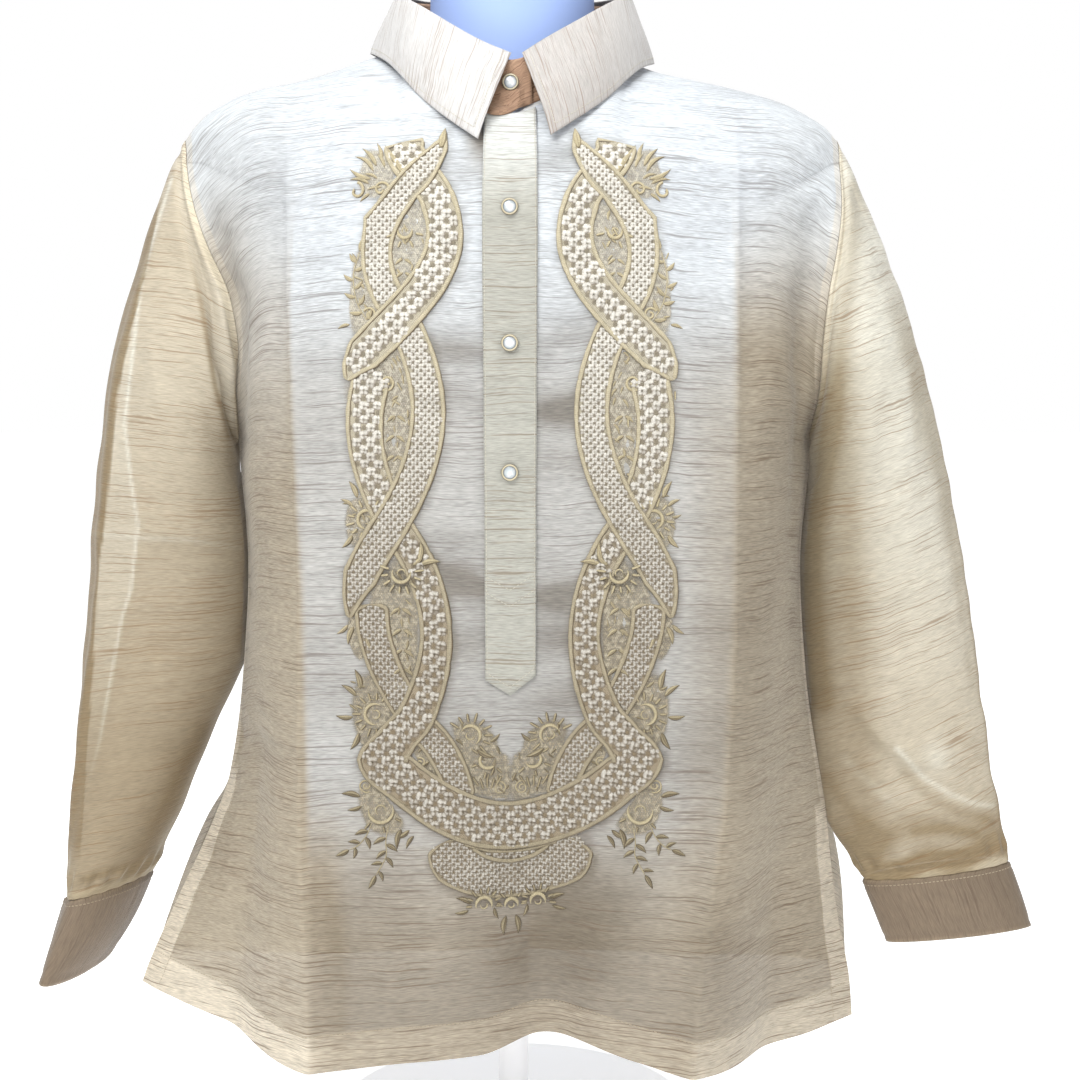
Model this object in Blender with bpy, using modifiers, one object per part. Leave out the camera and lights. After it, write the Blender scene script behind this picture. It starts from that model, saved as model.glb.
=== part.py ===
"""A barong tagalog shirt on a limbless dress form.

Metres, +Z up. The shirt faces -Y, +X is the side on the viewer's right, and the
origin is the centre of the stand's underside. Each cut piece of cloth is an open
surface, worked out from its sections, with a Solidify wall.
"""

import bisect
import math

import bmesh
import bpy
import numpy as np
from mathutils import Matrix

# ---------------------------------------------------------------- sizes (m)
CLOTH = 0.0011          # wall of a single layer of cloth
FOLDED = 0.0014         # wall of the pieces sewn double: collar, stand, cuffs, placket
SEAM = 0.0009           # gap between the middle surfaces of two joined pieces
ARMHOLE_SEAM = 0.0015   # the same round the armholes, where the cloth turns back on itself
LAID = 0.0008           # gap between a panel and the piece sewn on it

UNDERARM = 0.550
VENT_TOP = {"left": 0.280, "right": 0.250}
NECK_S = 0.25           # where the shoulder line meets the neckline, on the panels' width
CREASE_S = 0.50         # where the pressed creases run, on the panels' width
T_UNDERARM = 0.50       # how far up the panels' rows the underarm and the turn to the top lie
T_TURN = 0.72
TIP_Z = 0.7725          # shoulder tip

NECK_HALF_WIDTH = 0.078
NECK_FRONT_Y = -0.088
NECK_BACK_Y = 0.070
NECK_FRONT_Z = 0.783
NECK_BACK_Z = 0.852

STAND_HEIGHT_FRONT = 0.030
STAND_HEIGHT_BACK = 0.034
STAND_OVERLAP_DEG = 11.0

PLACKET_S = 0.0575      # half the placket's width, on the panel's width: 36 mm across in all
FRONT_LOW_ROWS = 10
BACK_LOW_ROWS = 8
PLACKET_TOP_Z = 0.7765
PLACKET_CORNER_Z = 0.3790
PLACKET_POINT_Z = 0.3665

BUTTON_DIAMETER = 0.0119
BUTTON_THICKNESS = 0.0026
BUTTON_Z = (0.7085, 0.6147, 0.5247)
STAND_BUTTON_Z = 0.8006
CUFF_BUTTON_DIAMETER = 0.0100

BASE_DIAMETER = 0.280
BASE_THICKNESS = 0.016
POLE_DIAMETER = 0.024
TOUCH = 0.0003


# ------------------------------------------------------------------ tables
class Table:
    """Rows of sizes under named columns, read between rows on a smooth curve with no overshoot."""

    def __init__(self, columns, *rows):
        self.columns = columns.split()
        self.rows = rows
        self.keys = [row[0] for row in rows]
        self.slopes = {}

    def slope(self, column):
        if column not in self.slopes:
            place = self.columns.index(column)
            y, key = [row[place] for row in self.rows], self.keys
            h = [b - a for a, b in zip(key, key[1:])]
            d = [(b - a) / gap for a, b, gap in zip(y, y[1:], h)]
            m = [d[0]] + [0.0] * (len(y) - 2) + [d[-1]]
            for i in range(1, len(y) - 1):
                if d[i - 1] * d[i] > 0:
                    a, b = 2 * h[i] + h[i - 1], h[i] + 2 * h[i - 1]
                    m[i] = (a + b) / (a / d[i - 1] + b / d[i])
            self.slopes[column] = y, m
        return self.slopes[column]

    def at(self, column, key):
        y, m = self.slope(column)
        keys = self.keys
        key = min(max(key, keys[0]), keys[-1])
        i = min(bisect.bisect_right(keys, key) - 1, len(keys) - 2)
        h = keys[i + 1] - keys[i]
        t = (key - keys[i]) / h
        return (
            (2 * t**3 - 3 * t**2 + 1) * y[i]
            + (t**3 - 2 * t**2 + t) * h * m[i]
            + (3 * t**2 - 2 * t**3) * y[i + 1]
            + (t**3 - t**2) * h * m[i + 1]
        )


# Edges of the front panel: vent, side seam, then armhole up to the shoulder tip.
FRONT_EDGE = Table(
    "z left_x left_y right_x right_y",
    (0.095, -0.2945, -0.036, 0.2630, -0.032),
    (0.125, -0.2875, -0.030, 0.2615, -0.027),
    (0.180, -0.2650, -0.020, 0.2525, -0.014),
    (0.224, -0.2449, -0.010, 0.2482, -0.006),
    (0.250, -0.2340, -0.004, 0.2462, 0.000),
    (0.280, -0.2232, 0.000, 0.2415, 0.000),
    (0.360, -0.2113, 0.000, 0.2290, 0.000),
    (0.450, -0.2060, 0.000, 0.2235, 0.000),
    (0.550, -0.2120, 0.000, 0.2310, 0.000),
    (0.565, -0.2098, -0.018, 0.2310, -0.018),
    (0.585, -0.2075, -0.037, 0.2312, -0.036),
    (0.615, -0.2025, -0.054, 0.2305, -0.052),
    (0.650, -0.2070, -0.060, 0.2330, -0.060),
    (0.685, -0.2225, -0.057, 0.2398, -0.055),
    (0.720, -0.2365, -0.042, 0.2450, -0.042),
    (0.750, -0.2445, -0.022, 0.2462, -0.022),
    (0.7725, -0.2495, 0.000, 0.2465, 0.000),
)

# Edges of the back panel, the same way.
BACK_EDGE = Table(
    "z left_x left_y right_x right_y",
    (0.105, -0.2965, 0.034, 0.2690, 0.030),
    (0.134, -0.2880, 0.030, 0.2670, 0.028),
    (0.186, -0.2690, 0.021, 0.2625, 0.019),
    (0.231, -0.2500, 0.011, 0.2540, 0.007),
    (0.250, -0.2405, 0.006, 0.2470, 0.001),
    (0.280, -0.2232, 0.001, 0.2415, 0.001),
    (0.360, -0.2113, 0.001, 0.2290, 0.001),
    (0.450, -0.2060, 0.001, 0.2235, 0.001),
    (0.550, -0.2120, 0.001, 0.2310, 0.001),
    (0.575, -0.2130, 0.027, 0.2315, 0.027),
    (0.600, -0.2145, 0.043, 0.2322, 0.043),
    (0.650, -0.2215, 0.056, 0.2345, 0.056),
    (0.700, -0.2330, 0.053, 0.2405, 0.053),
    (0.740, -0.2435, 0.034, 0.2450, 0.034),
    (0.760, -0.2475, 0.016, 0.2462, 0.016),
    (0.7725, -0.2495, 0.001, 0.2465, 0.001),
)

# Sections of the front: its two pressed creases, its middle, and how far the cloth
# stands out between them.
FRONT_BODY = Table(
    "z left_x left_y mid_x mid_y right_x right_y side_out front_out",
    (0.095, -0.1420, -0.1510, 0.000, -0.1290, 0.1285, -0.1510, -0.004, -0.001),
    (0.185, -0.1462, -0.1400, 0.000, -0.1290, 0.1375, -0.1400, 0.001, 0.000),
    (0.290, -0.1505, -0.1260, 0.000, -0.1300, 0.1530, -0.1260, 0.006, 0.002),
    (0.430, -0.1500, -0.1170, 0.000, -0.1310, 0.1600, -0.1170, 0.012, 0.004),
    (0.570, -0.1545, -0.1080, 0.000, -0.1330, 0.1608, -0.1080, 0.011, 0.006),
    (0.650, -0.1585, -0.0980, 0.000, -0.1320, 0.1620, -0.0980, 0.006, 0.008),
    (0.720, -0.1600, -0.0860, 0.000, -0.1270, 0.1630, -0.0860, 0.004, 0.009),
    (0.800, -0.1640, -0.0700, 0.000, -0.1150, 0.1650, -0.0700, 0.003, 0.008),
)

# Sections of the back: how far it stands behind its edges, and the edge's squareness.
BACK_BODY = Table(
    "z depth",
    (0.095, 0.108),
    (0.185, 0.106),
    (0.290, 0.103),
    (0.430, 0.100),
    (0.550, 0.104),
    (0.650, 0.106),
    (0.720, 0.103),
    (0.800, 0.096),
)

# The shoulder line, from the neckline to the shoulder tip.
SHOULDER = Table(
    "s left_x left_z right_x right_z",
    (0.25, -0.0780, 0.8420, 0.0780, 0.8380),
    (0.36, -0.1070, 0.8330, 0.1070, 0.8245),
    (0.50, -0.1650, 0.8160, 0.1655, 0.8110),
    (0.62, -0.1950, 0.8090, 0.1960, 0.8030),
    (0.82, -0.2280, 0.7945, 0.2262, 0.7895),
    (0.92, -0.2410, 0.7845, 0.2390, 0.7815),
    (1.00, -0.2495, 0.7725, 0.2465, 0.7725),
)

# Height of the lower edge across the front and across the back.
FRONT_HEM = Table(
    "s z",
    (-1.00, 0.1260),
    (-0.75, 0.1145),
    (-0.50, 0.0995),
    (-0.25, 0.1020),
    (-0.08, 0.1030),
    (0.08, 0.1120),
    (0.20, 0.1105),
    (0.36, 0.1030),
    (0.50, 0.0955),
    (0.75, 0.0945),
    (1.00, 0.1000),
)
BACK_HEM = Table("s z", (-1.0, 0.1335), (-0.5, 0.1120), (0.0, 0.1080), (0.5, 0.1100), (1.0, 0.1180))

# How far below the top edge the cloth starts to turn over towards it.
CAP = Table(
    "s height bend",
    (0.00, 0.085, 1.20),
    (0.25, 0.125, 1.22),
    (0.36, 0.115, 1.45),
    (0.50, 0.100, 1.80),
    (0.75, 0.065, 2.00),
    (1.00, 0.020, 2.00),
)

# Largest folds of the front and back: place on the width at the low and high end,
# the heights they run between, half width and depth (out is positive).
FOLDS = {
    "front": Table(
        "n s_low s_high z_low z_high half depth",
        (0, 0.115, 0.03, 0.00, 0.37, 0.125, -0.0290),   # hem valley beside the middle
        (1, -0.72, -0.80, 0.00, 0.42, 0.070, -0.0060),  # left vent facet
        (2, 0.76, 0.82, 0.00, 0.44, 0.080, -0.0070),    # right vent facet
        (3, -0.50, -0.50, 0.00, 0.78, 0.035, 0.0030),   # pressed crease, left
        (4, 0.50, 0.50, 0.00, 0.78, 0.035, 0.0030),     # pressed crease, right
        (5, -0.86, -0.93, 0.52, 0.74, 0.060, -0.0050),  # hollow beside the left armhole
        (6, 0.80, 0.90, 0.45, 0.74, 0.070, -0.0060),    # hollow beside the right armhole
    ),
    "back": Table(
        "n s_low s_high z_low z_high half depth",
        (0, -0.30, -0.16, 0.00, 0.48, 0.110, -0.0120),
        (1, 0.34, 0.20, 0.00, 0.44, 0.100, -0.0110),
        (2, 0.02, 0.02, 0.00, 0.52, 0.060, 0.0050),
        (3, -0.62, -0.50, 0.10, 0.60, 0.060, 0.0040),
        (4, 0.64, 0.55, 0.10, 0.60, 0.060, 0.0040),
    ),
}

# Sections of the sleeves, shoulder to cuff seam: the section's outer and inner points,
# its half depths to the front and the back, how far its back end leans to the body,
# and its share of the armhole's own shape.
SLEEVE = {
    "left": Table(
        "n outer_x outer_z inner_x inner_z mid_y front back lean crease_deg crease armhole",
        (0, -0.2495, 0.7725, -0.2120, 0.5500, 0.000, 0.0600, 0.0560, 0.000, 135, 0.0000, 1.00),
        (1, -0.2700, 0.7280, -0.2130, 0.5400, 0.000, 0.0650, 0.0600, 0.000, 135, 0.0020, 0.62),
        (2, -0.2930, 0.6600, -0.2130, 0.5260, 0.004, 0.0690, 0.0640, 0.000, 135, 0.0040, 0.25),
        (3, -0.3119, 0.5951, -0.2105, 0.5060, 0.010, 0.0690, 0.0640, 0.000, 135, 0.0045, 0.05),
        (4, -0.3239, 0.5223, -0.2050, 0.4700, 0.018, 0.0670, 0.0610, 0.000, 135, 0.0045, 0.00),
        (5, -0.3319, 0.4582, -0.2040, 0.4240, 0.022, 0.0610, 0.0560, 0.000, 135, 0.0045, 0.00),
        (6, -0.3371, 0.3934, -0.2105, 0.3780, 0.020, 0.0560, 0.0520, 0.000, 137, 0.0045, 0.00),
        (7, -0.3416, 0.3259, -0.2345, 0.3239, 0.012, 0.0510, 0.0500, 0.002, 142, 0.0040, 0.00),
        (8, -0.3435, 0.2591, -0.2588, 0.2631, 0.004, 0.0480, 0.0490, 0.006, 150, 0.0030, 0.00),
        (9, -0.3440, 0.1941, -0.2876, 0.2021, -0.004, 0.0450, 0.0480, 0.014, 160, 0.0000, 0.00),
    ),
    "right": Table(
        "n outer_x outer_z inner_x inner_z mid_y front back lean crease_deg crease armhole",
        (0, 0.2465, 0.7725, 0.2310, 0.5500, 0.000, 0.0600, 0.0560, 0.000, 165, 0.0000, 1.00),
        (1, 0.2680, 0.7280, 0.2315, 0.5400, 0.000, 0.0650, 0.0600, 0.000, 165, 0.0010, 0.62),
        (2, 0.2940, 0.6600, 0.2322, 0.5260, 0.004, 0.0690, 0.0650, 0.000, 165, 0.0020, 0.25),
        (3, 0.3150, 0.5951, 0.2300, 0.5060, 0.010, 0.0680, 0.0650, 0.000, 165, 0.0025, 0.05),
        (4, 0.3355, 0.5223, 0.2245, 0.4700, 0.017, 0.0630, 0.0610, 0.000, 165, 0.0025, 0.00),
        (5, 0.3500, 0.4582, 0.2255, 0.4240, 0.020, 0.0550, 0.0540, 0.000, 165, 0.0025, 0.00),
        (6, 0.3600, 0.3936, 0.2285, 0.3754, 0.018, 0.0460, 0.0450, 0.000, 165, 0.0025, 0.00),
        (7, 0.3705, 0.3259, 0.2375, 0.3160, 0.012, 0.0370, 0.0370, 0.000, 165, 0.0020, 0.00),
        (8, 0.3795, 0.2652, 0.2500, 0.2550, 0.004, 0.0280, 0.0290, 0.000, 165, 0.0010, 0.00),
        (9, 0.3884, 0.2176, 0.2734, 0.2026, -0.006, 0.0200, 0.0220, 0.000, 165, 0.0000, 0.00),
    ),
}
CUFF = {
    "left": Table(
        "n outer_x outer_z inner_x inner_z mid_y front back lean rise",
        (0, -0.3445, 0.1916, -0.2886, 0.1996, -0.004, 0.0450, 0.0480, 0.014, 0.000),
        (0.5, -0.3538, 0.1628, -0.3020, 0.1680, -0.004, 0.0452, 0.0478, 0.0145, 0.0015),
        (1, -0.3630, 0.1340, -0.3250, 0.1290, -0.004, 0.0466, 0.0490, 0.015, 0.003),
    ),
    "right": Table(
        "n outer_x outer_z inner_x inner_z mid_y front back lean rise",
        (0, 0.3889, 0.2151, 0.2739, 0.2001, -0.006, 0.0200, 0.0220, 0.000, 0.000),
        (1, 0.4068, 0.1633, 0.2943, 0.1508, -0.006, 0.0190, 0.0200, 0.000, -0.002),
    ),
}
BODY_CLEAR = 0.0027     # between the middle surfaces of a sleeve and the body it lies against
CUFF_SEAM = 0.0018

# The collar's fold line and its outer edge, by the angle from the front round each side.
FOLD_LINE = Table(
    "deg left_x right_x y z",
    (0, 0.0003, 0.0082, -0.0880, 0.8215),
    (15, -0.0215, 0.0225, -0.0852, 0.8310),
    (40, -0.0550, 0.0560, -0.0680, 0.8530),
    (75, -0.0830, 0.0850, -0.0240, 0.8765),
    (90, -0.0865, 0.0885, 0.0000, 0.8820),
    (130, -0.0690, 0.0690, 0.0520, 0.8880),
    (180, 0.0000, 0.0000, 0.0800, 0.8900),
)
COLLAR_EDGE = Table(
    "deg left_x left_y left_z right_x right_y right_z",
    (0, -0.0223, -0.1190, 0.7569, 0.0287, -0.1190, 0.7597),
    (15, -0.0388, -0.1125, 0.7685, 0.0421, -0.1120, 0.7690),
    (40, -0.0612, -0.0950, 0.7875, 0.0660, -0.0920, 0.7875),
    (75, -0.0908, -0.0470, 0.8225, 0.0940, -0.0470, 0.8175),
    (90, -0.1076, 0.0000, 0.8375, 0.1076, 0.0000, 0.8300),
    (130, -0.0880, 0.0620, 0.8420, 0.0880, 0.0620, 0.8380),
    (180, 0.0000, 0.0990, 0.8470, 0.0000, 0.0990, 0.8470),
)

# Sections of the dress form, low to high.
FORM = Table(
    "z half_width front_y back_y",
    (0.2380, 0.1000, -0.058, 0.058),
    (0.2410, 0.1250, -0.076, 0.074),
    (0.2520, 0.1440, -0.090, 0.087),
    (0.2800, 0.1570, -0.099, 0.095),
    (0.3300, 0.1630, -0.102, 0.098),
    (0.4200, 0.1480, -0.098, 0.083),
    (0.5000, 0.1540, -0.104, 0.085),
    (0.5800, 0.1680, -0.112, 0.090),
    (0.6500, 0.1760, -0.116, 0.092),
    (0.7000, 0.1860, -0.110, 0.088),
    (0.7350, 0.1980, -0.098, 0.079),
    (0.7600, 0.2040, -0.085, 0.069),
    (0.7750, 0.2030, -0.076, 0.063),
    (0.7870, 0.1950, -0.069, 0.058),
    (0.7960, 0.1780, -0.065, 0.055),
    (0.8030, 0.1550, -0.063, 0.054),
    (0.8090, 0.1290, -0.062, 0.054),
    (0.8150, 0.1040, -0.061, 0.054),
    (0.8230, 0.0800, -0.0605, 0.054),
    (0.8360, 0.0680, -0.060, 0.054),
    (0.8550, 0.0635, -0.060, 0.054),
    (0.8800, 0.0620, -0.060, 0.054),
    (0.9250, 0.0630, -0.062, 0.055),
    (0.9330, 0.0605, -0.060, 0.053),
    (0.9370, 0.0520, -0.052, 0.045),
)


# ------------------------------------------------------------ the surfaces
def side_of(s):
    return "left" if s < 0 else "right"


def folds_at(which, s, z):
    """How far the largest folds move the cloth out at a place on a panel."""
    out = 0.0
    for _, s_low, s_high, z_low, z_high, half, depth in FOLDS[which].rows:
        if not z_low <= z < z_high:
            continue
        up = (z - max(z_low, 0.095)) / (z_high - max(z_low, 0.095))
        up = min(max(up, 0.0), 1.0)
        place = s_low + (s_high - s_low) * up
        along = (1 - up) if z_low < 0.11 else math.sin(math.pi * up) ** 1.0
        if abs(depth) == 0.0030:
            along = 0.35 + 0.65 * (1 - up)
            along *= min(1.0, (z_high - z) / 0.10)
        out += depth * along * math.exp(-(((s - place) / half) ** 2))
    return out


def across(knots, values, s):
    row = Table("s v", *zip(knots, values))
    return row.at("v", s)


def front_low(s, z):
    """The front panel below its turn to the shoulders, at height z."""
    b = FRONT_BODY
    left = (FRONT_EDGE.at("left_x", z), FRONT_EDGE.at("left_y", z))
    right = (FRONT_EDGE.at("right_x", z), FRONT_EDGE.at("right_y", z))
    c_left = (b.at("left_x", z), b.at("left_y", z))
    c_right = (b.at("right_x", z), b.at("right_y", z))
    mid = (b.at("mid_x", z), b.at("mid_y", z))
    side_out, front_out = b.at("side_out", z), b.at("front_out", z)

    def between(p, q, out):
        dx, dy = q[0] - p[0], q[1] - p[1]
        n = math.hypot(dx, dy)
        return (p[0] + q[0]) / 2 + out * dy / n, (p[1] + q[1]) / 2 - out * dx / n

    points = [
        left,
        between(left, c_left, side_out),
        c_left,
        between(c_left, mid, front_out),
        mid,
        between(mid, c_right, front_out),
        c_right,
        between(c_right, right, side_out),
        right,
    ]
    knots = (-1.0, -0.75, -0.5, -0.25, 0.0, 0.25, 0.5, 0.75, 1.0)
    x = across(knots, [p[0] for p in points], s)
    y = across(knots, [p[1] for p in points], s)
    out = folds_at("front", s, z)
    lean = 0.55 * min(max((abs(s) - 0.45) / 0.3, 0.0), 1.0) * (1 if s > 0 else -1)
    return x + out * lean, y - out * (1 - abs(lean) * 0.4)


def back_low(s, z):
    """The back panel below its turn to the shoulders, at height z."""
    left = (BACK_EDGE.at("left_x", z), BACK_EDGE.at("left_y", z))
    right = (BACK_EDGE.at("right_x", z), BACK_EDGE.at("right_y", z))
    a = s * math.pi / 2
    mx, hx = (left[0] + right[0]) / 2, (right[0] - left[0]) / 2
    ey = left[1] + (right[1] - left[1]) * (s + 1) / 2
    mid_y = max(BACK_BODY.at("depth", z), ey)
    x = mx + hx * math.copysign(abs(math.sin(a)) ** 0.92, a)
    y = ey + (mid_y - ey) * max(math.cos(a), 0.0) ** 0.86
    return x, y + folds_at("back", s, z) * math.cos(a)


def neck_point(deg, right):
    """A point of the neckline, by the angle from the front."""
    a = math.radians(deg)
    side_z = SHOULDER.at("right_z" if right else "left_z", NECK_S)
    x = NECK_HALF_WIDTH * math.sin(a) * (1 if right else -1)
    if deg <= 90:
        y = NECK_FRONT_Y * math.cos(a)
        z = NECK_FRONT_Z + (side_z - NECK_FRONT_Z) * math.sin(a) ** 1.5
    else:
        y = -NECK_BACK_Y * math.cos(a)
        z = side_z + (NECK_BACK_Z - side_z) * (-math.cos(a)) ** 1.2
    return x, y, z


def top_edge(s, back):
    """The shoulder line and neckline at a place on a panel's width."""
    side = side_of(s)
    if abs(s) <= NECK_S:
        turn = 90 * (abs(s) / NECK_S) ** 1.3
        return neck_point(180 - turn if back else turn, s >= 0)
    return SHOULDER.at(side + "_x", abs(s)), 0.001 if back else 0.0, SHOULDER.at(side + "_z", abs(s))


def panel_point(s, t, back=False):
    """A point of the front or back panel: s is -1 to 1 across it, t is 0 at the hem and 1 at the top."""
    low = back_low if back else front_low
    hem = (BACK_HEM if back else FRONT_HEM).at("z", s)
    x_top, y_top, z_top = top_edge(s, back)
    cap, bend = CAP.at("height", abs(s)), CAP.at("bend", abs(s))
    if back and abs(s) < 1:
        cap *= 0.85 if abs(s) > NECK_S else 0.55
        bend = max(bend, 1.6)
    z_turn = z_top - cap
    if t <= T_TURN:
        if t <= T_UNDERARM:
            z = hem + (UNDERARM - hem) * t / T_UNDERARM
        else:
            z = UNDERARM + (z_turn - UNDERARM) * (t - T_UNDERARM) / (T_TURN - T_UNDERARM)
        x, y = low(s, z)
    else:
        a = (t - T_TURN) / (1 - T_TURN) * math.pi / 2
        x_turn, y_turn = low(s, z_turn)
        z = z_turn + cap * math.sin(a)
        on = max(math.cos(a), 0.0) ** (2 / bend)
        x = x_top + (x_turn - x_top) * max(math.cos(a), 0.0) ** 1.2
        y = y_top + (y_turn - y_top) * on
    return x, y, z


def panel_rows(low_rows):
    """The places up a panel where its rows of points lie. Their ends meet the sleeve's own points."""
    rows = spaced(0.0, T_UNDERARM, low_rows)
    cap = CAP.at("height", 1)
    z_turn = TIP_Z - cap
    for deg in (30, 60, 90, 120):
        z = UNDERARM + (TIP_Z - UNDERARM) * (1 - math.cos(math.radians(deg))) / 2
        rows.append(T_UNDERARM + (T_TURN - T_UNDERARM) * (z - UNDERARM) / (z_turn - UNDERARM))
    z = UNDERARM + (TIP_Z - UNDERARM) * (1 - math.cos(math.radians(150))) / 2
    rows.append(T_TURN + (1 - T_TURN) * math.asin((z - z_turn) / cap) / (math.pi / 2))
    return rows + [0.80, 0.86, 0.91, 0.955, 1.0]


def inset(point_of, s, t, s_gap, t_gap):
    """The same point, kept this far from the panel's own edges, in metres."""
    step = 0.01
    if abs(s) == 1 and s_gap:
        p, q = np.array(point_of(s, t)), np.array(point_of(s - math.copysign(step, s), t))
        s -= math.copysign(step * s_gap / np.linalg.norm(p - q), s)
    if t == 1 and t_gap:
        p, q = np.array(point_of(s, t)), np.array(point_of(s, t - step))
        t -= step * min(t_gap / np.linalg.norm(p - q), 3.0)
    return point_of(s, t)


def armhole_nodes(side, back):
    """The panel's own points up the armhole, each with its angle round the armhole."""
    nodes = []
    for t in [t for t in panel_rows(1) if t >= T_UNDERARM]:
        p = panel_point(-1 if side == "left" else 1, t, back)
        share = min(max((p[2] - UNDERARM) / (TIP_Z - UNDERARM), 0.0), 1.0)
        nodes.append((math.degrees(math.acos(1 - 2 * share)), p))
    return nodes


ARMHOLES = {}


def armhole(side, deg):
    """The armhole from the underarm (0) up the front to the shoulder tip (180) and down the back."""
    back = deg > 180
    if (side, back) not in ARMHOLES:
        ARMHOLES[side, back] = armhole_nodes(side, back)
    turn = 360 - deg if back else deg
    for (a, p), (b, q) in zip(ARMHOLES[side, back], ARMHOLES[side, back][1:]):
        if turn <= b + 1e-6:
            share = (turn - a) / (b - a)
            return np.array(p) + (np.array(q) - np.array(p)) * share
    return np.array(ARMHOLES[side, back][-1][1])


def section(row, deg, rise=0.0):
    """A point of a sleeve or cuff section, by the same angle."""
    a = math.radians(deg)
    outer = np.array((row["outer_x"], 0.0, row["outer_z"]))
    inner = np.array((row["inner_x"], 0.0, row["inner_z"]))
    toward = math.copysign(1.0, inner[0] - outer[0])
    half = (outer - inner) / 2
    width = abs(half[0])
    narrowed = math.sqrt(max(width**2 - row["lean"] ** 2, 1e-9)) / width
    out = np.array((half[0] * narrowed, 0.0, half[2]))
    point = (outer + inner) / 2 - out * math.cos(a)
    depth = row["front"] if deg <= 180 else row["back"]
    point[0] -= toward * row["lean"] * math.sin(a)
    point[1] = row["mid_y"] - depth * math.sin(a)
    point[2] -= rise * math.sin(a)
    return point


def body_side(side, y, z):
    """How far out the body's side reaches at a depth and height below the underarm."""
    low = front_low if y < 0 else back_low
    sign = -1 if side == "left" else 1
    points = [low(sign * (1 - 0.04 * i), z) for i in range(14)]
    for (x0, y0), (x1, y1) in zip(points, points[1:]):
        if min(y0, y1) <= y <= max(y0, y1) and y0 != y1:
            return abs(x0 + (x1 - x0) * (y - y0) / (y1 - y0))
    return abs(points[0][0]) if abs(y) < 0.02 else 0.0


def sleeve_point(side, n, deg):
    table = SLEEVE[side]
    row = {c: table.at(c, n) for c in table.columns[1:]}
    point = section(row, deg)
    if row["armhole"] > 0:
        first = {c: table.at(c, 0) for c in table.columns[1:]}
        joined = armhole(side, deg) + (math.copysign(ARMHOLE_SEAM, row["outer_x"]), 0, 0)
        point += row["armhole"] * (joined - section(first, deg))
    crease = row["crease"] * math.exp(-(((deg - row["crease_deg"]) / 9.0) ** 2))
    if crease > 1e-5:
        middle = (section(row, 0) + section(row, 180)) / 2
        out = point - middle
        out[2] = 0.0
        point += out / np.linalg.norm(out) * crease
    if n > 0.9 and point[2] < UNDERARM:
        reach = body_side(side, point[1], point[2]) + BODY_CLEAR
        if abs(point[0]) < reach:
            point[0] = math.copysign(reach, point[0])
    if n == 9:
        behind = sleeve_point(side, 8.9, deg) - point
        point += behind / np.linalg.norm(behind) * CUFF_SEAM / 2
    return tuple(point)


def cuff_point(side, n, deg):
    table = CUFF[side]
    row = {c: table.at(c, n) for c in table.columns[1:]}
    return tuple(section(row, deg, row["rise"]))


def stand_point(deg, up):
    """The collar stand: deg runs from its under end, round the back, to the upper end in front."""
    side = (deg % 360) / 1.0
    right = side <= 180
    turn = side if right else 360 - side
    x, y, z = neck_point(turn, right)
    height = STAND_HEIGHT_FRONT + (STAND_HEIGHT_BACK - STAND_HEIGHT_FRONT) * (1 - math.cos(math.radians(turn))) / 2
    out = 1 + 0.035 * up
    # the end that is buttoned over lies outside the other one
    over = (deg + STAND_OVERLAP_DEG) / (360 + 2 * STAND_OVERLAP_DEG)
    spread = 0.0024 * over
    r = math.hypot(x, y)
    x, y = x * (out + spread / r), y * (out + spread / r)
    if y < 0:
        y += 0.0045 * up * math.cos(math.radians(turn)) ** 2
    return x, y, z + 0.0036 + height * up


def leaf_point(deg, down):
    """The collar leaf: deg is 0 at the left front, 180 at the back, 360 at the right front."""
    name = "right" if deg > 180 else "left"
    turn = 360 - deg if deg > 180 else deg
    fold = np.array([FOLD_LINE.at(c, turn) for c in (name + "_x", "y", "z")])
    edge = np.array([COLLAR_EDGE.at(f"{name}_{c}", turn) for c in "xyz"])
    point = fold + (edge - fold) * down
    out = np.array((point[0], point[1], 0.0))
    out /= max(np.linalg.norm(out), 1e-6)
    puff = 0.0055 - 0.0040 * math.sin(math.radians(min(turn, 180))) ** 2
    point += out * puff * math.sin(math.pi * down) ** 0.8
    return tuple(point)


# ------------------------------------------------------------- object tools
def clear_scene():
    for obj in list(bpy.data.objects):
        bpy.data.objects.remove(obj, do_unlink=True)


def material(name, colour, roughness, metallic=0.0):
    made = bpy.data.materials.new(name)
    made.use_nodes = True
    shader = made.node_tree.nodes["Principled BSDF"]
    shader.inputs["Base Color"].default_value = (*colour, 1.0)
    shader.inputs["Roughness"].default_value = roughness
    shader.inputs["Metallic"].default_value = metallic
    made.diffuse_color = (*colour, 1.0)
    return made


def add_mesh(name, bm, mat, parts, smooth=True):
    bmesh.ops.recalc_face_normals(bm, faces=bm.faces)
    mesh = bpy.data.meshes.new(name)
    bm.to_mesh(mesh)
    bm.free()
    obj = bpy.data.objects.new(name, mesh)
    mesh.materials.append(mat)
    if smooth:
        mesh.shade_smooth()
    parts.objects.link(obj)
    return obj


def grid(rows, closed=False):
    """A surface through rows of points, open, or closed round each row."""
    bm = bmesh.new()
    verts = [[bm.verts.new(p) for p in row] for row in rows]
    count = len(rows[0])
    for low, high in zip(verts, verts[1:]):
        for i in range(count if closed else count - 1):
            j = (i + 1) % count
            bm.faces.new((low[i], low[j], high[j], high[i]))
    return bm


def cloth(name, rows, mat, parts, wall=CLOTH, closed=False):
    obj = add_mesh(name, grid(rows, closed), mat, parts)
    solid = obj.modifiers.new("wall", "SOLIDIFY")
    solid.thickness = wall
    solid.offset = 0.0
    solid.use_rim = True
    return obj


def spaced(low, high, count):
    return [low + (high - low) * i / count for i in range(count + 1)]


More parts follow.
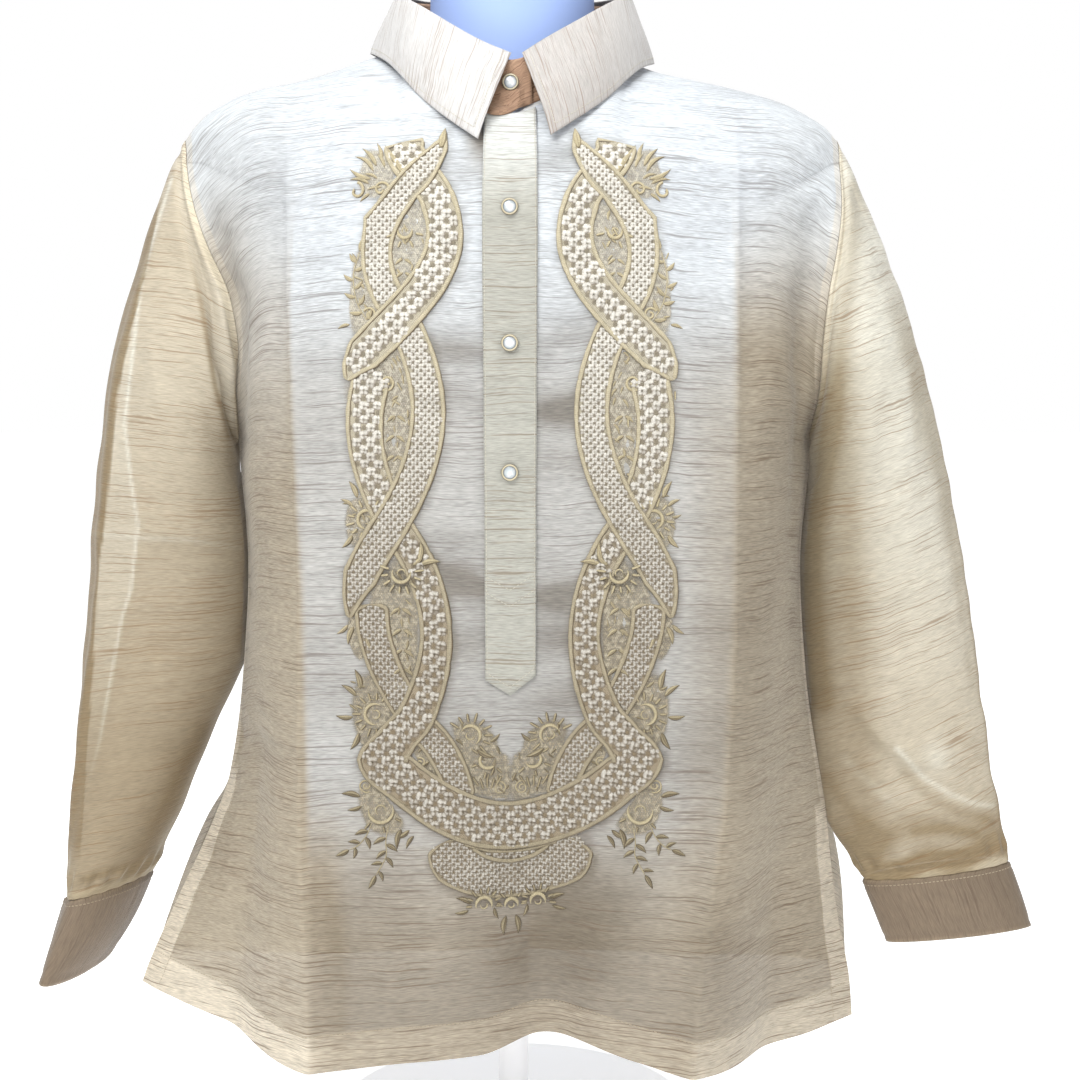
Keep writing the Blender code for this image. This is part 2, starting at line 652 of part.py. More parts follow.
def build_panels(parts, mats):
    s_front = [-1, -0.9, -0.8, -0.7, -0.6, -0.53, -0.5, -0.47, -0.38, -0.25, -0.14, -PLACKET_S, 0]
    s_front += [PLACKET_S, 0.115, 0.18, 0.25, 0.36, 0.47, 0.5, 0.53, 0.6, 0.7, 0.8, 0.9, 1]
    rows = [
        [inset(panel_point, s, t, SEAM / 2, SEAM / 2) for s in s_front]
        for t in panel_rows(FRONT_LOW_ROWS)
    ]
    cloth("front_panel", rows, mats["body"], parts)

    def back_point(s, t):
        return panel_point(s, t, back=True)

    s_back = [-1, -0.9, -0.78, -0.64, -0.5, -0.38, -0.25, -0.12, 0.0, 0.12, 0.25, 0.38, 0.5, 0.64, 0.78, 0.9, 1]
    rows = [
        [inset(back_point, s, t, SEAM / 2, SEAM / 2) for s in s_back]
        for t in panel_rows(BACK_LOW_ROWS)
    ]
    cloth("back_panel", rows, mats["body"], parts)


def build_sleeves(parts, mats):
    turns = [360 * i / 24 for i in range(24)]
    sections = [0, 0.5, 1, 1.5, 2, 2.6, 3.2, 4, 4.8, 5.6, 6.4, 7.2, 8, 8.6, 9]
    for side in ("left", "right"):
        rows = [[sleeve_point(side, n, deg) for deg in turns] for n in sections]
        cloth(f"sleeve_{side}", rows, mats["sleeve"], parts, closed=True)
        rows = [[cuff_point(side, n, deg) for deg in turns] for n in (0, 0.5, 1)]
        cloth(f"cuff_{side}", rows, mats["cuff"], parts, wall=FOLDED, closed=True)


def build_collar(parts, mats):
    turns = spaced(-STAND_OVERLAP_DEG, 360 + STAND_OVERLAP_DEG, 34)
    rows = [[stand_point(deg, up) for deg in turns] for up in (0.0, 0.5, 1.0)]
    cloth("collar_stand", rows, mats["stand"], parts)
    turns = spaced(0, 360, 36)
    rows = [[leaf_point(deg, down) for deg in turns] for down in (0.0, 0.3, 0.65, 1.0)]
    cloth("collar_leaf", rows, mats["collar"], parts)


def front_facet(s, t, out=0.0):
    """A place under the placket on the front panel's own flat faces, moved out from the cloth."""
    rows = panel_rows(FRONT_LOW_ROWS)
    side = PLACKET_S if s >= 0 else -PLACKET_S

    def node(place, row):
        p = np.array(panel_point(place, row))
        up = np.array(panel_point(place, min(row + 0.02, 1.0))) - np.array(panel_point(place, row - 0.02))
        along = np.array(panel_point(place + 0.02, row)) - np.array(panel_point(place - 0.02, row))
        normal = np.cross(along, up)
        return p + normal / np.linalg.norm(normal) * out

    def column(row):
        return node(0, row) + (node(side, row) - node(0, row)) * (s / side)

    low = max(row for row in rows if row <= t)
    high = min(row for row in rows if row >= t)
    share = (t - low) / (high - low) if high > low else 0.0
    return column(low) + (column(high) - column(low)) * share


def row_at_height(z):
    """How far up the panel's rows the middle of the front reaches a height."""
    low, high = 0.0, 1.0
    for _ in range(30):
        t = (low + high) / 2
        low, high = (t, high) if front_facet(0, t)[2] < z else (low, t)
    return (low + high) / 2


def facet_normal(t):
    along = front_facet(PLACKET_S, t) - front_facet(-PLACKET_S, t)
    up = front_facet(0, t + 0.004) - front_facet(0, t - 0.004)
    normal = np.cross(along, up)
    return normal / np.linalg.norm(normal)


PLACKET_OUT = CLOTH / 2 + LAID + FOLDED / 2


def build_placket(parts, mats):
    corner, point, top = (row_at_height(z) for z in (PLACKET_CORNER_Z, PLACKET_POINT_Z, PLACKET_TOP_Z))
    between = [t for t in panel_rows(FRONT_LOW_ROWS) if corner + 0.01 < t < top - 0.01]
    rows = []
    for t in [corner] + between + [top]:
        row = []
        for share in (-1.0, -0.5, 0.0, 0.5, 1.0):
            at = point + (corner - point) * abs(share) if t == corner else t
            row.append(tuple(front_facet(share * PLACKET_S, at, PLACKET_OUT)))
        rows.append(row)
    cloth("placket", rows, mats["placket"], parts, wall=FOLDED)


def build_button(name, centre, normal, diameter, parts, mats):
    """A sew-through button with a raised rim, turned about its own axis."""
    r, h = diameter / 2, BUTTON_THICKNESS
    profile = [(0.0, h * 0.62), (r * 0.62, h * 0.62), (r * 0.80, h), (r * 0.94, h * 0.96), (r, h * 0.6), (r * 0.9, h * 0.15), (r * 0.6, 0.0), (0.0, 0.0)]
    mesh = bpy.data.meshes.new(name)
    mesh.from_pydata([(x, 0.0, z) for x, z in profile], [(i, i + 1) for i in range(len(profile) - 1)], [])
    obj = bpy.data.objects.new(name, mesh)
    mesh.materials.append(mats["button"])
    screw = obj.modifiers.new("turn", "SCREW")
    screw.steps = screw.render_steps = 20
    screw.use_merge_vertices = True
    screw.merge_threshold = 0.00002
    screw.use_smooth_shade = True
    parts.objects.link(obj)
    z = np.array(normal) / np.linalg.norm(normal)
    x = np.cross((0.0, 0.0, 1.0), z)
    x /= np.linalg.norm(x)
    y = np.cross(z, x)
    frame = Matrix([(*map(float, row), 0.0) for row in np.array((x, y, z)).T] + [(0.0, 0.0, 0.0, 1.0)])
    frame.translation = tuple(float(v) for v in centre)
    obj.matrix_world = frame
    return obj


def build_buttons(parts, mats):
    p = np.array(stand_point(360.0, 0.0)), np.array(stand_point(360.0, 1.0))
    share = (STAND_BUTTON_Z - p[0][2]) / (p[1][2] - p[0][2])
    centre = np.array(stand_point(360.0, share))
    up = p[1] - p[0]
    normal = np.cross((1.0, 0.0, 0.0), up)
    normal /= np.linalg.norm(normal)
    build_button("button_1", centre + normal * (CLOTH / 2 + LAID), normal, BUTTON_DIAMETER, parts, mats)
    for n, z in enumerate(BUTTON_Z, start=2):
        t = row_at_height(z)
        normal = facet_normal(t)
        centre = front_facet(0, t) + normal * (PLACKET_OUT + FOLDED / 2 + LAID)
        build_button(f"button_{n}", centre, normal, BUTTON_DIAMETER, parts, mats)
    for side, deg in (("left", 214.0), ("right", 212.0)):
        p = np.array(cuff_point(side, 0.62, deg))
        a, b = (np.array(cuff_point(side, 0.62, deg + d)) for d in (-6, 6))
        up = np.array(cuff_point(side, 0.2, deg)) - np.array(cuff_point(side, 0.9, deg))
        normal = np.cross(b - a, up)
        inward = np.array(cuff_point(side, 0.62, deg + 180)) - p
        if np.dot(normal, inward) > 0:
            normal = -normal
        normal /= np.linalg.norm(normal)
        centre = p + normal * (FOLDED / 2 + LAID + 0.0006)
        build_button(f"cuff_button_{side}", centre, normal, CUFF_BUTTON_DIAMETER, parts, mats)


def build_form(parts, mats):
    count = 36
    levels = [0.2380, 0.2410, 0.2520, 0.28, 0.33, 0.38, 0.43, 0.48, 0.53, 0.58, 0.62, 0.66, 0.70, 0.735]
    levels += [0.760, 0.775, 0.787, 0.796, 0.803, 0.809, 0.815, 0.823, 0.836, 0.855, 0.88, 0.925, 0.933, 0.937]
    rows = []
    for z in levels:
        w, front, back = (FORM.at(c, z) for c in FORM.columns[1:])
        row = []
        for i in range(count):
            a = 2 * math.pi * i / count
            depth = back if math.sin(a) > 0 else -front
            row.append((w * math.cos(a), depth * math.sin(a), z))
        rows.append(row)
    bm = grid(rows, closed=True)
    bm.verts.ensure_lookup_table()
    bm.faces.new([bm.verts[i] for i in range(count)])
    bm.faces.new([bm.verts[len(bm.verts) - count + i] for i in range(count)])
    add_mesh("form_torso", bm, mats["form"], parts)

    bm = bmesh.new()
    top = levels[0] - TOUCH
    bottom = BASE_THICKNESS + TOUCH
    bmesh.ops.create_cone(bm, cap_ends=True, segments=24, radius1=POLE_DIAMETER / 2, radius2=POLE_DIAMETER / 2, depth=top - bottom)
    pole = add_mesh("form_pole", bm, mats["stand_metal"], parts)
    pole.location = (0, 0, (top + bottom) / 2)

    bm = bmesh.new()
    bmesh.ops.create_cone(bm, cap_ends=True, segments=48, radius1=BASE_DIAMETER / 2, radius2=BASE_DIAMETER / 2, depth=BASE_THICKNESS)
    base = add_mesh("form_base", bm, mats["stand_metal"], parts)
    base.location = (0, 0, BASE_THICKNESS / 2)
    edge = base.modifiers.new("edge", "BEVEL")
    edge.width = 0.004
    edge.segments = 2
    edge.limit_method = "ANGLE"


def main():
    clear_scene()
    parts = bpy.data.collections.new("barong_tagalog_on_form")
    bpy.context.scene.collection.children.link(parts)
    mats = {
        "body": material("body_cloth", (0.80, 0.78, 0.72), 0.6),
        "sleeve": material("sleeve_cloth", (0.78, 0.72, 0.60), 0.6),
        "cuff": material("cuff_cloth", (0.45, 0.38, 0.31), 0.6),
        "collar": material("collar_cloth", (0.85, 0.80, 0.75), 0.6),
        "stand": material("stand_cloth", (0.42, 0.28, 0.20), 0.6),
        "placket": material("placket_cloth", (0.84, 0.83, 0.76), 0.6),
        "button": material("pearl_button", (0.86, 0.88, 0.90), 0.25),
        "form": material("form_skin", (0.66, 0.76, 0.95), 0.5),
        "stand_metal": material("stand_enamel", (0.90, 0.90, 0.90), 0.35),
    }
    build_panels(parts, mats)
    build_sleeves(parts, mats)
    build_collar(parts, mats)
    build_placket(parts, mats)
    build_buttons(parts, mats)
    build_form(parts, mats)


main()
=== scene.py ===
"""Looks of the barong tagalog shirt on its dress form.

Metres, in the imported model's frame: +Z up, the shirt faces -Y, +X is on the viewer's right.
The cloth pieces are thin shells on the same sections as their solids, with their creases,
seams, embroidery and stitches worked out here.
"""

import bisect
import math
from functools import lru_cache

import bmesh
import bpy
import numpy as np
from mathutils import Matrix, Vector
from mathutils.bvhtree import BVHTree


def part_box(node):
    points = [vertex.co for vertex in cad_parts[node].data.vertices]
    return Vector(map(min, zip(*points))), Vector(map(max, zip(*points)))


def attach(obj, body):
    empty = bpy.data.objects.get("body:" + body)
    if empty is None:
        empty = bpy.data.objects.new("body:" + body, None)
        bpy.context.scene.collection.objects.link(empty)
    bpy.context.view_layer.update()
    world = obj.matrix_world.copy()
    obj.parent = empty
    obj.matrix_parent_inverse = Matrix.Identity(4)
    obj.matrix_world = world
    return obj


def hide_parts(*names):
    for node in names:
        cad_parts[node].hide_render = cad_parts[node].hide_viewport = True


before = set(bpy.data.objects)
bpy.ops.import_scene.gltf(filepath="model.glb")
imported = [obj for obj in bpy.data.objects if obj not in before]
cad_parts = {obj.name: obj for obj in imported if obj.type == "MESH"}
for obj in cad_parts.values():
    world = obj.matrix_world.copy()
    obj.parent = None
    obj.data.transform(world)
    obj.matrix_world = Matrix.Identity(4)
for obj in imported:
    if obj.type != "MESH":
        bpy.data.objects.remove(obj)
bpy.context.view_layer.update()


# ================================================================ the part's own sizes and sections
# ---------------------------------------------------------------- sizes (m)
CLOTH = 0.0011          # wall of a single layer of cloth
FOLDED = 0.0014         # wall of the pieces sewn double: collar, stand, cuffs, placket
SEAM = 0.0009           # gap between the middle surfaces of two joined pieces
ARMHOLE_SEAM = 0.0015   # the same round the armholes, where the cloth turns back on itself
LAID = 0.0008           # gap between a panel and the piece sewn on it

UNDERARM = 0.550
VENT_TOP = {"left": 0.280, "right": 0.250}
NECK_S = 0.25           # where the shoulder line meets the neckline, on the panels' width
CREASE_S = 0.50         # where the pressed creases run, on the panels' width
T_UNDERARM = 0.50       # how far up the panels' rows the underarm and the turn to the top lie
T_TURN = 0.72
TIP_Z = 0.7725          # shoulder tip

NECK_HALF_WIDTH = 0.078
NECK_FRONT_Y = -0.088
NECK_BACK_Y = 0.070
NECK_FRONT_Z = 0.783
NECK_BACK_Z = 0.852

STAND_HEIGHT_FRONT = 0.030
STAND_HEIGHT_BACK = 0.034
STAND_OVERLAP_DEG = 11.0

PLACKET_S = 0.0575      # half the placket's width, on the panel's width: 36 mm across in all
FRONT_LOW_ROWS = 10
BACK_LOW_ROWS = 8
PLACKET_TOP_Z = 0.7765
PLACKET_CORNER_Z = 0.3790
PLACKET_POINT_Z = 0.3665

BUTTON_DIAMETER = 0.0119
BUTTON_THICKNESS = 0.0026
BUTTON_Z = (0.7085, 0.6147, 0.5247)
STAND_BUTTON_Z = 0.8006
CUFF_BUTTON_DIAMETER = 0.0100

BASE_DIAMETER = 0.280
BASE_THICKNESS = 0.016
POLE_DIAMETER = 0.024
TOUCH = 0.0003


# ------------------------------------------------------------------ tables
class Table:
    """Rows of sizes under named columns, read between rows on a smooth curve with no overshoot."""

    def __init__(self, columns, *rows):
        self.columns = columns.split()
        self.rows = rows
        self.keys = [row[0] for row in rows]
        self.slopes = {}

    def slope(self, column):
        if column not in self.slopes:
            place = self.columns.index(column)
            y, key = [row[place] for row in self.rows], self.keys
            h = [b - a for a, b in zip(key, key[1:])]
            d = [(b - a) / gap for a, b, gap in zip(y, y[1:], h)]
            m = [d[0]] + [0.0] * (len(y) - 2) + [d[-1]]
            for i in range(1, len(y) - 1):
                if d[i - 1] * d[i] > 0:
                    a, b = 2 * h[i] + h[i - 1], h[i] + 2 * h[i - 1]
                    m[i] = (a + b) / (a / d[i - 1] + b / d[i])
            self.slopes[column] = y, m
        return self.slopes[column]

    def at(self, column, key):
        y, m = self.slope(column)
        keys = self.keys
        key = min(max(key, keys[0]), keys[-1])
        i = min(bisect.bisect_right(keys, key) - 1, len(keys) - 2)
        h = keys[i + 1] - keys[i]
        t = (key - keys[i]) / h
        return (
            (2 * t**3 - 3 * t**2 + 1) * y[i]
            + (t**3 - 2 * t**2 + t) * h * m[i]
            + (3 * t**2 - 2 * t**3) * y[i + 1]
            + (t**3 - t**2) * h * m[i + 1]
        )


# Edges of the front panel: vent, side seam, then armhole up to the shoulder tip.
FRONT_EDGE = Table(
    "z left_x left_y right_x right_y",
    (0.095, -0.2945, -0.036, 0.2630, -0.032),
    (0.125, -0.2875, -0.030, 0.2615, -0.027),
    (0.180, -0.2650, -0.020, 0.2525, -0.014),
    (0.224, -0.2449, -0.010, 0.2482, -0.006),
    (0.250, -0.2340, -0.004, 0.2462, 0.000),
    (0.280, -0.2232, 0.000, 0.2415, 0.000),
    (0.360, -0.2113, 0.000, 0.2290, 0.000),
    (0.450, -0.2060, 0.000, 0.2235, 0.000),
    (0.550, -0.2120, 0.000, 0.2310, 0.000),
    (0.565, -0.2098, -0.018, 0.2310, -0.018),
    (0.585, -0.2075, -0.037, 0.2312, -0.036),
    (0.615, -0.2025, -0.054, 0.2305, -0.052),
    (0.650, -0.2070, -0.060, 0.2330, -0.060),
    (0.685, -0.2225, -0.057, 0.2398, -0.055),
    (0.720, -0.2365, -0.042, 0.2450, -0.042),
    (0.750, -0.2445, -0.022, 0.2462, -0.022),
    (0.7725, -0.2495, 0.000, 0.2465, 0.000),
)

# Edges of the back panel, the same way.
BACK_EDGE = Table(
    "z left_x left_y right_x right_y",
    (0.105, -0.2965, 0.034, 0.2690, 0.030),
    (0.134, -0.2880, 0.030, 0.2670, 0.028),
    (0.186, -0.2690, 0.021, 0.2625, 0.019),
    (0.231, -0.2500, 0.011, 0.2540, 0.007),
    (0.250, -0.2405, 0.006, 0.2470, 0.001),
    (0.280, -0.2232, 0.001, 0.2415, 0.001),
    (0.360, -0.2113, 0.001, 0.2290, 0.001),
    (0.450, -0.2060, 0.001, 0.2235, 0.001),
    (0.550, -0.2120, 0.001, 0.2310, 0.001),
    (0.575, -0.2130, 0.027, 0.2315, 0.027),
    (0.600, -0.2145, 0.043, 0.2322, 0.043),
    (0.650, -0.2215, 0.056, 0.2345, 0.056),
    (0.700, -0.2330, 0.053, 0.2405, 0.053),
    (0.740, -0.2435, 0.034, 0.2450, 0.034),
    (0.760, -0.2475, 0.016, 0.2462, 0.016),
    (0.7725, -0.2495, 0.001, 0.2465, 0.001),
)

# Sections of the front: its two pressed creases, its middle, and how far the cloth
# stands out between them.
FRONT_BODY = Table(
    "z left_x left_y mid_x mid_y right_x right_y side_out front_out",
    (0.095, -0.1420, -0.1510, 0.000, -0.1290, 0.1285, -0.1510, -0.004, -0.001),
    (0.185, -0.1462, -0.1400, 0.000, -0.1290, 0.1375, -0.1400, 0.001, 0.000),
    (0.290, -0.1505, -0.1260, 0.000, -0.1300, 0.1530, -0.1260, 0.006, 0.002),
    (0.430, -0.1500, -0.1170, 0.000, -0.1310, 0.1600, -0.1170, 0.012, 0.004),
    (0.570, -0.1545, -0.1080, 0.000, -0.1330, 0.1608, -0.1080, 0.011, 0.006),
    (0.650, -0.1585, -0.0980, 0.000, -0.1320, 0.1620, -0.0980, 0.006, 0.008),
    (0.720, -0.1600, -0.0860, 0.000, -0.1270, 0.1630, -0.0860, 0.004, 0.009),
    (0.800, -0.1640, -0.0700, 0.000, -0.1150, 0.1650, -0.0700, 0.003, 0.008),
)

# Sections of the back: how far it stands behind its edges, and the edge's squareness.
BACK_BODY = Table(
    "z depth",
    (0.095, 0.108),
    (0.185, 0.106),
    (0.290, 0.103),
    (0.430, 0.100),
    (0.550, 0.104),
    (0.650, 0.106),
    (0.720, 0.103),
    (0.800, 0.096),
)

# The shoulder line, from the neckline to the shoulder tip.
SHOULDER = Table(
    "s left_x left_z right_x right_z",
    (0.25, -0.0780, 0.8420, 0.0780, 0.8380),
    (0.36, -0.1070, 0.8330, 0.1070, 0.8245),
    (0.50, -0.1650, 0.8160, 0.1655, 0.8110),
    (0.62, -0.1950, 0.8090, 0.1960, 0.8030),
    (0.82, -0.2280, 0.7945, 0.2262, 0.7895),
    (0.92, -0.2410, 0.7845, 0.2390, 0.7815),
    (1.00, -0.2495, 0.7725, 0.2465, 0.7725),
)

# Height of the lower edge across the front and across the back.
FRONT_HEM = Table(
    "s z",
    (-1.00, 0.1260),
    (-0.75, 0.1145),
    (-0.50, 0.0995),
    (-0.25, 0.1020),
    (-0.08, 0.1030),
    (0.08, 0.1120),
    (0.20, 0.1105),
    (0.36, 0.1030),
    (0.50, 0.0955),
    (0.75, 0.0945),
    (1.00, 0.1000),
)
BACK_HEM = Table("s z", (-1.0, 0.1335), (-0.5, 0.1120), (0.0, 0.1080), (0.5, 0.1100), (1.0, 0.1180))

# How far below the top edge the cloth starts to turn over towards it.
CAP = Table(
    "s height bend",
    (0.00, 0.085, 1.20),
    (0.25, 0.125, 1.22),
    (0.36, 0.115, 1.45),
    (0.50, 0.100, 1.80),
    (0.75, 0.065, 2.00),
    (1.00, 0.020, 2.00),
)

# Largest folds of the front and back: place on the width at the low and high end,
# the heights they run between, half width and depth (out is positive).
FOLDS = {
    "front": Table(
        "n s_low s_high z_low z_high half depth",
        (0, 0.115, 0.03, 0.00, 0.37, 0.125, -0.0290),   # hem valley beside the middle
        (1, -0.72, -0.80, 0.00, 0.42, 0.070, -0.0060),  # left vent facet
        (2, 0.76, 0.82, 0.00, 0.44, 0.080, -0.0070),    # right vent facet
        (3, -0.50, -0.50, 0.00, 0.78, 0.035, 0.0030),   # pressed crease, left
        (4, 0.50, 0.50, 0.00, 0.78, 0.035, 0.0030),     # pressed crease, right
        (5, -0.86, -0.93, 0.52, 0.74, 0.060, -0.0050),  # hollow beside the left armhole
        (6, 0.80, 0.90, 0.45, 0.74, 0.070, -0.0060),    # hollow beside the right armhole
    ),
    "back": Table(
        "n s_low s_high z_low z_high half depth",
        (0, -0.30, -0.16, 0.00, 0.48, 0.110, -0.0120),
        (1, 0.34, 0.20, 0.00, 0.44, 0.100, -0.0110),
        (2, 0.02, 0.02, 0.00, 0.52, 0.060, 0.0050),
        (3, -0.62, -0.50, 0.10, 0.60, 0.060, 0.0040),
        (4, 0.64, 0.55, 0.10, 0.60, 0.060, 0.0040),
    ),
}

# Sections of the sleeves, shoulder to cuff seam: the section's outer and inner points,
# its half depths to the front and the back, how far its back end leans to the body,
# and its share of the armhole's own shape.
SLEEVE = {
    "left": Table(
        "n outer_x outer_z inner_x inner_z mid_y front back lean crease_deg crease armhole",
        (0, -0.2495, 0.7725, -0.2120, 0.5500, 0.000, 0.0600, 0.0560, 0.000, 135, 0.0000, 1.00),
        (1, -0.2700, 0.7280, -0.2130, 0.5400, 0.000, 0.0650, 0.0600, 0.000, 135, 0.0020, 0.62),
        (2, -0.2930, 0.6600, -0.2130, 0.5260, 0.004, 0.0690, 0.0640, 0.000, 135, 0.0040, 0.25),
        (3, -0.3119, 0.5951, -0.2105, 0.5060, 0.010, 0.0690, 0.0640, 0.000, 135, 0.0045, 0.05),
        (4, -0.3239, 0.5223, -0.2050, 0.4700, 0.018, 0.0670, 0.0610, 0.000, 135, 0.0045, 0.00),
        (5, -0.3319, 0.4582, -0.2040, 0.4240, 0.022, 0.0610, 0.0560, 0.000, 135, 0.0045, 0.00),
        (6, -0.3371, 0.3934, -0.2105, 0.3780, 0.020, 0.0560, 0.0520, 0.000, 137, 0.0045, 0.00),
        (7, -0.3416, 0.3259, -0.2345, 0.3239, 0.012, 0.0510, 0.0500, 0.002, 142, 0.0040, 0.00),
        (8, -0.3435, 0.2591, -0.2588, 0.2631, 0.004, 0.0480, 0.0490, 0.006, 150, 0.0030, 0.00),
        (9, -0.3440, 0.1941, -0.2876, 0.2021, -0.004, 0.0450, 0.0480, 0.014, 160, 0.0000, 0.00),
    ),
    "right": Table(
        "n outer_x outer_z inner_x inner_z mid_y front back lean crease_deg crease armhole",
        (0, 0.2465, 0.7725, 0.2310, 0.5500, 0.000, 0.0600, 0.0560, 0.000, 165, 0.0000, 1.00),
        (1, 0.2680, 0.7280, 0.2315, 0.5400, 0.000, 0.0650, 0.0600, 0.000, 165, 0.0010, 0.62),
        (2, 0.2940, 0.6600, 0.2322, 0.5260, 0.004, 0.0690, 0.0650, 0.000, 165, 0.0020, 0.25),
        (3, 0.3150, 0.5951, 0.2300, 0.5060, 0.010, 0.0680, 0.0650, 0.000, 165, 0.0025, 0.05),
        (4, 0.3355, 0.5223, 0.2245, 0.4700, 0.017, 0.0630, 0.0610, 0.000, 165, 0.0025, 0.00),
        (5, 0.3500, 0.4582, 0.2255, 0.4240, 0.020, 0.0550, 0.0540, 0.000, 165, 0.0025, 0.00),
        (6, 0.3600, 0.3936, 0.2285, 0.3754, 0.018, 0.0460, 0.0450, 0.000, 165, 0.0025, 0.00),
        (7, 0.3705, 0.3259, 0.2375, 0.3160, 0.012, 0.0370, 0.0370, 0.000, 165, 0.0020, 0.00),
        (8, 0.3795, 0.2652, 0.2500, 0.2550, 0.004, 0.0280, 0.0290, 0.000, 165, 0.0010, 0.00),
        (9, 0.3884, 0.2176, 0.2734, 0.2026, -0.006, 0.0200, 0.0220, 0.000, 165, 0.0000, 0.00),
    ),
}
CUFF = {
    "left": Table(
        "n outer_x outer_z inner_x inner_z mid_y front back lean rise",
        (0, -0.3445, 0.1916, -0.2886, 0.1996, -0.004, 0.0450, 0.0480, 0.014, 0.000),
        (0.5, -0.3538, 0.1628, -0.3020, 0.1680, -0.004, 0.0452, 0.0478, 0.0145, 0.0015),
        (1, -0.3630, 0.1340, -0.3250, 0.1290, -0.004, 0.0466, 0.0490, 0.015, 0.003),
    ),
    "right": Table(
        "n outer_x outer_z inner_x inner_z mid_y front back lean rise",
        (0, 0.3889, 0.2151, 0.2739, 0.2001, -0.006, 0.0200, 0.0220, 0.000, 0.000),
        (1, 0.4068, 0.1633, 0.2943, 0.1508, -0.006, 0.0190, 0.0200, 0.000, -0.002),
    ),
}
BODY_CLEAR = 0.0027     # between the middle surfaces of a sleeve and the body it lies against
CUFF_SEAM = 0.0018

# The collar's fold line and its outer edge, by the angle from the front round each side.
FOLD_LINE = Table(
    "deg left_x right_x y z",
    (0, 0.0003, 0.0082, -0.0880, 0.8215),
    (15, -0.0215, 0.0225, -0.0852, 0.8310),
    (40, -0.0550, 0.0560, -0.0680, 0.8530),
    (75, -0.0830, 0.0850, -0.0240, 0.8765),
    (90, -0.0865, 0.0885, 0.0000, 0.8820),
    (130, -0.0690, 0.0690, 0.0520, 0.8880),
    (180, 0.0000, 0.0000, 0.0800, 0.8900),
)
COLLAR_EDGE = Table(
    "deg left_x left_y left_z right_x right_y right_z",
    (0, -0.0223, -0.1190, 0.7569, 0.0287, -0.1190, 0.7597),
    (15, -0.0388, -0.1125, 0.7685, 0.0421, -0.1120, 0.7690),
    (40, -0.0612, -0.0950, 0.7875, 0.0660, -0.0920, 0.7875),
    (75, -0.0908, -0.0470, 0.8225, 0.0940, -0.0470, 0.8175),
    (90, -0.1076, 0.0000, 0.8375, 0.1076, 0.0000, 0.8300),
    (130, -0.0880, 0.0620, 0.8420, 0.0880, 0.0620, 0.8380),
    (180, 0.0000, 0.0990, 0.8470, 0.0000, 0.0990, 0.8470),
)

# Sections of the dress form, low to high.
FORM = Table(
    "z half_width front_y back_y",
    (0.2380, 0.1000, -0.058, 0.058),
    (0.2410, 0.1250, -0.076, 0.074),
    (0.2520, 0.1440, -0.090, 0.087),
    (0.2800, 0.1570, -0.099, 0.095),
    (0.3300, 0.1630, -0.102, 0.098),
    (0.4200, 0.1480, -0.098, 0.083),
    (0.5000, 0.1540, -0.104, 0.085),
    (0.5800, 0.1680, -0.112, 0.090),
    (0.6500, 0.1760, -0.116, 0.092),
    (0.7000, 0.1860, -0.110, 0.088),
    (0.7350, 0.1980, -0.098, 0.079),
    (0.7600, 0.2040, -0.085, 0.069),
    (0.7750, 0.2030, -0.076, 0.063),
    (0.7870, 0.1950, -0.069, 0.058),
    (0.7960, 0.1780, -0.065, 0.055),
    (0.8030, 0.1550, -0.063, 0.054),
    (0.8090, 0.1290, -0.062, 0.054),
    (0.8150, 0.1040, -0.061, 0.054),
    (0.8230, 0.0800, -0.0605, 0.054),
    (0.8360, 0.0680, -0.060, 0.054),
    (0.8550, 0.0635, -0.060, 0.054),
    (0.8800, 0.0620, -0.060, 0.054),
    (0.9250, 0.0630, -0.062, 0.055),
    (0.9330, 0.0605, -0.060, 0.053),
    (0.9370, 0.0520, -0.052, 0.045),
)


# ------------------------------------------------------------ the surfaces
def side_of(s):
    return "left" if s < 0 else "right"


def folds_at(which, s, z):
    """How far the largest folds move the cloth out at a place on a panel."""
    out = 0.0
    for _, s_low, s_high, z_low, z_high, half, depth in FOLDS[which].rows:
        if not z_low <= z < z_high:
            continue
        up = (z - max(z_low, 0.095)) / (z_high - max(z_low, 0.095))
        up = min(max(up, 0.0), 1.0)
        place = s_low + (s_high - s_low) * up
        along = (1 - up) if z_low < 0.11 else math.sin(math.pi * up) ** 1.0
        if abs(depth) == 0.0030:
            along = 0.35 + 0.65 * (1 - up)
            along *= min(1.0, (z_high - z) / 0.10)
        out += depth * along * math.exp(-(((s - place) / half) ** 2))
    return out


def across(knots, values, s):
    row = Table("s v", *zip(knots, values))
    return row.at("v", s)


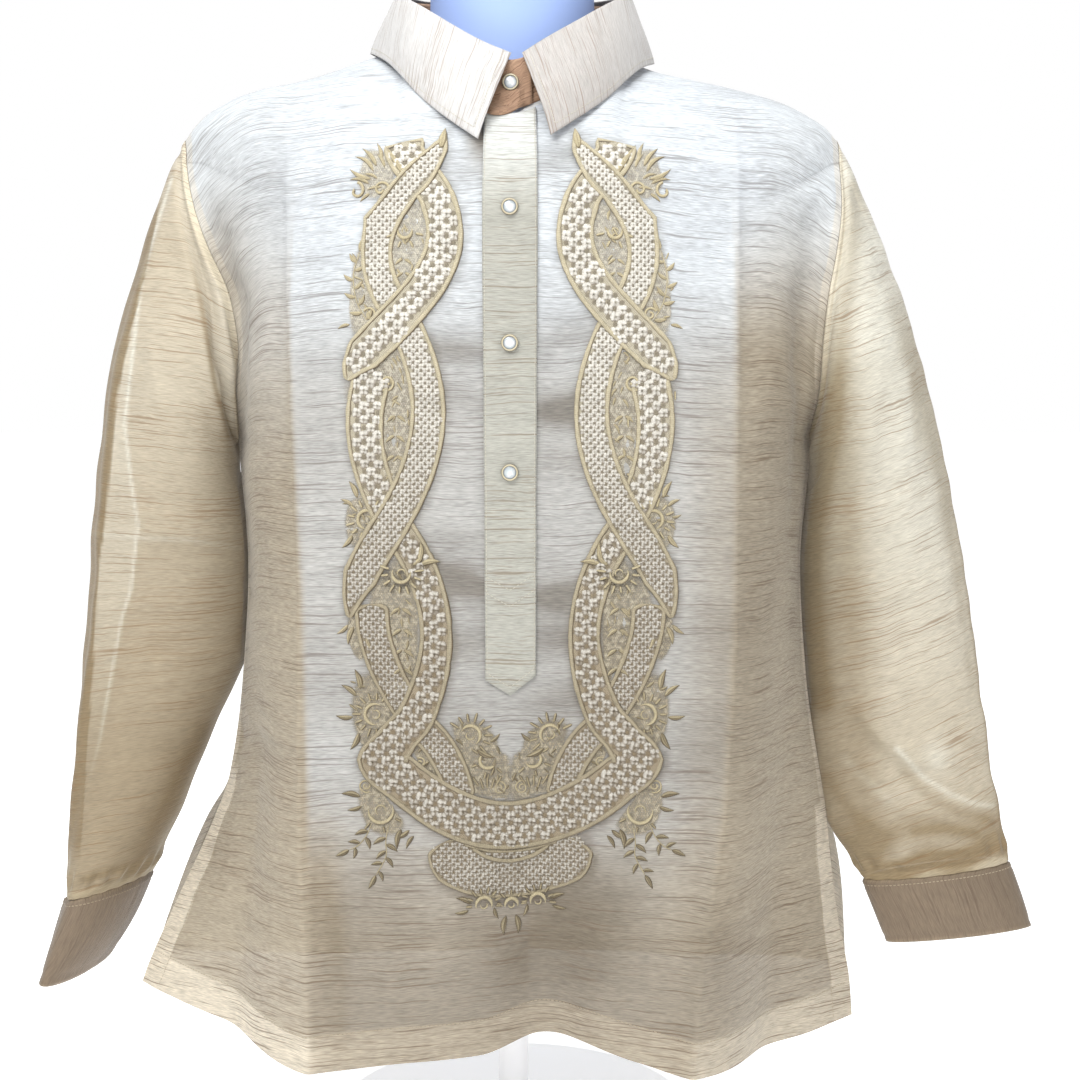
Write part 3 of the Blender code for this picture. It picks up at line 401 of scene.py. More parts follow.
def front_low(s, z):
    """The front panel below its turn to the shoulders, at height z."""
    b = FRONT_BODY
    left = (FRONT_EDGE.at("left_x", z), FRONT_EDGE.at("left_y", z))
    right = (FRONT_EDGE.at("right_x", z), FRONT_EDGE.at("right_y", z))
    c_left = (b.at("left_x", z), b.at("left_y", z))
    c_right = (b.at("right_x", z), b.at("right_y", z))
    mid = (b.at("mid_x", z), b.at("mid_y", z))
    side_out, front_out = b.at("side_out", z), b.at("front_out", z)

    def between(p, q, out):
        dx, dy = q[0] - p[0], q[1] - p[1]
        n = math.hypot(dx, dy)
        return (p[0] + q[0]) / 2 + out * dy / n, (p[1] + q[1]) / 2 - out * dx / n

    points = [
        left,
        between(left, c_left, side_out),
        c_left,
        between(c_left, mid, front_out),
        mid,
        between(mid, c_right, front_out),
        c_right,
        between(c_right, right, side_out),
        right,
    ]
    knots = (-1.0, -0.75, -0.5, -0.25, 0.0, 0.25, 0.5, 0.75, 1.0)
    x = across(knots, [p[0] for p in points], s)
    y = across(knots, [p[1] for p in points], s)
    out = folds_at("front", s, z)
    lean = 0.55 * min(max((abs(s) - 0.45) / 0.3, 0.0), 1.0) * (1 if s > 0 else -1)
    return x + out * lean, y - out * (1 - abs(lean) * 0.4)


def back_low(s, z):
    """The back panel below its turn to the shoulders, at height z."""
    left = (BACK_EDGE.at("left_x", z), BACK_EDGE.at("left_y", z))
    right = (BACK_EDGE.at("right_x", z), BACK_EDGE.at("right_y", z))
    a = s * math.pi / 2
    mx, hx = (left[0] + right[0]) / 2, (right[0] - left[0]) / 2
    ey = left[1] + (right[1] - left[1]) * (s + 1) / 2
    mid_y = max(BACK_BODY.at("depth", z), ey)
    x = mx + hx * math.copysign(abs(math.sin(a)) ** 0.92, a)
    y = ey + (mid_y - ey) * max(math.cos(a), 0.0) ** 0.86
    return x, y + folds_at("back", s, z) * math.cos(a)


def neck_point(deg, right):
    """A point of the neckline, by the angle from the front."""
    a = math.radians(deg)
    side_z = SHOULDER.at("right_z" if right else "left_z", NECK_S)
    x = NECK_HALF_WIDTH * math.sin(a) * (1 if right else -1)
    if deg <= 90:
        y = NECK_FRONT_Y * math.cos(a)
        z = NECK_FRONT_Z + (side_z - NECK_FRONT_Z) * math.sin(a) ** 1.5
    else:
        y = -NECK_BACK_Y * math.cos(a)
        z = side_z + (NECK_BACK_Z - side_z) * (-math.cos(a)) ** 1.2
    return x, y, z


def top_edge(s, back):
    """The shoulder line and neckline at a place on a panel's width."""
    side = side_of(s)
    if abs(s) <= NECK_S:
        turn = 90 * (abs(s) / NECK_S) ** 1.3
        return neck_point(180 - turn if back else turn, s >= 0)
    return SHOULDER.at(side + "_x", abs(s)), 0.001 if back else 0.0, SHOULDER.at(side + "_z", abs(s))


def panel_point(s, t, back=False):
    """A point of the front or back panel: s is -1 to 1 across it, t is 0 at the hem and 1 at the top."""
    low = back_low if back else front_low
    hem = (BACK_HEM if back else FRONT_HEM).at("z", s)
    x_top, y_top, z_top = top_edge(s, back)
    cap, bend = CAP.at("height", abs(s)), CAP.at("bend", abs(s))
    if back and abs(s) < 1:
        cap *= 0.85 if abs(s) > NECK_S else 0.55
        bend = max(bend, 1.6)
    z_turn = z_top - cap
    if t <= T_TURN:
        if t <= T_UNDERARM:
            z = hem + (UNDERARM - hem) * t / T_UNDERARM
        else:
            z = UNDERARM + (z_turn - UNDERARM) * (t - T_UNDERARM) / (T_TURN - T_UNDERARM)
        x, y = low(s, z)
    else:
        a = (t - T_TURN) / (1 - T_TURN) * math.pi / 2
        x_turn, y_turn = low(s, z_turn)
        z = z_turn + cap * math.sin(a)
        on = max(math.cos(a), 0.0) ** (2 / bend)
        x = x_top + (x_turn - x_top) * max(math.cos(a), 0.0) ** 1.2
        y = y_top + (y_turn - y_top) * on
    return x, y, z


def panel_rows(low_rows):
    """The places up a panel where its rows of points lie. Their ends meet the sleeve's own points."""
    rows = spaced(0.0, T_UNDERARM, low_rows)
    cap = CAP.at("height", 1)
    z_turn = TIP_Z - cap
    for deg in (30, 60, 90, 120):
        z = UNDERARM + (TIP_Z - UNDERARM) * (1 - math.cos(math.radians(deg))) / 2
        rows.append(T_UNDERARM + (T_TURN - T_UNDERARM) * (z - UNDERARM) / (z_turn - UNDERARM))
    z = UNDERARM + (TIP_Z - UNDERARM) * (1 - math.cos(math.radians(150))) / 2
    rows.append(T_TURN + (1 - T_TURN) * math.asin((z - z_turn) / cap) / (math.pi / 2))
    return rows + [0.80, 0.86, 0.91, 0.955, 1.0]


def inset(point_of, s, t, s_gap, t_gap):
    """The same point, kept this far from the panel's own edges, in metres."""
    step = 0.01
    if abs(s) == 1 and s_gap:
        p, q = np.array(point_of(s, t)), np.array(point_of(s - math.copysign(step, s), t))
        s -= math.copysign(step * s_gap / np.linalg.norm(p - q), s)
    if t == 1 and t_gap:
        p, q = np.array(point_of(s, t)), np.array(point_of(s, t - step))
        t -= step * min(t_gap / np.linalg.norm(p - q), 3.0)
    return point_of(s, t)


def armhole_nodes(side, back):
    """The panel's own points up the armhole, each with its angle round the armhole."""
    nodes = []
    for t in [t for t in panel_rows(1) if t >= T_UNDERARM]:
        p = panel_point(-1 if side == "left" else 1, t, back)
        share = min(max((p[2] - UNDERARM) / (TIP_Z - UNDERARM), 0.0), 1.0)
        nodes.append((math.degrees(math.acos(1 - 2 * share)), p))
    return nodes


ARMHOLES = {}


def armhole(side, deg):
    """The armhole from the underarm (0) up the front to the shoulder tip (180) and down the back."""
    back = deg > 180
    if (side, back) not in ARMHOLES:
        ARMHOLES[side, back] = armhole_nodes(side, back)
    turn = 360 - deg if back else deg
    for (a, p), (b, q) in zip(ARMHOLES[side, back], ARMHOLES[side, back][1:]):
        if turn <= b + 1e-6:
            share = (turn - a) / (b - a)
            return np.array(p) + (np.array(q) - np.array(p)) * share
    return np.array(ARMHOLES[side, back][-1][1])


def section(row, deg, rise=0.0):
    """A point of a sleeve or cuff section, by the same angle."""
    a = math.radians(deg)
    outer = np.array((row["outer_x"], 0.0, row["outer_z"]))
    inner = np.array((row["inner_x"], 0.0, row["inner_z"]))
    toward = math.copysign(1.0, inner[0] - outer[0])
    half = (outer - inner) / 2
    width = abs(half[0])
    narrowed = math.sqrt(max(width**2 - row["lean"] ** 2, 1e-9)) / width
    out = np.array((half[0] * narrowed, 0.0, half[2]))
    point = (outer + inner) / 2 - out * math.cos(a)
    depth = row["front"] if deg <= 180 else row["back"]
    point[0] -= toward * row["lean"] * math.sin(a)
    point[1] = row["mid_y"] - depth * math.sin(a)
    point[2] -= rise * math.sin(a)
    return point


def body_side(side, y, z):
    """How far out the body's side reaches at a depth and height below the underarm."""
    low = front_low if y < 0 else back_low
    sign = -1 if side == "left" else 1
    points = [low(sign * (1 - 0.04 * i), z) for i in range(14)]
    for (x0, y0), (x1, y1) in zip(points, points[1:]):
        if min(y0, y1) <= y <= max(y0, y1) and y0 != y1:
            return abs(x0 + (x1 - x0) * (y - y0) / (y1 - y0))
    return abs(points[0][0]) if abs(y) < 0.02 else 0.0


def sleeve_point(side, n, deg):
    table = SLEEVE[side]
    row = {c: table.at(c, n) for c in table.columns[1:]}
    point = section(row, deg)
    if row["armhole"] > 0:
        first = {c: table.at(c, 0) for c in table.columns[1:]}
        joined = armhole(side, deg) + (math.copysign(ARMHOLE_SEAM, row["outer_x"]), 0, 0)
        point += row["armhole"] * (joined - section(first, deg))
    crease = row["crease"] * math.exp(-(((deg - row["crease_deg"]) / 9.0) ** 2))
    if crease > 1e-5:
        middle = (section(row, 0) + section(row, 180)) / 2
        out = point - middle
        out[2] = 0.0
        point += out / np.linalg.norm(out) * crease
    if n > 0.9 and point[2] < UNDERARM:
        reach = body_side(side, point[1], point[2]) + BODY_CLEAR
        if abs(point[0]) < reach:
            point[0] = math.copysign(reach, point[0])
    if n == 9:
        behind = sleeve_point(side, 8.9, deg) - point
        point += behind / np.linalg.norm(behind) * CUFF_SEAM / 2
    return tuple(point)


def cuff_point(side, n, deg):
    table = CUFF[side]
    row = {c: table.at(c, n) for c in table.columns[1:]}
    return tuple(section(row, deg, row["rise"]))


def stand_point(deg, up):
    """The collar stand: deg runs from its under end, round the back, to the upper end in front."""
    side = (deg % 360) / 1.0
    right = side <= 180
    turn = side if right else 360 - side
    x, y, z = neck_point(turn, right)
    height = STAND_HEIGHT_FRONT + (STAND_HEIGHT_BACK - STAND_HEIGHT_FRONT) * (1 - math.cos(math.radians(turn))) / 2
    out = 1 + 0.035 * up
    # the end that is buttoned over lies outside the other one
    over = (deg + STAND_OVERLAP_DEG) / (360 + 2 * STAND_OVERLAP_DEG)
    spread = 0.0024 * over
    r = math.hypot(x, y)
    x, y = x * (out + spread / r), y * (out + spread / r)
    if y < 0:
        y += 0.0045 * up * math.cos(math.radians(turn)) ** 2
    return x, y, z + 0.0036 + height * up


def leaf_point(deg, down):
    """The collar leaf: deg is 0 at the left front, 180 at the back, 360 at the right front."""
    name = "right" if deg > 180 else "left"
    turn = 360 - deg if deg > 180 else deg
    fold = np.array([FOLD_LINE.at(c, turn) for c in (name + "_x", "y", "z")])
    edge = np.array([COLLAR_EDGE.at(f"{name}_{c}", turn) for c in "xyz"])
    point = fold + (edge - fold) * down
    out = np.array((point[0], point[1], 0.0))
    out /= max(np.linalg.norm(out), 1e-6)
    puff = 0.0055 - 0.0040 * math.sin(math.radians(min(turn, 180))) ** 2
    point += out * puff * math.sin(math.pi * down) ** 0.8
    return tuple(point)



# ================================================================ fine surfaces
ARMHOLE_SEAM = 0.0004   # the visible sleeve head meets the panels closely
BODY_CLEAR = 0.0030


@lru_cache(maxsize=None)
def side_curve(side, front, step):
    low = front_low if front else back_low
    sign = -1 if side == "left" else 1
    return tuple(low(sign * (1 - 0.04 * i), step * 0.004) for i in range(12))


def body_side(side, y, z):
    """How far out the body's side reaches at a depth and height below the underarm."""
    place = z / 0.004
    low, share = math.floor(place), place - math.floor(place)
    reach = []
    for step in (low, low + 1):
        points = side_curve(side, y < 0, step)
        found = abs(points[0][0]) if abs(y) < 0.02 else 0.0
        for (x0, y0), (x1, y1) in zip(points, points[1:]):
            if min(y0, y1) <= y <= max(y0, y1) and y0 != y1:
                found = abs(x0 + (x1 - x0) * (y - y0) / (y1 - y0))
                break
        reach.append(found)
    return reach[0] + (reach[1] - reach[0]) * share


def armhole_nodes(side, back):
    """The panel's own points up the armhole, each with its angle round the armhole."""
    nodes = []
    for i in range(49):
        t = T_UNDERARM + (1 - T_UNDERARM) * (i / 48)
        p = panel_point(-1 if side == "left" else 1, t, back)
        share = min(max((p[2] - UNDERARM) / (TIP_Z - UNDERARM), 0.0), 1.0)
        nodes.append((math.degrees(math.acos(1 - 2 * share)), p))
    return nodes


class Surface:
    """A surface through an even lattice of points, read anywhere between them on a smooth curve."""

    def __init__(self, point_of, u_range, v_range, nu, nv, closed=False):
        self.u0, self.du, self.nu, self.closed = u_range[0], (u_range[1] - u_range[0]) / nu, nu, closed
        self.v0, self.dv, self.nv = v_range[0], (v_range[1] - v_range[0]) / nv, nv
        us = [self.u0 + self.du * i for i in range(nu if closed else nu + 1)]
        vs = [self.v0 + self.dv * j for j in range(nv + 1)]
        p = np.array([[point_of(u, v) for u in us] for v in vs], float)
        if closed:
            p = np.concatenate([p[:, -1:], p, p[:, :2]], axis=1)
        else:
            p = np.concatenate([2 * p[:, :1] - p[:, 1:2], p, 2 * p[:, -1:] - p[:, -2:-1]], axis=1)
        self.p = np.concatenate([2 * p[:1] - p[1:2], p, 2 * p[-1:] - p[-2:-1]], axis=0)

    @staticmethod
    def weights(f):
        f = f[..., None]
        return np.concatenate(
            [-0.5 * f**3 + f**2 - 0.5 * f, 1.5 * f**3 - 2.5 * f**2 + 1, -1.5 * f**3 + 2 * f**2 + 0.5 * f, 0.5 * f**3 - 0.5 * f**2],
            axis=-1,
        )

    def at(self, u, v):
        u, v = np.broadcast_arrays(np.asarray(u, float), np.asarray(v, float))
        a = (u - self.u0) / self.du
        a = a % self.nu if self.closed else np.clip(a, 0, self.nu - 1e-9)
        b = np.clip((v - self.v0) / self.dv, 0, self.nv - 1e-9)
        i, j = np.floor(a).astype(int), np.floor(b).astype(int)
        wi, wj = self.weights(a - i), self.weights(b - j)
        out = np.zeros(u.shape + (3,))
        for m in range(4):
            for n in range(4):
                out += (wj[..., m] * wi[..., n])[..., None] * self.p[j + m, i + n]
        return out


def unit(v):
    return v / np.maximum(np.linalg.norm(v, axis=-1, keepdims=True), 1e-12)


def normals_of(p, closed=False):
    """Normals of a lattice of points: rows run up, columns run along, and the normal faces out of the front."""
    if closed:
        du = np.roll(p, -1, axis=1) - np.roll(p, 1, axis=1)
    else:
        du = np.gradient(p, axis=1)
    return unit(np.cross(du, np.gradient(p, axis=0)))


def bell(x, centre, half):
    return np.exp(-(((x - centre) / half) ** 2))


def smooth(x, low, high):
    t = np.clip((x - low) / (high - low), 0.0, 1.0)
    return t * t * (3 - 2 * t)


def crease_field(x, z, rows):
    """Sum of soft troughs and ridges, each along a few points: points, half width, depth out, and whether it fades at its ends."""
    out = np.zeros_like(x)
    for points, half, depth in rows:
        pts = np.array(points, float)
        seg = np.linalg.norm(np.diff(pts, axis=0), axis=1)
        total, start = seg.sum(), 0.0
        best = np.full(x.shape, 1e9)
        along = np.zeros_like(x)
        for (ax, az), (bx, bz), length in zip(pts, pts[1:], seg):
            dx, dz = (bx - ax) / length, (bz - az) / length
            t = np.clip((x - ax) * dx + (z - az) * dz, 0, length)
            d = np.hypot(x - ax - t * dx, z - az - t * dz)
            near = d < best
            best = np.where(near, d, best)
            along = np.where(near, (start + t) / total, along)
            start += length
        out += depth * np.exp(-((best / half) ** 2)) * np.sin(np.pi * np.clip(along, 0.02, 0.98)) ** 0.6
    return out


def waves(x, z, seed, count, scale_x, scale_z, size):
    """Quiet unevenness: a sum of slow waves with fixed phases."""
    rng = np.random.default_rng(seed)
    out = np.zeros_like(x)
    for _ in range(count):
        fx, fz = rng.normal(0, scale_x), rng.normal(0, scale_z)
        out += np.sin(2 * np.pi * (fx * x + fz * z) + rng.uniform(0, 2 * np.pi))
    return out * size / math.sqrt(count)


# ================================================================ mesh tools
COLLECTION = bpy.context.scene.collection


def make(name, points, faces, mat, uv=None, values=None, body="root"):
    """A mesh object from arrays, with a UV per vertex and any named values per vertex."""
    points = np.asarray(points, np.float32).reshape(-1, 3)
    faces = np.asarray(faces, np.int32)
    mesh = bpy.data.meshes.new(name)
    mesh.vertices.add(len(points))
    mesh.vertices.foreach_set("co", points.ravel())
    side = faces.shape[1]
    mesh.loops.add(faces.size)
    mesh.loops.foreach_set("vertex_index", faces.ravel())
    mesh.polygons.add(len(faces))
    mesh.polygons.foreach_set("loop_start", np.arange(0, faces.size, side, dtype=np.int32))
    mesh.polygons.foreach_set("loop_total", np.full(len(faces), side, np.int32))
    mesh.update(calc_edges=True)
    mesh.validate()
    if uv is not None:
        layer = mesh.uv_layers.new(name="cloth")
        index = np.zeros(len(mesh.loops), np.int32)
        mesh.loops.foreach_get("vertex_index", index)
        layer.data.foreach_set("uv", np.asarray(uv, np.float32).reshape(-1, 2)[index].ravel())
    for key, value in (values or {}).items():
        attribute = mesh.attributes.new(key, "FLOAT", "POINT")
        attribute.data.foreach_set("value", np.asarray(value, np.float32).ravel())
    mesh.shade_smooth()
    obj = bpy.data.objects.new(name, mesh)
    mesh.materials.append(mat)
    COLLECTION.objects.link(obj)
    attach(obj, body)
    return obj


def lattice_faces(rows, cols, closed=False, flip=False):
    i = np.arange(cols if closed else cols - 1)
    j = np.arange(rows - 1)
    ii, jj = np.meshgrid(i, j)
    a = jj * cols + ii
    b = jj * cols + (ii + 1) % cols
    quads = np.stack([a, b, b + cols, a + cols], axis=-1).reshape(-1, 4)
    return quads[:, ::-1] if flip else quads


def capped_faces(rows, cols):
    """A closed lattice's faces, with flat quads over its first and last rings."""
    i = np.arange(cols // 2 - 1)
    cap = np.stack([i, i + 1, cols - 2 - i, cols - 1 - i], axis=-1)
    return np.concatenate([lattice_faces(rows, cols, closed=True), cap[:, ::-1], cap + (rows - 1) * cols])


def arcs(p, axis):
    """Length so far along one axis of a lattice of points."""
    step = np.linalg.norm(np.diff(p, axis=axis), axis=-1)
    zero = np.zeros_like(np.take(step, [0], axis=axis))
    return np.concatenate([zero, np.cumsum(step, axis=axis)], axis=axis)


def area_of(p, closed=False):
    q = np.concatenate([p, p[:, :1]], axis=1) if closed else p
    a = q[1:, :-1] - q[:-1, :-1]
    b = q[:-1, 1:] - q[:-1, :-1]
    return float(np.linalg.norm(np.cross(a, b), axis=-1).sum())


class Heap:
    """Many small closed shapes gathered into one mesh."""

    def __init__(self):
        self.points, self.faces, self.uvs, self.shade, self.count = [], [], [], [], 0

    def add(self, points, faces, uv=None, shade=0.0):
        points = np.asarray(points, float).reshape(-1, 3)
        self.points.append(points)
        self.faces.append(np.asarray(faces) + self.count)
        self.uvs.append(np.zeros((len(points), 2)) if uv is None else np.asarray(uv).reshape(-1, 2))
        self.shade.append(np.broadcast_to(np.asarray(shade, float).reshape(-1), (len(points),)))
        self.count += len(points)

    def build(self, name, mat, slot=None, lower=0.0):
        """lower: how much darker the work is toward the foot of the shirt."""
        points = np.concatenate(self.points)
        shade = np.concatenate(self.shade)
        if lower:
            shade = np.clip(shade + lower * smooth(-points[:, 2], -0.68, -0.36), 0, 1)
        obj = make(name, points, np.concatenate(self.faces), mat, np.concatenate(self.uvs), {"shade": shade})
        return obj


def tube(path, normal, half_wide, half_high, around=8, sink=0.0, closed=False):
    """Points and faces of a flattened tube along a path that lies on a surface with these normals."""
    path, normal = np.asarray(path, float), np.asarray(normal, float)
    if closed:
        tangent = unit(np.roll(path, -1, axis=0) - np.roll(path, 1, axis=0))
    else:
        tangent = unit(np.gradient(path, axis=0))
    across = unit(np.cross(tangent, normal))
    up = unit(np.cross(across, tangent))
    half_wide = np.broadcast_to(np.asarray(half_wide, float), (len(path),))[:, None, None]
    half_high = np.broadcast_to(np.asarray(half_high, float), (len(path),))[:, None, None]
    a = 2 * np.pi * np.arange(around) / around
    ring = across[:, None] * np.cos(a)[None, :, None] * half_wide + up[:, None] * (np.sin(a)[None, :, None] * half_high + sink)
    points = path[:, None] + ring
    length = np.concatenate([[0], np.cumsum(np.linalg.norm(np.diff(path, axis=0), axis=1))])
    uv = np.stack(np.broadcast_arrays(length[:, None], (a / (2 * np.pi))[None]), axis=-1)
    n = len(path)
    if closed:
        j, i = np.meshgrid(np.arange(n), np.arange(around), indexing="ij")
        faces = np.stack([j * around + i, j * around + (i + 1) % around, (j + 1) % n * around + (i + 1) % around, (j + 1) % n * around + i], axis=-1).reshape(-1, 4)
        return points, faces[:, ::-1], uv
    faces = lattice_faces(n, around, closed=True, flip=True)
    return points, faces, uv

# ================================================================ materials
def srgb(r, g, b):
    def one(c):
        c /= 255
        return c / 12.92 if c <= 0.04045 else ((c + 0.055) / 1.055) ** 2.4

    return one(r), one(g), one(b)


class Nodes:
    """Short hand for building a material's nodes."""

    def __init__(self, name):
        self.mat = bpy.data.materials.new(name)
        self.mat.use_nodes = True
        self.tree = self.mat.node_tree
        self.tree.nodes.clear()

    def put(self, socket, value):
        if isinstance(value, bpy.types.NodeSocket):
            self.tree.links.new(value, socket)
        elif isinstance(value, (tuple, list)) and socket.type == "RGBA":
            socket.default_value = (*value[:3], 1.0)
        else:
            socket.default_value = value

    def node(self, kind, ins=None, **props):
        made = self.tree.nodes.new(kind)
        for key, value in props.items():
            setattr(made, key, value)
        for key, value in (ins or {}).items():
            self.put(made.inputs[key], value)
        return made

    def math(self, op, a, b=0.0, c=0.0, clamp=False):
        made = self.tree.nodes.new("ShaderNodeMath")
        made.operation = op
        made.use_clamp = clamp
        for i, value in enumerate((a, b, c)):
            if i < len(made.inputs):
                self.put(made.inputs[i], value)
        return made.outputs[0]

    def add(self, a, b):
        return self.math("ADD", a, b)

    def sub(self, a, b):
        return self.math("SUBTRACT", a, b)

    def mul(self, a, b, clamp=False):
        return self.math("MULTIPLY", a, b, clamp=clamp)

    def ramp(self, value, low, high, clamp=True):
        made = self.node("ShaderNodeMapRange", {"Value": value, "From Min": low, "From Max": high})
        made.clamp = clamp
        return made.outputs["Result"]

    def soft(self, value, low, high):
        made = self.node("ShaderNodeMapRange", {"Value": value, "From Min": low, "From Max": high}, interpolation_type="SMOOTHSTEP")
        return made.outputs["Result"]

    def mix(self, share, a, b, kind="MIX"):
        made = self.tree.nodes.new("ShaderNodeMix")
        made.data_type = "RGBA"
        made.blend_type = kind
        self.put(made.inputs["Factor"], share)
        self.put(made.inputs[6], a)
        self.put(made.inputs[7], b)
        return made.outputs[2]

    def vec(self, x, y, z=0.0):
        return self.node("ShaderNodeCombineXYZ", {"X": x, "Y": y, "Z": z}).outputs[0]

    def noise(self, vector, scale=1.0, detail=0.0, rough=0.5, seed=0.0):
        if seed:
            vector = self.node("ShaderNodeVectorMath", {0: vector, 1: (seed * 1.37, seed * 2.11, seed)}, operation="ADD").outputs[0]
        made = self.node("ShaderNodeTexNoise", {"Vector": vector, "Scale": scale, "Detail": detail, "Roughness": rough})
        return made.outputs[0]

    def value(self, name):
        return self.node("ShaderNodeAttribute", attribute_name=name).outputs["Fac"]

    def uv(self):
        place = self.node("ShaderNodeUVMap", uv_map="cloth").outputs[0]
        split = self.node("ShaderNodeSeparateXYZ", {0: place})
        return split.outputs[0], split.outputs[1]

    def position(self):
        place = self.node("ShaderNodeTexCoord").outputs["Object"]
        split = self.node("ShaderNodeSeparateXYZ", {0: place})
        return split.outputs[0], split.outputs[1], split.outputs[2]

    def bump(self, height, strength, distance):
        return self.node("ShaderNodeBump", {"Height": height, "Strength": strength, "Distance": distance}).outputs[0]

    def finish(self, shader):
        out = self.node("ShaderNodeOutputMaterial")
        self.tree.links.new(shader, out.inputs["Surface"])
        return self.mat


def slub_threads(n, u, v, seed, streak=1.0):
    """The cloth's threads: fine ribs, crinkle, and dark slubs, short and long. Returns (fine, crinkle, slub)."""
    wander = n.sub(n.noise(n.vec(n.mul(u, 11.0), n.mul(v, 7.0)), detail=2.0, seed=seed + 1), 0.5)
    ripple = n.sub(n.noise(n.vec(n.mul(u, 46.0), n.mul(v, 70.0)), detail=1.0, seed=seed + 7), 0.5)
    v = n.add(v, n.add(n.mul(wander, 0.0100), n.mul(ripple, 0.0016)))
    fine = n.noise(n.vec(n.mul(u, 130.0), n.mul(v, 1500.0)), detail=1.0, seed=seed + 2)
    crinkle = n.noise(n.vec(n.mul(u, 50.0), n.mul(v, 600.0)), detail=3.0, rough=0.7, seed=seed + 3)
    patch = n.sub(n.noise(n.vec(n.mul(u, 8.0), n.mul(v, 26.0)), detail=1.0, seed=seed + 4), 0.5)
    short = n.noise(n.vec(n.mul(u, 46.0), n.mul(v, 1150.0)), detail=1.0, seed=seed + 5)
    short = n.soft(n.add(short, n.mul(patch, 0.40)), 0.58, 0.72)
    long = n.noise(n.vec(n.mul(u, 15.0), n.mul(v, 820.0)), seed=seed + 6)
    long = n.soft(n.add(long, n.mul(patch, 0.22)), 0.63, 0.75)
    slub = n.mul(n.math("MAXIMUM", n.mul(short, 0.60), n.mul(long, 1.0)), streak, clamp=True)
    return fine, crinkle, slub


def cloth_shader(n, colour, normal, sheer, glow, rough=0.62, sheen=0.25):
    base = n.node(
        "ShaderNodeBsdfPrincipled",
        {"Base Color": colour, "Roughness": rough, "Normal": normal, "Sheen Weight": sheen, "Sheen Roughness": 0.4, "Specular IOR Level": 0.25},
    ).outputs[0]
    through = n.node("ShaderNodeBsdfTranslucent", {"Color": colour, "Normal": normal}).outputs[0]
    shader = n.node("ShaderNodeMixShader", {0: glow, 1: base, 2: through}).outputs[0]
    if isinstance(sheer, bpy.types.NodeSocket) or sheer > 0:
        clear = n.node("ShaderNodeBsdfTransparent", {"Color": (1.0, 0.985, 0.96)}).outputs[0]
        shader = n.node("ShaderNodeMixShader", {0: sheer, 1: shader, 2: clear}).outputs[0]
    return shader


def cloth_material(name, near, far, dark, seed, streak=1.0, sheer=0.12, glow=0.18, band=None, rib=1.0, sheen=0.25, painted_shade=(0.45, 0.42, 0.38), dark_near=None, deep=0.60):
    """Sheer slubbed cloth: its colour runs from far to near with the value "near", a painted paleness where the form
    lies close behind and painted highlights, and a second value darkens it toward the shade tint, a painted shade;
    bands of double cloth are denser.
    """
    n = Nodes(name)
    u, v = n.uv()
    fine, crinkle, slub = slub_threads(n, u, v, seed, streak)
    double = n.value("band")
    closeness = n.value("near")
    tone = n.mix(closeness, far, near)
    if band is not None:
        tone = n.mix(n.mul(double, 0.85), tone, band)
    # painted shade: the cloth is darkened towards the shade tint by its painted shade value
    tone = n.mix(n.value("painted_shade"), tone, n.mix(1.0, tone, painted_shade, "MULTIPLY"))
    wide = n.noise(n.vec(n.mul(u, 13.0), n.mul(v, 120.0)), detail=1.0, seed=seed + 8)
    # the ribs and crinkle lighten and darken the colour along with the bump: partly the threads' own unevenness, partly
    # a painted shading of their relief
    lines = n.add(n.mul(n.sub(fine, 0.5), 0.85 * rib), n.mul(n.sub(crinkle, 0.5), 0.52 * rib))
    lines = n.add(lines, n.mul(n.sub(wide, 0.5), 0.26 * rib))
    light = n.add(1.0, lines)
    tone = n.mix(1.0, tone, n.vec(light, light, light), "MULTIPLY")
    thread = dark if dark_near is None else n.mix(closeness, dark, dark_near)
    tone = n.mix(n.mul(slub, deep), tone, thread)
    height = n.add(n.mul(fine, 0.4), n.mul(crinkle, 1.0))
    normal = n.bump(height, 0.65, 0.0011)
    clear = n.mul(n.sub(1.0, n.math("MAXIMUM", double, n.mul(slub, 0.7))), sheer, clamp=True)
    return n.finish(cloth_shader(n, tone, normal, clear, glow, sheen=sheen))



# ================================================================ cloth pieces
HEM_DEEP = 0.0255       # width of the sewn hem
FACING = 0.021          # width of the facings down the vents


def form_gap(p):
    """How far points lie outside the dress form."""
    zs = np.array([row[0] for row in FORM.rows])
    x, y, z = p[..., 0], p[..., 1], p[..., 2]
    half = np.interp(z, zs, [row[1] for row in FORM.rows])
    front = -np.interp(z, zs, [row[2] for row in FORM.rows])
    back = np.interp(z, zs, [row[3] for row in FORM.rows])
    deep = np.where(y < 0, front, back)
    share = np.sqrt((x / half) ** 2 + (y / deep) ** 2)
    gap = np.maximum(share - 1, 0) * np.minimum(half, deep)
    below = np.maximum(0.245 - z, 0) * 1.2
    return np.hypot(gap, below)


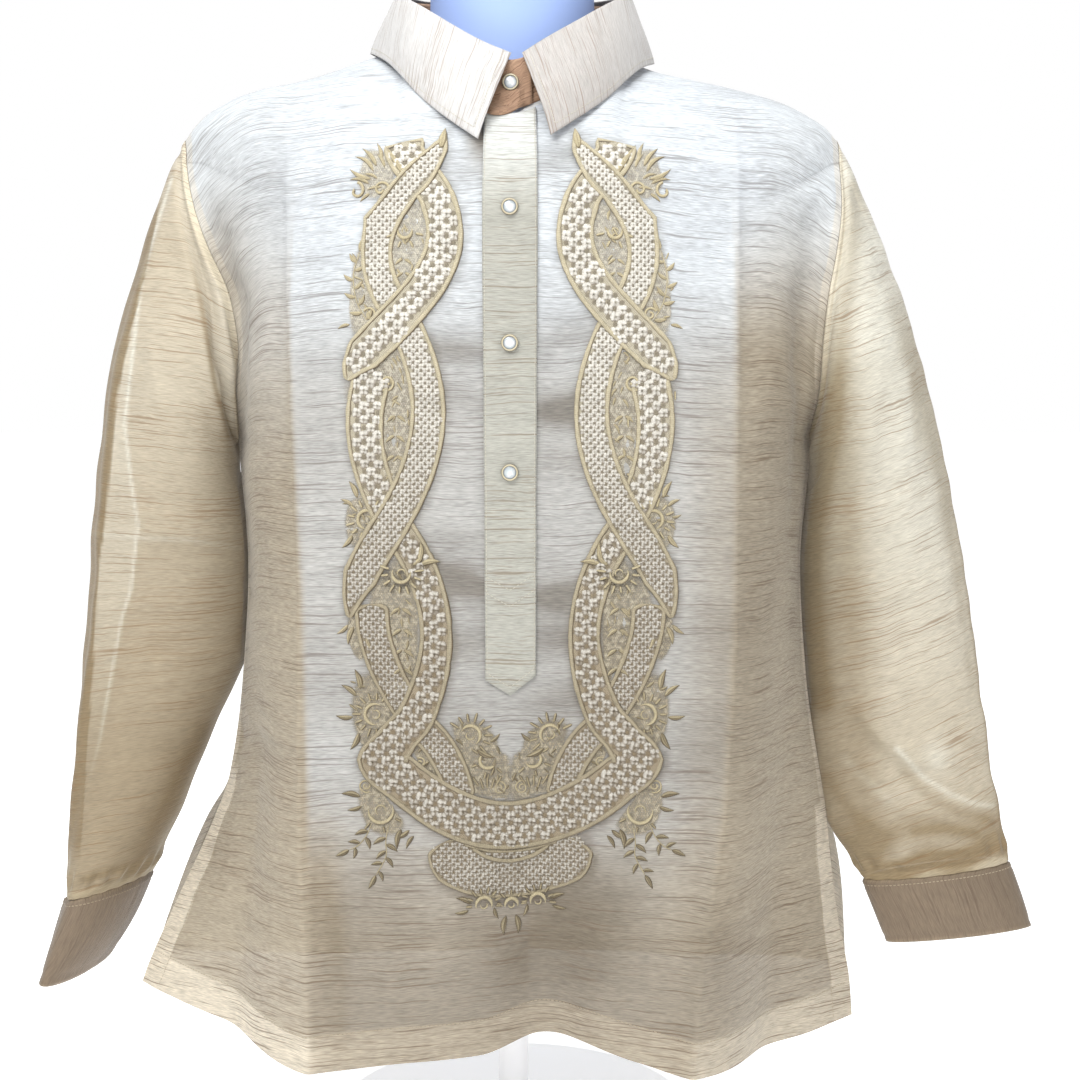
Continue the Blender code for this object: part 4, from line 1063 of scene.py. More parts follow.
# Soft troughs and ridges of the front, as seen from in front: points, half width, depth out.
FRONT_SOFT = [
    ([(-0.060, 0.680), (-0.040, 0.674), (-0.019, 0.676)], 0.010, -0.0026),
    ([(0.024, 0.676), (0.045, 0.671), (0.066, 0.678)], 0.010, -0.0026),
    ([(-0.058, 0.630), (-0.038, 0.622), (-0.018, 0.625)], 0.009, -0.0022),
    ([(0.024, 0.630), (0.060, 0.620)], 0.009, -0.0022),
    ([(-0.062, 0.571), (-0.040, 0.561), (-0.018, 0.565)], 0.011, -0.0026),
    ([(0.022, 0.562), (0.062, 0.572)], 0.011, -0.0024),
    ([(-0.064, 0.470), (-0.040, 0.458), (-0.018, 0.462)], 0.014, -0.0032),
    ([(0.020, 0.462), (0.040, 0.455), (0.060, 0.468)], 0.014, -0.0030),
    ([(-0.055, 0.410), (-0.020, 0.404), (0.010, 0.402)], 0.010, -0.0018),
    ([(0.010, 0.408), (0.055, 0.418)], 0.010, -0.0016),
    ([(-0.236, 0.700), (-0.205, 0.690), (-0.170, 0.700)], 0.016, -0.0040),
    ([(-0.226, 0.668), (-0.195, 0.650), (-0.160, 0.655)], 0.012, -0.0026),
    ([(0.245, 0.715), (0.205, 0.690), (0.165, 0.690)], 0.016, -0.0034),
    ([(0.236, 0.665), (0.200, 0.640), (0.165, 0.645)], 0.014, -0.0034),
    ([(0.232, 0.610), (0.200, 0.590), (0.160, 0.600)], 0.014, -0.0026),
    ([(-0.206, 0.585), (-0.180, 0.566), (-0.160, 0.560)], 0.010, -0.0022),
    ([(-0.210, 0.540), (-0.185, 0.532), (-0.158, 0.536)], 0.007, 0.0012),
    ([(0.226, 0.545), (0.195, 0.552), (0.164, 0.546)], 0.008, 0.0012),
    ([(-0.216, 0.420), (-0.185, 0.432), (-0.150, 0.430)], 0.010, -0.0016),
    ([(0.226, 0.400), (0.195, 0.418), (0.160, 0.416)], 0.012, -0.0020),
    ([(-0.230, 0.300), (-0.190, 0.320), (-0.150, 0.315)], 0.013, -0.0024),
    ([(0.240, 0.300), (0.200, 0.322), (0.155, 0.318)], 0.012, -0.0022),
    ([(-0.155, 0.210), (-0.120, 0.200), (-0.080, 0.206)], 0.009, 0.0014),
    ([(0.045, 0.185), (0.090, 0.200), (0.140, 0.192)], 0.010, 0.0016),
    ([(-0.130, 0.160), (-0.090, 0.170), (-0.050, 0.160)], 0.008, -0.0014),
    ([(0.060, 0.240), (0.030, 0.300), (0.010, 0.370)], 0.020, -0.0020),
]
BACK_SOFT = [
    ([(-0.200, 0.690), (-0.120, 0.675), (-0.030, 0.690)], 0.016, -0.0030),
    ([(0.205, 0.700), (0.120, 0.668), (0.020, 0.682)], 0.014, -0.0026),
    ([(-0.190, 0.600), (-0.100, 0.585), (-0.010, 0.596)], 0.013, -0.0024),
    ([(0.205, 0.590), (0.130, 0.572), (0.040, 0.580)], 0.012, -0.0022),
    ([(-0.180, 0.480), (-0.090, 0.470), (0.020, 0.478)], 0.015, -0.0024),
    ([(0.190, 0.500), (0.120, 0.470), (0.060, 0.440)], 0.013, -0.0022),
    ([(-0.150, 0.380), (-0.060, 0.395), (0.060, 0.385)], 0.012, 0.0016),
    ([(-0.200, 0.300), (-0.130, 0.320), (-0.070, 0.310)], 0.012, -0.0022),
    ([(0.080, 0.290), (0.150, 0.310), (0.210, 0.300)], 0.012, -0.0020),
]


def panel_lattice(back):
    surface = Surface(lambda s, t: panel_point(s, t, back), (-1, 1), (0, 1), 96, 100)
    cols, rows = (221, 201) if back else (289, 261)
    s = np.linspace(-1, 1, cols)
    t = np.linspace(0, 1, rows)
    S, T = np.meshgrid(s, t)
    p = surface.at(S, T)
    nrm = normals_of(p)
    if back:
        nrm = -nrm
    x, z = p[..., 0], p[..., 2]
    open_edge = smooth(T, 0.0, 0.02)
    out = crease_field(x, z, BACK_SOFT if back else FRONT_SOFT)
    out += waves(x, z, 11 if back else 5, 9, 5.0, 16.0, 0.0007)
    out += waves(x, z, 12 if back else 6, 9, 14.0, 40.0, 0.00022)
    pressed = smooth(z, 0.80, 0.70)
    for side in (-0.5, 0.5):
        out += 0.0016 * bell(S, side, 0.014) * pressed * (0.55 if back else 1.0)
    packed = 0.487 + 0.004 * np.sin(x * 21) + 0.002 * np.sin(x * 57 + 1)
    out += 0.0010 * bell(z, packed, 0.0035) - 0.0008 * bell(z, packed - 0.008, 0.006)
    keep = smooth(1 - np.abs(S), 0.0, 0.05) * smooth(1 - T, 0.0, 0.03)
    below = smooth(z, UNDERARM, UNDERARM - 0.12)
    out *= keep + (1 - keep) * below * 0.0
    flutter = waves(x, z, 31 if back else 30, 5, 9.0, 1.0, 0.0009) * bell(T, 0.0, 0.05) * keep
    p = p + nrm * (out + flutter)[..., None]
    nrm = normals_of(p)
    if back:
        nrm = -nrm
    along = arcs(p, 1)
    u = along - along[:, cols // 2 : cols // 2 + 1]
    v = arcs(p, 0) + p[:1, :, 2]
    return s, t, S, T, p, nrm, u, v


def panel_values(S, T, p, u, v, back):
    rise = arcs(p, 0)
    hem = smooth(rise, HEM_DEEP + 0.0008, HEM_DEEP - 0.0008)
    width = arcs(p, 1)
    from_left, from_right = width, width[:, -1:] - width
    vent_l = smooth(p[..., 2], VENT_TOP["left"] + 0.012, VENT_TOP["left"] + 0.008)
    vent_r = smooth(p[..., 2], VENT_TOP["right"] + 0.012, VENT_TOP["right"] + 0.008)
    facing = np.maximum(smooth(from_left, FACING + 0.0008, FACING - 0.0008) * vent_l, smooth(from_right, FACING + 0.0008, FACING - 0.0008) * vent_r)
    seam = np.maximum(smooth(from_left, 0.0075, 0.0065), smooth(from_right, 0.0075, 0.0065)) * 0.55
    shoulder = smooth((rise[-1:] - rise), 0.0080, 0.0070) * 0.5
    band = np.maximum.reduce([hem, facing, seam, shoulder])
    # painted paleness where the form lies close behind the sheer cloth; farther from it the cloth takes its far tone, a
    # painted shade of the dark inside
    near = np.exp(-((form_gap(p) / 0.030) ** 1.3))
    return {"band": band, "near": near, "painted_shade": np.zeros_like(near)}


# The pressed creases down the front, as seen from in front: height, and where the left and the right one run.
PRESSED = Table("z left right", (0.10, -0.1405, 0.1277), (0.295, -0.1440, 0.1509), (0.435, -0.1475, 0.1579), (0.644, -0.1581, 0.1600), (0.714, -0.1570, 0.1614), (0.794, -0.1546, 0.1579))


def front_painted_light(x, z):
    """How pale the cloth looks with the form close behind it, a painted paleness, and its hollows and folds in painted
    shade, placed one by one.
    """
    left = np.interp(z, [row[0] for row in PRESSED.rows], [row[1] for row in PRESSED.rows])
    right = np.interp(z, [row[0] for row in PRESSED.rows], [row[2] for row in PRESSED.rows])
    inside = smooth(x, left - 0.004, left + 0.003) * smooth(-x, -right - 0.006, -right + 0.004)
    high = smooth(z, np.where(x < 0, 0.560, 0.600), 0.735)
    falls = 0.60 + 0.40 * smooth(z, 0.560, 0.680)
    near = np.maximum(inside * falls, high) * (0.15 + 0.85 * smooth(z, 0.170, 0.330))
    near *= 1 - 0.12 * bell(x, right + 0.050, 0.026) * smooth(-z, -0.74, -0.66)
    near *= 1 - 0.50 * bell(x, -0.214, 0.026) * bell(z, 0.665, 0.060)
    near *= 1 - 0.55 * smooth(x, right - 0.050, right - 0.006) * smooth(-z, -0.66, -0.52)
    near *= 1 - 0.85 * bell(x, -0.0190, 0.0100) * bell(z, 0.766, 0.022)
    near -= 0.25 * inside * smooth(-x, 0.110, 0.135) * smooth(-z, -0.300, -0.240)
    painted_shade = 0.42 * bell(x, -0.214, 0.022) * bell(z, 0.665, 0.050)
    painted_shade += 0.26 * smooth(x, right + 0.010, right + 0.040) * smooth(-x, -right - 0.066, -right - 0.046) * bell(z, 0.580, 0.170)
    painted_shade += 0.90 * bell(x, -0.0190, 0.0100) * bell(z, 0.766, 0.022)
    painted_shade += 0.34 * bell(x, right + 0.012, 0.020) * bell(z, 0.400, 0.120)
    near += 0.16 * smooth(-x, 0.150, 0.165) * smooth(z, 0.50, 0.58) * smooth(-z, -0.66, -0.60)
    painted_shade += 0.12 * smooth(-x, 0.15, 0.17) * smooth(z, 0.66, 0.74) * smooth(-z, -0.79, -0.76)
    # painted shade: the middle falls away from the form lower down
    painted_shade += inside * (0.20 * smooth(-z, -0.680, -0.590) + 0.18 * smooth(-z, -0.450, -0.410) * (1 - 0.4 * smooth(-z, -0.330, -0.280)))
    painted_shade -= 0.22 * bell(x, -0.130, 0.030) * bell(z, 0.323, 0.022)
    painted_shade += 0.12 * bell(x, -0.142, 0.026) * bell(z, 0.672, 0.022) + 0.24 * bell(x, -0.172, 0.026) * bell(z, 0.722, 0.050) + 0.20 * bell(x, -0.205, 0.030) * bell(z, 0.645, 0.030)
    painted_shade += 0.34 * bell(x, 0.034, 0.046) * bell(z, 0.172, 0.024) + 0.14 * bell(x, 0.152, 0.014) * bell(z, 0.180, 0.030)
    # painted shade of folds to both sides of the placket: height, half width, how deep on the left and on the right
    folds = ((0.742, 0.013, 0.36, 0.56), (0.658, 0.010, 0.20, 0.14), (0.616, 0.011, 0.72, 0.42), (0.574, 0.012, 0.22, 1.10), (0.526, 0.011, 0.0, 0.30),
             (0.484, 0.010, 0.24, 0.0), (0.442, 0.012, 1.20, 1.10), (0.400, 0.013, 0.38, 0.50), (0.362, 0.015, 0.12, 0.40))
    for height, wide, deep_left, deep_right in folds:
        bend = height + 0.007 * np.sin(x * 26 + height * 50) + 0.10 * np.abs(x) - 0.003
        painted_shade += bell(z, bend, wide) * (deep_left * bell(x, -0.040, 0.032) + deep_right * bell(x, 0.042, 0.032))
    # painted shade in hollows, and painted light where the depth is negative: place, half widths and depth
    for x0, z0, rx, rz, deep in (
        (-0.140, 0.560, 0.030, 0.050, 0.10),
        (0.130, 0.520, 0.030, 0.022, -0.14),
        (0.125, 0.320, 0.030, 0.024, 0.20),
        (0.130, 0.372, 0.030, 0.018, -0.10),
        (-0.126, 0.200, 0.022, 0.045, 0.16),
        (0.040, 0.215, 0.036, 0.040, 0.50),
        (0.078, 0.225, 0.026, 0.028, 0.30),
        (0.148, 0.175, 0.016, 0.050, 0.22),
        (-0.090, 0.228, 0.030, 0.022, 0.24),
        (-0.056, 0.190, 0.016, 0.040, -0.10),
        (0.118, 0.200, 0.018, 0.050, -0.08),
    ):
        painted_shade += deep * bell(x, x0, rx) * bell(z, z0, rz)
    painted_shade += 0.46 * smooth(x, -0.150, -0.120) * smooth(-z, -0.250, -0.150) * (0.80 + 0.20 * bell(x, 0.0, 0.06))
    return np.clip(near, 0, 1), np.clip(painted_shade, 0, 1)


def build_panels(mats):
    kept = {}
    for back in (False, True):
        name = "back" if back else "front"
        s, t, S, T, p, nrm, u, v = panel_lattice(back)
        values = panel_values(S, T, p, u, v, back)
        if not back:
            x, z = p[..., 0], p[..., 2]
            values["near"], values["painted_shade"] = front_painted_light(x, z)
        faces = lattice_faces(len(t), len(s), flip=back)
        obj = make(f"{name}_cloth", p, faces, mats["body"], np.stack([u, v], -1), values)
        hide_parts(f"{name}_panel")
        kept[name] = (s, t, p, nrm, u, v)
        print(name, "area", round(area_of(p), 4), "box", p.reshape(-1, 3).min(0).round(4), p.reshape(-1, 3).max(0).round(4))
    return kept


# How far from the armhole seam the sleeve head's fold lies, by the angle round the armhole.
HEAD_FOLD = {
    "left": Table(
        "deg away deep",
        (0, 0.010, 0.0010),
        (36, 0.0133, 0.0030),
        (58, 0.0169, 0.0046),
        (74, 0.0246, 0.0052),
        (90, 0.0180, 0.0050),
        (107, 0.0125, 0.0040),
        (136, 0.0110, 0.0028),
        (165, 0.0100, 0.0010),
        (200, 0.0120, 0.0012),
        (250, 0.0170, 0.0030),
        (300, 0.0150, 0.0026),
        (360, 0.0100, 0.0010),
    ),
    "right": Table(
        "deg away deep",
        (0, 0.009, 0.0008),
        (40, 0.0060, 0.0022),
        (74, 0.0075, 0.0030),
        (107, 0.0060, 0.0026),
        (140, 0.0060, 0.0018),
        (170, 0.0060, 0.0006),
        (220, 0.0120, 0.0020),
        (270, 0.0170, 0.0030),
        (310, 0.0140, 0.0024),
        (360, 0.0090, 0.0008),
    ),
}
SLEEVE_SOFT = {
    "left": [
        ([(-0.236, 0.395), (-0.262, 0.385), (-0.300, 0.392)], 0.007, -0.0016),
        ([(-0.228, 0.470), (-0.260, 0.478), (-0.318, 0.474)], 0.0035, 0.0009),
        ([(-0.290, 0.330), (-0.262, 0.312), (-0.246, 0.300)], 0.008, -0.0020),
        ([(-0.330, 0.290), (-0.305, 0.262), (-0.285, 0.232)], 0.007, -0.0018),
        ([(-0.300, 0.600), (-0.280, 0.560), (-0.262, 0.500)], 0.010, -0.0020),
        ([(-0.270, 0.640), (-0.262, 0.590), (-0.250, 0.540)], 0.007, 0.0020),
    ],
    "right": [
        ([(0.262, 0.343), (0.2865, 0.314), (0.310, 0.298), (0.335, 0.292), (0.352, 0.280)], 0.0060, 0.0042),
        ([(0.258, 0.322), (0.284, 0.298), (0.312, 0.284), (0.340, 0.274)], 0.0080, -0.0034),
        ([(0.262, 0.390), (0.292, 0.352), (0.330, 0.330), (0.360, 0.322)], 0.0090, -0.0022),
        ([(0.300, 0.400), (0.330, 0.380), (0.355, 0.360)], 0.0070, 0.0016),
        ([(0.236, 0.466), (0.280, 0.470), (0.335, 0.472)], 0.0035, 0.0009),
        ([(0.275, 0.270), (0.300, 0.250), (0.340, 0.246), (0.372, 0.252)], 0.0060, -0.0022),
        ([(0.280, 0.590), (0.276, 0.520), (0.272, 0.450)], 0.0080, -0.0022),
        ([(0.296, 0.610), (0.296, 0.520), (0.300, 0.440)], 0.0090, 0.0016),
    ],
}


def seen(p):
    """Where points lie in a view from the front, as measured: 1080 by 1080, from the upper left."""
    tilt = math.radians(4.46)
    d = p - np.array((0.021, -1.39, 0.575))
    deep = d[..., 1] * math.cos(tilt) - d[..., 2] * math.sin(tilt)
    rise = d[..., 1] * math.sin(tilt) + d[..., 2] * math.cos(tilt)
    return 540 + 1794 * d[..., 0] / deep, 540 - 1794 * rise / deep


def by_line(u, v, points, half):
    """1 on a line of points, falling off to both sides."""
    best = np.full(u.shape, 1e9)
    for (ax, ay), (bx, by) in zip(points, points[1:]):
        length = math.hypot(bx - ax, by - ay)
        dx, dy = (bx - ax) / length, (by - ay) / length
        t = np.clip((u - ax) * dx + (v - ay) * dy, 0, length)
        best = np.minimum(best, np.hypot(u - ax - t * dx, v - ay - t * dy))
    return np.exp(-((best / half) ** 2))


def line_at(v, points):
    """How far across a line lies at each height."""
    return np.interp(v, [b for _, b in points], [a for a, _ in points])


# Lines of the left sleeve as seen from in front, across and down, along which its painted highlights and painted shade
# run
LEFT_CREASE = [(172, 178), (158, 222), (142, 277), (131, 370), (125, 425), (131, 480), (138, 524), (131, 590), (122, 618), (109, 689), (100, 740), (84, 800)]
LEFT_STRIP = [(169, 183), (158, 212), (144.5, 277), (131, 331), (117, 397), (109, 480), (105, 524), (99.5, 557), (95, 623), (92, 678), (86, 760), (80, 860)]
LEFT_INNER = [(172, 161), (184, 232), (199.5, 293), (208, 342), (215, 386), (230, 436)]
LEFT_SEAM = [(186, 150), (190, 221), (205, 260), (227, 293), (237, 315), (236, 370), (234, 440)]


def sleeve_painted_light(side, p, nrm):
    """Painted highlights and painted shade of a sleeve, placed one by one."""
    u, v = seen(p)
    face = smooth(-nrm[..., 1], 0.0, 0.35)
    z = p[..., 2]
    if side == "left":
        crease, strip = line_at(v, LEFT_CREASE), line_at(v, LEFT_STRIP)
        inner, seam = line_at(v, LEFT_INNER), line_at(v, LEFT_SEAM)
        outer = smooth(strip - u, -1.2, 1.2) * smooth(v, 190, 215) * smooth(-v, -870, -800)
        cream = smooth(u, strip - 1, strip + 1) * smooth(crease - u, -1, 1.5) * smooth(v, 215, 260) * smooth(-v, -800, -640)
        near = 0.08 + 0.10 * bell(v, 390, 80) + 0.24 * cream + 0.75 * by_line(u, v, LEFT_CREASE, 1.7) * smooth(-v, -800, -700)
        near += 0.20 * smooth(u, inner - 1, inner + 2) * smooth(seam - u, -1, 2) * smooth(-v, -444, -430)
        near += 0.35 * by_line(u, v, [(85, 532), (140, 538), (190, 540), (240, 548)], 2.5)
        painted_shade = 0.95 * outer + 0.75 * by_line(u, v, LEFT_INNER, 3.0) * smooth(v, 240, 320)
        painted_shade += 0.30 * by_line(u, v, [(230, 436), (243, 502), (248, 560), (244, 640)], 8)
        painted_shade += 0.12 * bell(v, 250, 30) + 0.14 * smooth(v, 536, 545) * smooth(u, crease, crease + 3) * smooth(-v, -720, -600)
        painted_shade += 0.20 * smooth(-z, -0.62, -0.45) + 0.10 * smooth(v, 560, 640) + 0.42 * smooth(-z, -0.44, -0.28)
        painted_shade += 0.30 * by_line(u, v, [(140, 868), (170, 800), (205, 730)], 12)
        painted_shade += 0.25 * by_line(u, v, [(85, 880), (110, 872), (140, 866)], 5)
    else:
        above = 891 - 0.2336 * (u - 870) - v
        near = 0.25 * smooth(above, 10, 30) + 0.75 * smooth(z, 0.28, 0.58) + 0.4 * smooth(-v, -270, -220)
        near += 0.75 * by_line(u, v, [(897, 749), (924, 778), (950, 794), (972, 803), (993, 806)], 2.6)
        near += 0.50 * bell(u, 938, 15) * bell(v, 757, 18) + 0.30 * by_line(u, v, [(844, 758), (866, 780), (888, 799)], 5)
        painted_shade = 0.14 * smooth(-z, -0.40, -0.30) + 0.22 * bell(u, 862, 34) * smooth(v, 330, 380) * smooth(-v, -700, -620)
        painted_shade += 0.55 * smooth(-p[..., 0], -0.268 - 0.10 * np.clip(0.60 - z, 0, 1), -0.238 - 0.10 * np.clip(0.60 - z, 0, 1)) * smooth(-z, -0.66, -0.55)
        painted_shade += 0.50 * by_line(u, v, [(856, 190), (849, 255), (844, 310), (838, 370), (830, 430), (822, 480), (814, 530), (812, 580), (816, 640), (822, 700)], 13)
        painted_shade += 0.85 * bell(above, 13 + 5 * np.sin(u * 0.09), 13) * smooth(u, 840, 880) + 0.42 * bell(above, 46 + 8 * np.sin(u * 0.05), 15)
        painted_shade += 0.20 * smooth(above, -5, 5) * smooth(-above, -95, -60)
        painted_shade += 0.40 * by_line(u, v, [(888, 866), (920, 858), (955, 852), (990, 848)], 3) + 0.35 * by_line(u, v, [(915, 832), (945, 828), (975, 834)], 5)
        painted_shade += 0.30 * by_line(u, v, [(905, 772), (930, 797), (960, 812), (985, 818)], 6)
        painted_shade += 0.20 * by_line(u, v, [(828, 778), (842, 800), (868, 828)], 8)
        painted_shade += 0.75 * smooth(nrm[..., 0], 0.62, 0.90) * smooth(-z, -0.70, -0.60) * smooth(p[..., 0], 0.24, 0.27)
    return np.clip(near * face, 0, 1), np.clip(painted_shade * (0.35 + 0.65 * face), 0, 1)


def build_sleeves(mats):
    kept = {}
    for side in ("left", "right"):
        surface = Surface(lambda deg, n: sleeve_point(side, n, deg), (0, 360), (0, 9), 72, 54, closed=True)
        deg = np.arange(0, 360, 2.0)
        n = np.linspace(0, 9, 200)
        D, Nn = np.meshgrid(deg, n)
        p = surface.at(D, Nn)
        if side == "right":
            # under the arm the sleeve lies close along the body's side
            p[..., 0] -= 0.0042 * bell(p[..., 2], 0.530, 0.026) * smooth(-p[..., 0], -0.250, -0.225)
            lower = np.interp(seen(p)[1], (700, 725, 760, 800, 820, 842, 856, 868), (0, 0.0030, 0.0034, 0.0036, 0.0058, 0.0036, 0.0010, 0))
            p[..., 0] -= lower * smooth(p[..., 0].min(axis=1, keepdims=True) + 0.024 - p[..., 0], 0.0, 0.022)
        nrm = normals_of(p, closed=True)
        outward = 1.0 if np.sum(nrm[100, 45] * np.array((0, -1, 0))) > 0 else -1.0
        nrm *= outward
        away = arcs(p, 0)
        fold = HEAD_FOLD[side]
        line = np.array([fold.at("away", d) for d in deg])[None]
        deep = np.array([fold.at("deep", d) for d in deg])[None]
        out = deep * (-bell(away, line, 0.0042) + 0.75 * bell(away, line * 0.45, 0.005) + 0.55 * bell(away, line + 0.011, 0.010))
        out *= smooth(away, 0.0, 0.004)
        front = smooth(-nrm[..., 1], -0.1, 0.5)
        x, z = p[..., 0], p[..., 2]
        out += crease_field(x, z, SLEEVE_SOFT[side]) * front
        out += crease_field(x, z - 0.03, SLEEVE_SOFT[side]) * (1 - front) * 0.8
        out += waves(x + p[..., 1], z, 41 if side == "left" else 42, 9, 7.0, 16.0, 0.0007) * smooth(away, 0.0, 0.05)
        reach = smooth(np.abs(x), 0.205 if side == "left" else 0.222, 0.235 if side == "left" else 0.255)
        out = np.where(away > 0.05, out * reach, out)
        ends = smooth(away[-1:] - away, 0.0, 0.012)
        gather = 0.0016 * np.sin(np.radians(D) * 17 + 1.0) * bell(away[-1:] - away, 0.008, 0.010) * ends
        p = p + nrm * (out * ends + gather)[..., None]
        nrm = normals_of(p, closed=True) * outward
        down = arcs(p, 0)
        v = down[-1:] - down
        # the last column meets the first: the tube is cut open there in the pattern
        u = np.concatenate([np.zeros((len(n), 1)), np.cumsum(np.linalg.norm(np.diff(p, axis=1), axis=-1), axis=1)], axis=1)
        seam = smooth(down, 0.0085, 0.0072) * 0.7
        cuff_seam = smooth(v, 0.0042, 0.0034) * 0.5
        x, z = p[..., 0], p[..., 2]
        near, painted_shade = sleeve_painted_light(side, p, nrm)
        # the threads run square to the sleeve, which hangs at a slant
        lean = 0.16 + 0.06 * smooth(-z, -0.50, -0.30) if side == "right" else 0.22 * smooth(-z, -0.56, -0.34)
        v = v - lean * (np.abs(x) - 0.30) * (1 if side == "right" else -1)
        values = {"band": np.maximum(seam, cuff_seam), "near": near, "painted_shade": np.clip(painted_shade, 0, 1)}
        # two short rows more reach inside the cuff
        tail = unit(p[-1] - p[-5]) * 0.0030 - nrm[-1] * 0.0006
        grow = lambda a: np.concatenate([a, a[-1:], a[-1:]], 0)
        shape = grow(p)
        shape[-2] += tail * 0.5
        shape[-1] += tail
        wrap = lambda a: np.concatenate([a, a[:, :1]], 1)
        round_trip = u[:, -1:] + np.linalg.norm(p[:, :1] - p[:, -1:], axis=-1)
        flat_u, flat_v = grow(np.concatenate([u, round_trip], 1)), grow(wrap(v))
        flat_v[-2] -= 0.0015
        flat_v[-1] -= 0.0030
        values = {key: grow(wrap(value)) for key, value in values.items()}
        shape = wrap(shape)
        faces = lattice_faces(len(shape), shape.shape[1], flip=outward < 0)
        obj = make(f"{side}_sleeve_cloth", shape, faces, mats["sleeve"], np.stack([flat_u, flat_v], -1), values)
        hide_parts(f"sleeve_{side}")
        kept[side] = (deg, n, p, nrm, u, v)
    return kept


# ================================================================ collar, cuffs, placket
def shell_of(p, nrm, thick, closed=False, cols_close=True):
    """A thin closed shell from one lattice of points: outer face, inner face and the edges between."""
    rows, cols = p.shape[:2]
    outer, inner = p + nrm * thick / 2, p - nrm * thick / 2
    points = np.concatenate([outer.reshape(-1, 3), inner.reshape(-1, 3)])
    faces = [lattice_faces(rows, cols, closed), lattice_faces(rows, cols, closed, flip=True) + rows * cols]

    def rim(a, closed_line):
        a = np.asarray(a)
        b = np.roll(a, -1) if closed_line else a[1:]
        c = a if closed_line else a[:-1]
        return np.stack([c, c + rows * cols, b + rows * cols, b], axis=-1)

    low = np.arange(cols)
    high = (rows - 1) * cols + low
    faces += [rim(low, closed), rim(high[::-1], closed)]
    if not closed:
        left = np.arange(rows) * cols
        faces += [rim(left[::-1], False), rim((left + cols - 1), False)]
    return points, np.concatenate(faces)


def line_on(p, nrm, path, lift=0.0):
    """Points and normals along a path given as fractional (row, column) places on a lattice."""
    path = np.asarray(path, float)
    rows, cols = p.shape[:2]
    r = np.clip(path[:, 0], 0, rows - 1.001)
    c = np.clip(path[:, 1], 0, cols - 1.001)
    i, j = r.astype(int), c.astype(int)
    fr, fc = (r - i)[:, None], (c - j)[:, None]

    def read(a):
        return (a[i, j] * (1 - fc) + a[i, j + 1] * fc) * (1 - fr) + (a[i + 1, j] * (1 - fc) + a[i + 1, j + 1] * fc) * fr

    q, m = read(p), unit(read(nrm))
    return q + m * lift, m


def stitch_run(heap, path, normal, pitch=0.0030, length=0.0021, wide=0.00034, high=0.00030):
    """Small rounded stitches end to end along a path on the cloth."""
    path, normal = np.asarray(path), np.asarray(normal)
    run = np.concatenate([[0], np.cumsum(np.linalg.norm(np.diff(path, axis=0), axis=1))])
    count = max(int(run[-1] / pitch), 1)
    mids = (np.arange(count) + 0.5) * run[-1] / count
    shape = [(-0.5, 0.35), (-0.30, 0.9), (0.0, 1.0), (0.30, 0.9), (0.5, 0.35)]
    for mid in mids:
        places = mid + np.array([k for k, _ in shape]) * length
        q = np.stack([np.interp(places, run, path[:, k]) for k in range(3)], -1)
        m = unit(np.stack([np.interp(places, run, normal[:, k]) for k in range(3)], -1))
        big = np.array([k for _, k in shape])
        points, faces, _ = tube(q, m, wide * big, high * big, around=4)
        heap.add(points, faces)


def build_cuffs(mats, heap):
    for side in ("left", "right"):
        surface = Surface(lambda deg, n: cuff_point(side, n, deg), (0, 360), (0, 1), 72, 8, closed=True)
        deg = np.arange(0, 360, 2.5)
        n = np.linspace(-0.02, 1.0, 34)
        D, Nn = np.meshgrid(deg, np.clip(n, 0, 1))
        p = surface.at(D, Nn)
        nrm = normals_of(p, closed=True)
        outward = 1.0 if np.sum(nrm[16, 36] * np.array((0, -1, 0))) > 0 else -1.0
        nrm *= outward
        out = waves(np.radians(D) * 0.05, Nn * 0.06, 51 if side == "left" else 52, 7, 9.0, 9.0, 0.0004)
        # the rim is rolled and the stitched rows sink a little
        out += -0.00045 * bell(Nn, 0.09, 0.03) - 0.00045 * bell(Nn, 0.91, 0.03)
        lap_deg = 232.0 if side == "left" else 228.0
        out += 0.0009 * smooth(D, lap_deg - 3, lap_deg) * smooth(lap_deg + 26 - D, 0, 3)
        # the rim at the sleeve turns in on the sleeve
        out -= 0.0021 * smooth(-Nn, -0.050, 0.0)
        if side == "left":
            out += 0.0022 * bell(D, 148.0 + 10 * Nn, 7.0)
        p = p + nrm * out[..., None]
        nrm = normals_of(p, closed=True) * outward
        points, faces = shell_of(p, nrm, 0.0013, closed=True)
        if outward < 0:
            faces = faces[:, ::-1]
        down = arcs(p, 0)
        loop = np.concatenate([np.zeros((len(n), 1)), np.cumsum(np.linalg.norm(np.diff(p, axis=1), axis=-1), axis=1)], axis=1)
        # its threads run along the arm
        uv = np.stack([down[-1:] - down, loop], -1).reshape(-1, 2)
        zero = np.zeros(len(uv))
        edge = np.maximum(smooth(down, 0.0022, 0.0010), smooth(down[-1:] - down, 0.0022, 0.0010)).reshape(-1)
        # painted shade on the cuff's back and towards its outer side
        painted_shade = (smooth(D, 186, 200) * smooth(354 - D, 0, 8) * 0.2 + smooth(D, 90, 165) * smooth(200 - D, 0, 20) * 0.28).reshape(-1)
        values = {"band": np.concatenate([edge, zero]), "near": np.concatenate([zero, zero + 1.0]), "painted_shade": np.concatenate([painted_shade, zero])}
        obj = make(f"{side}_cuff_cloth", points, faces, mats["cuff"], np.concatenate([uv, uv]), values)
        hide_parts(f"cuff_{side}")
        cols = len(deg)
        path = [(3.0, c) for c in np.arange(0, cols - 1.01, 1.0)]
        q, m = line_on(p, nrm, path, 0.00072)
        stitch_run(heap, q, m)


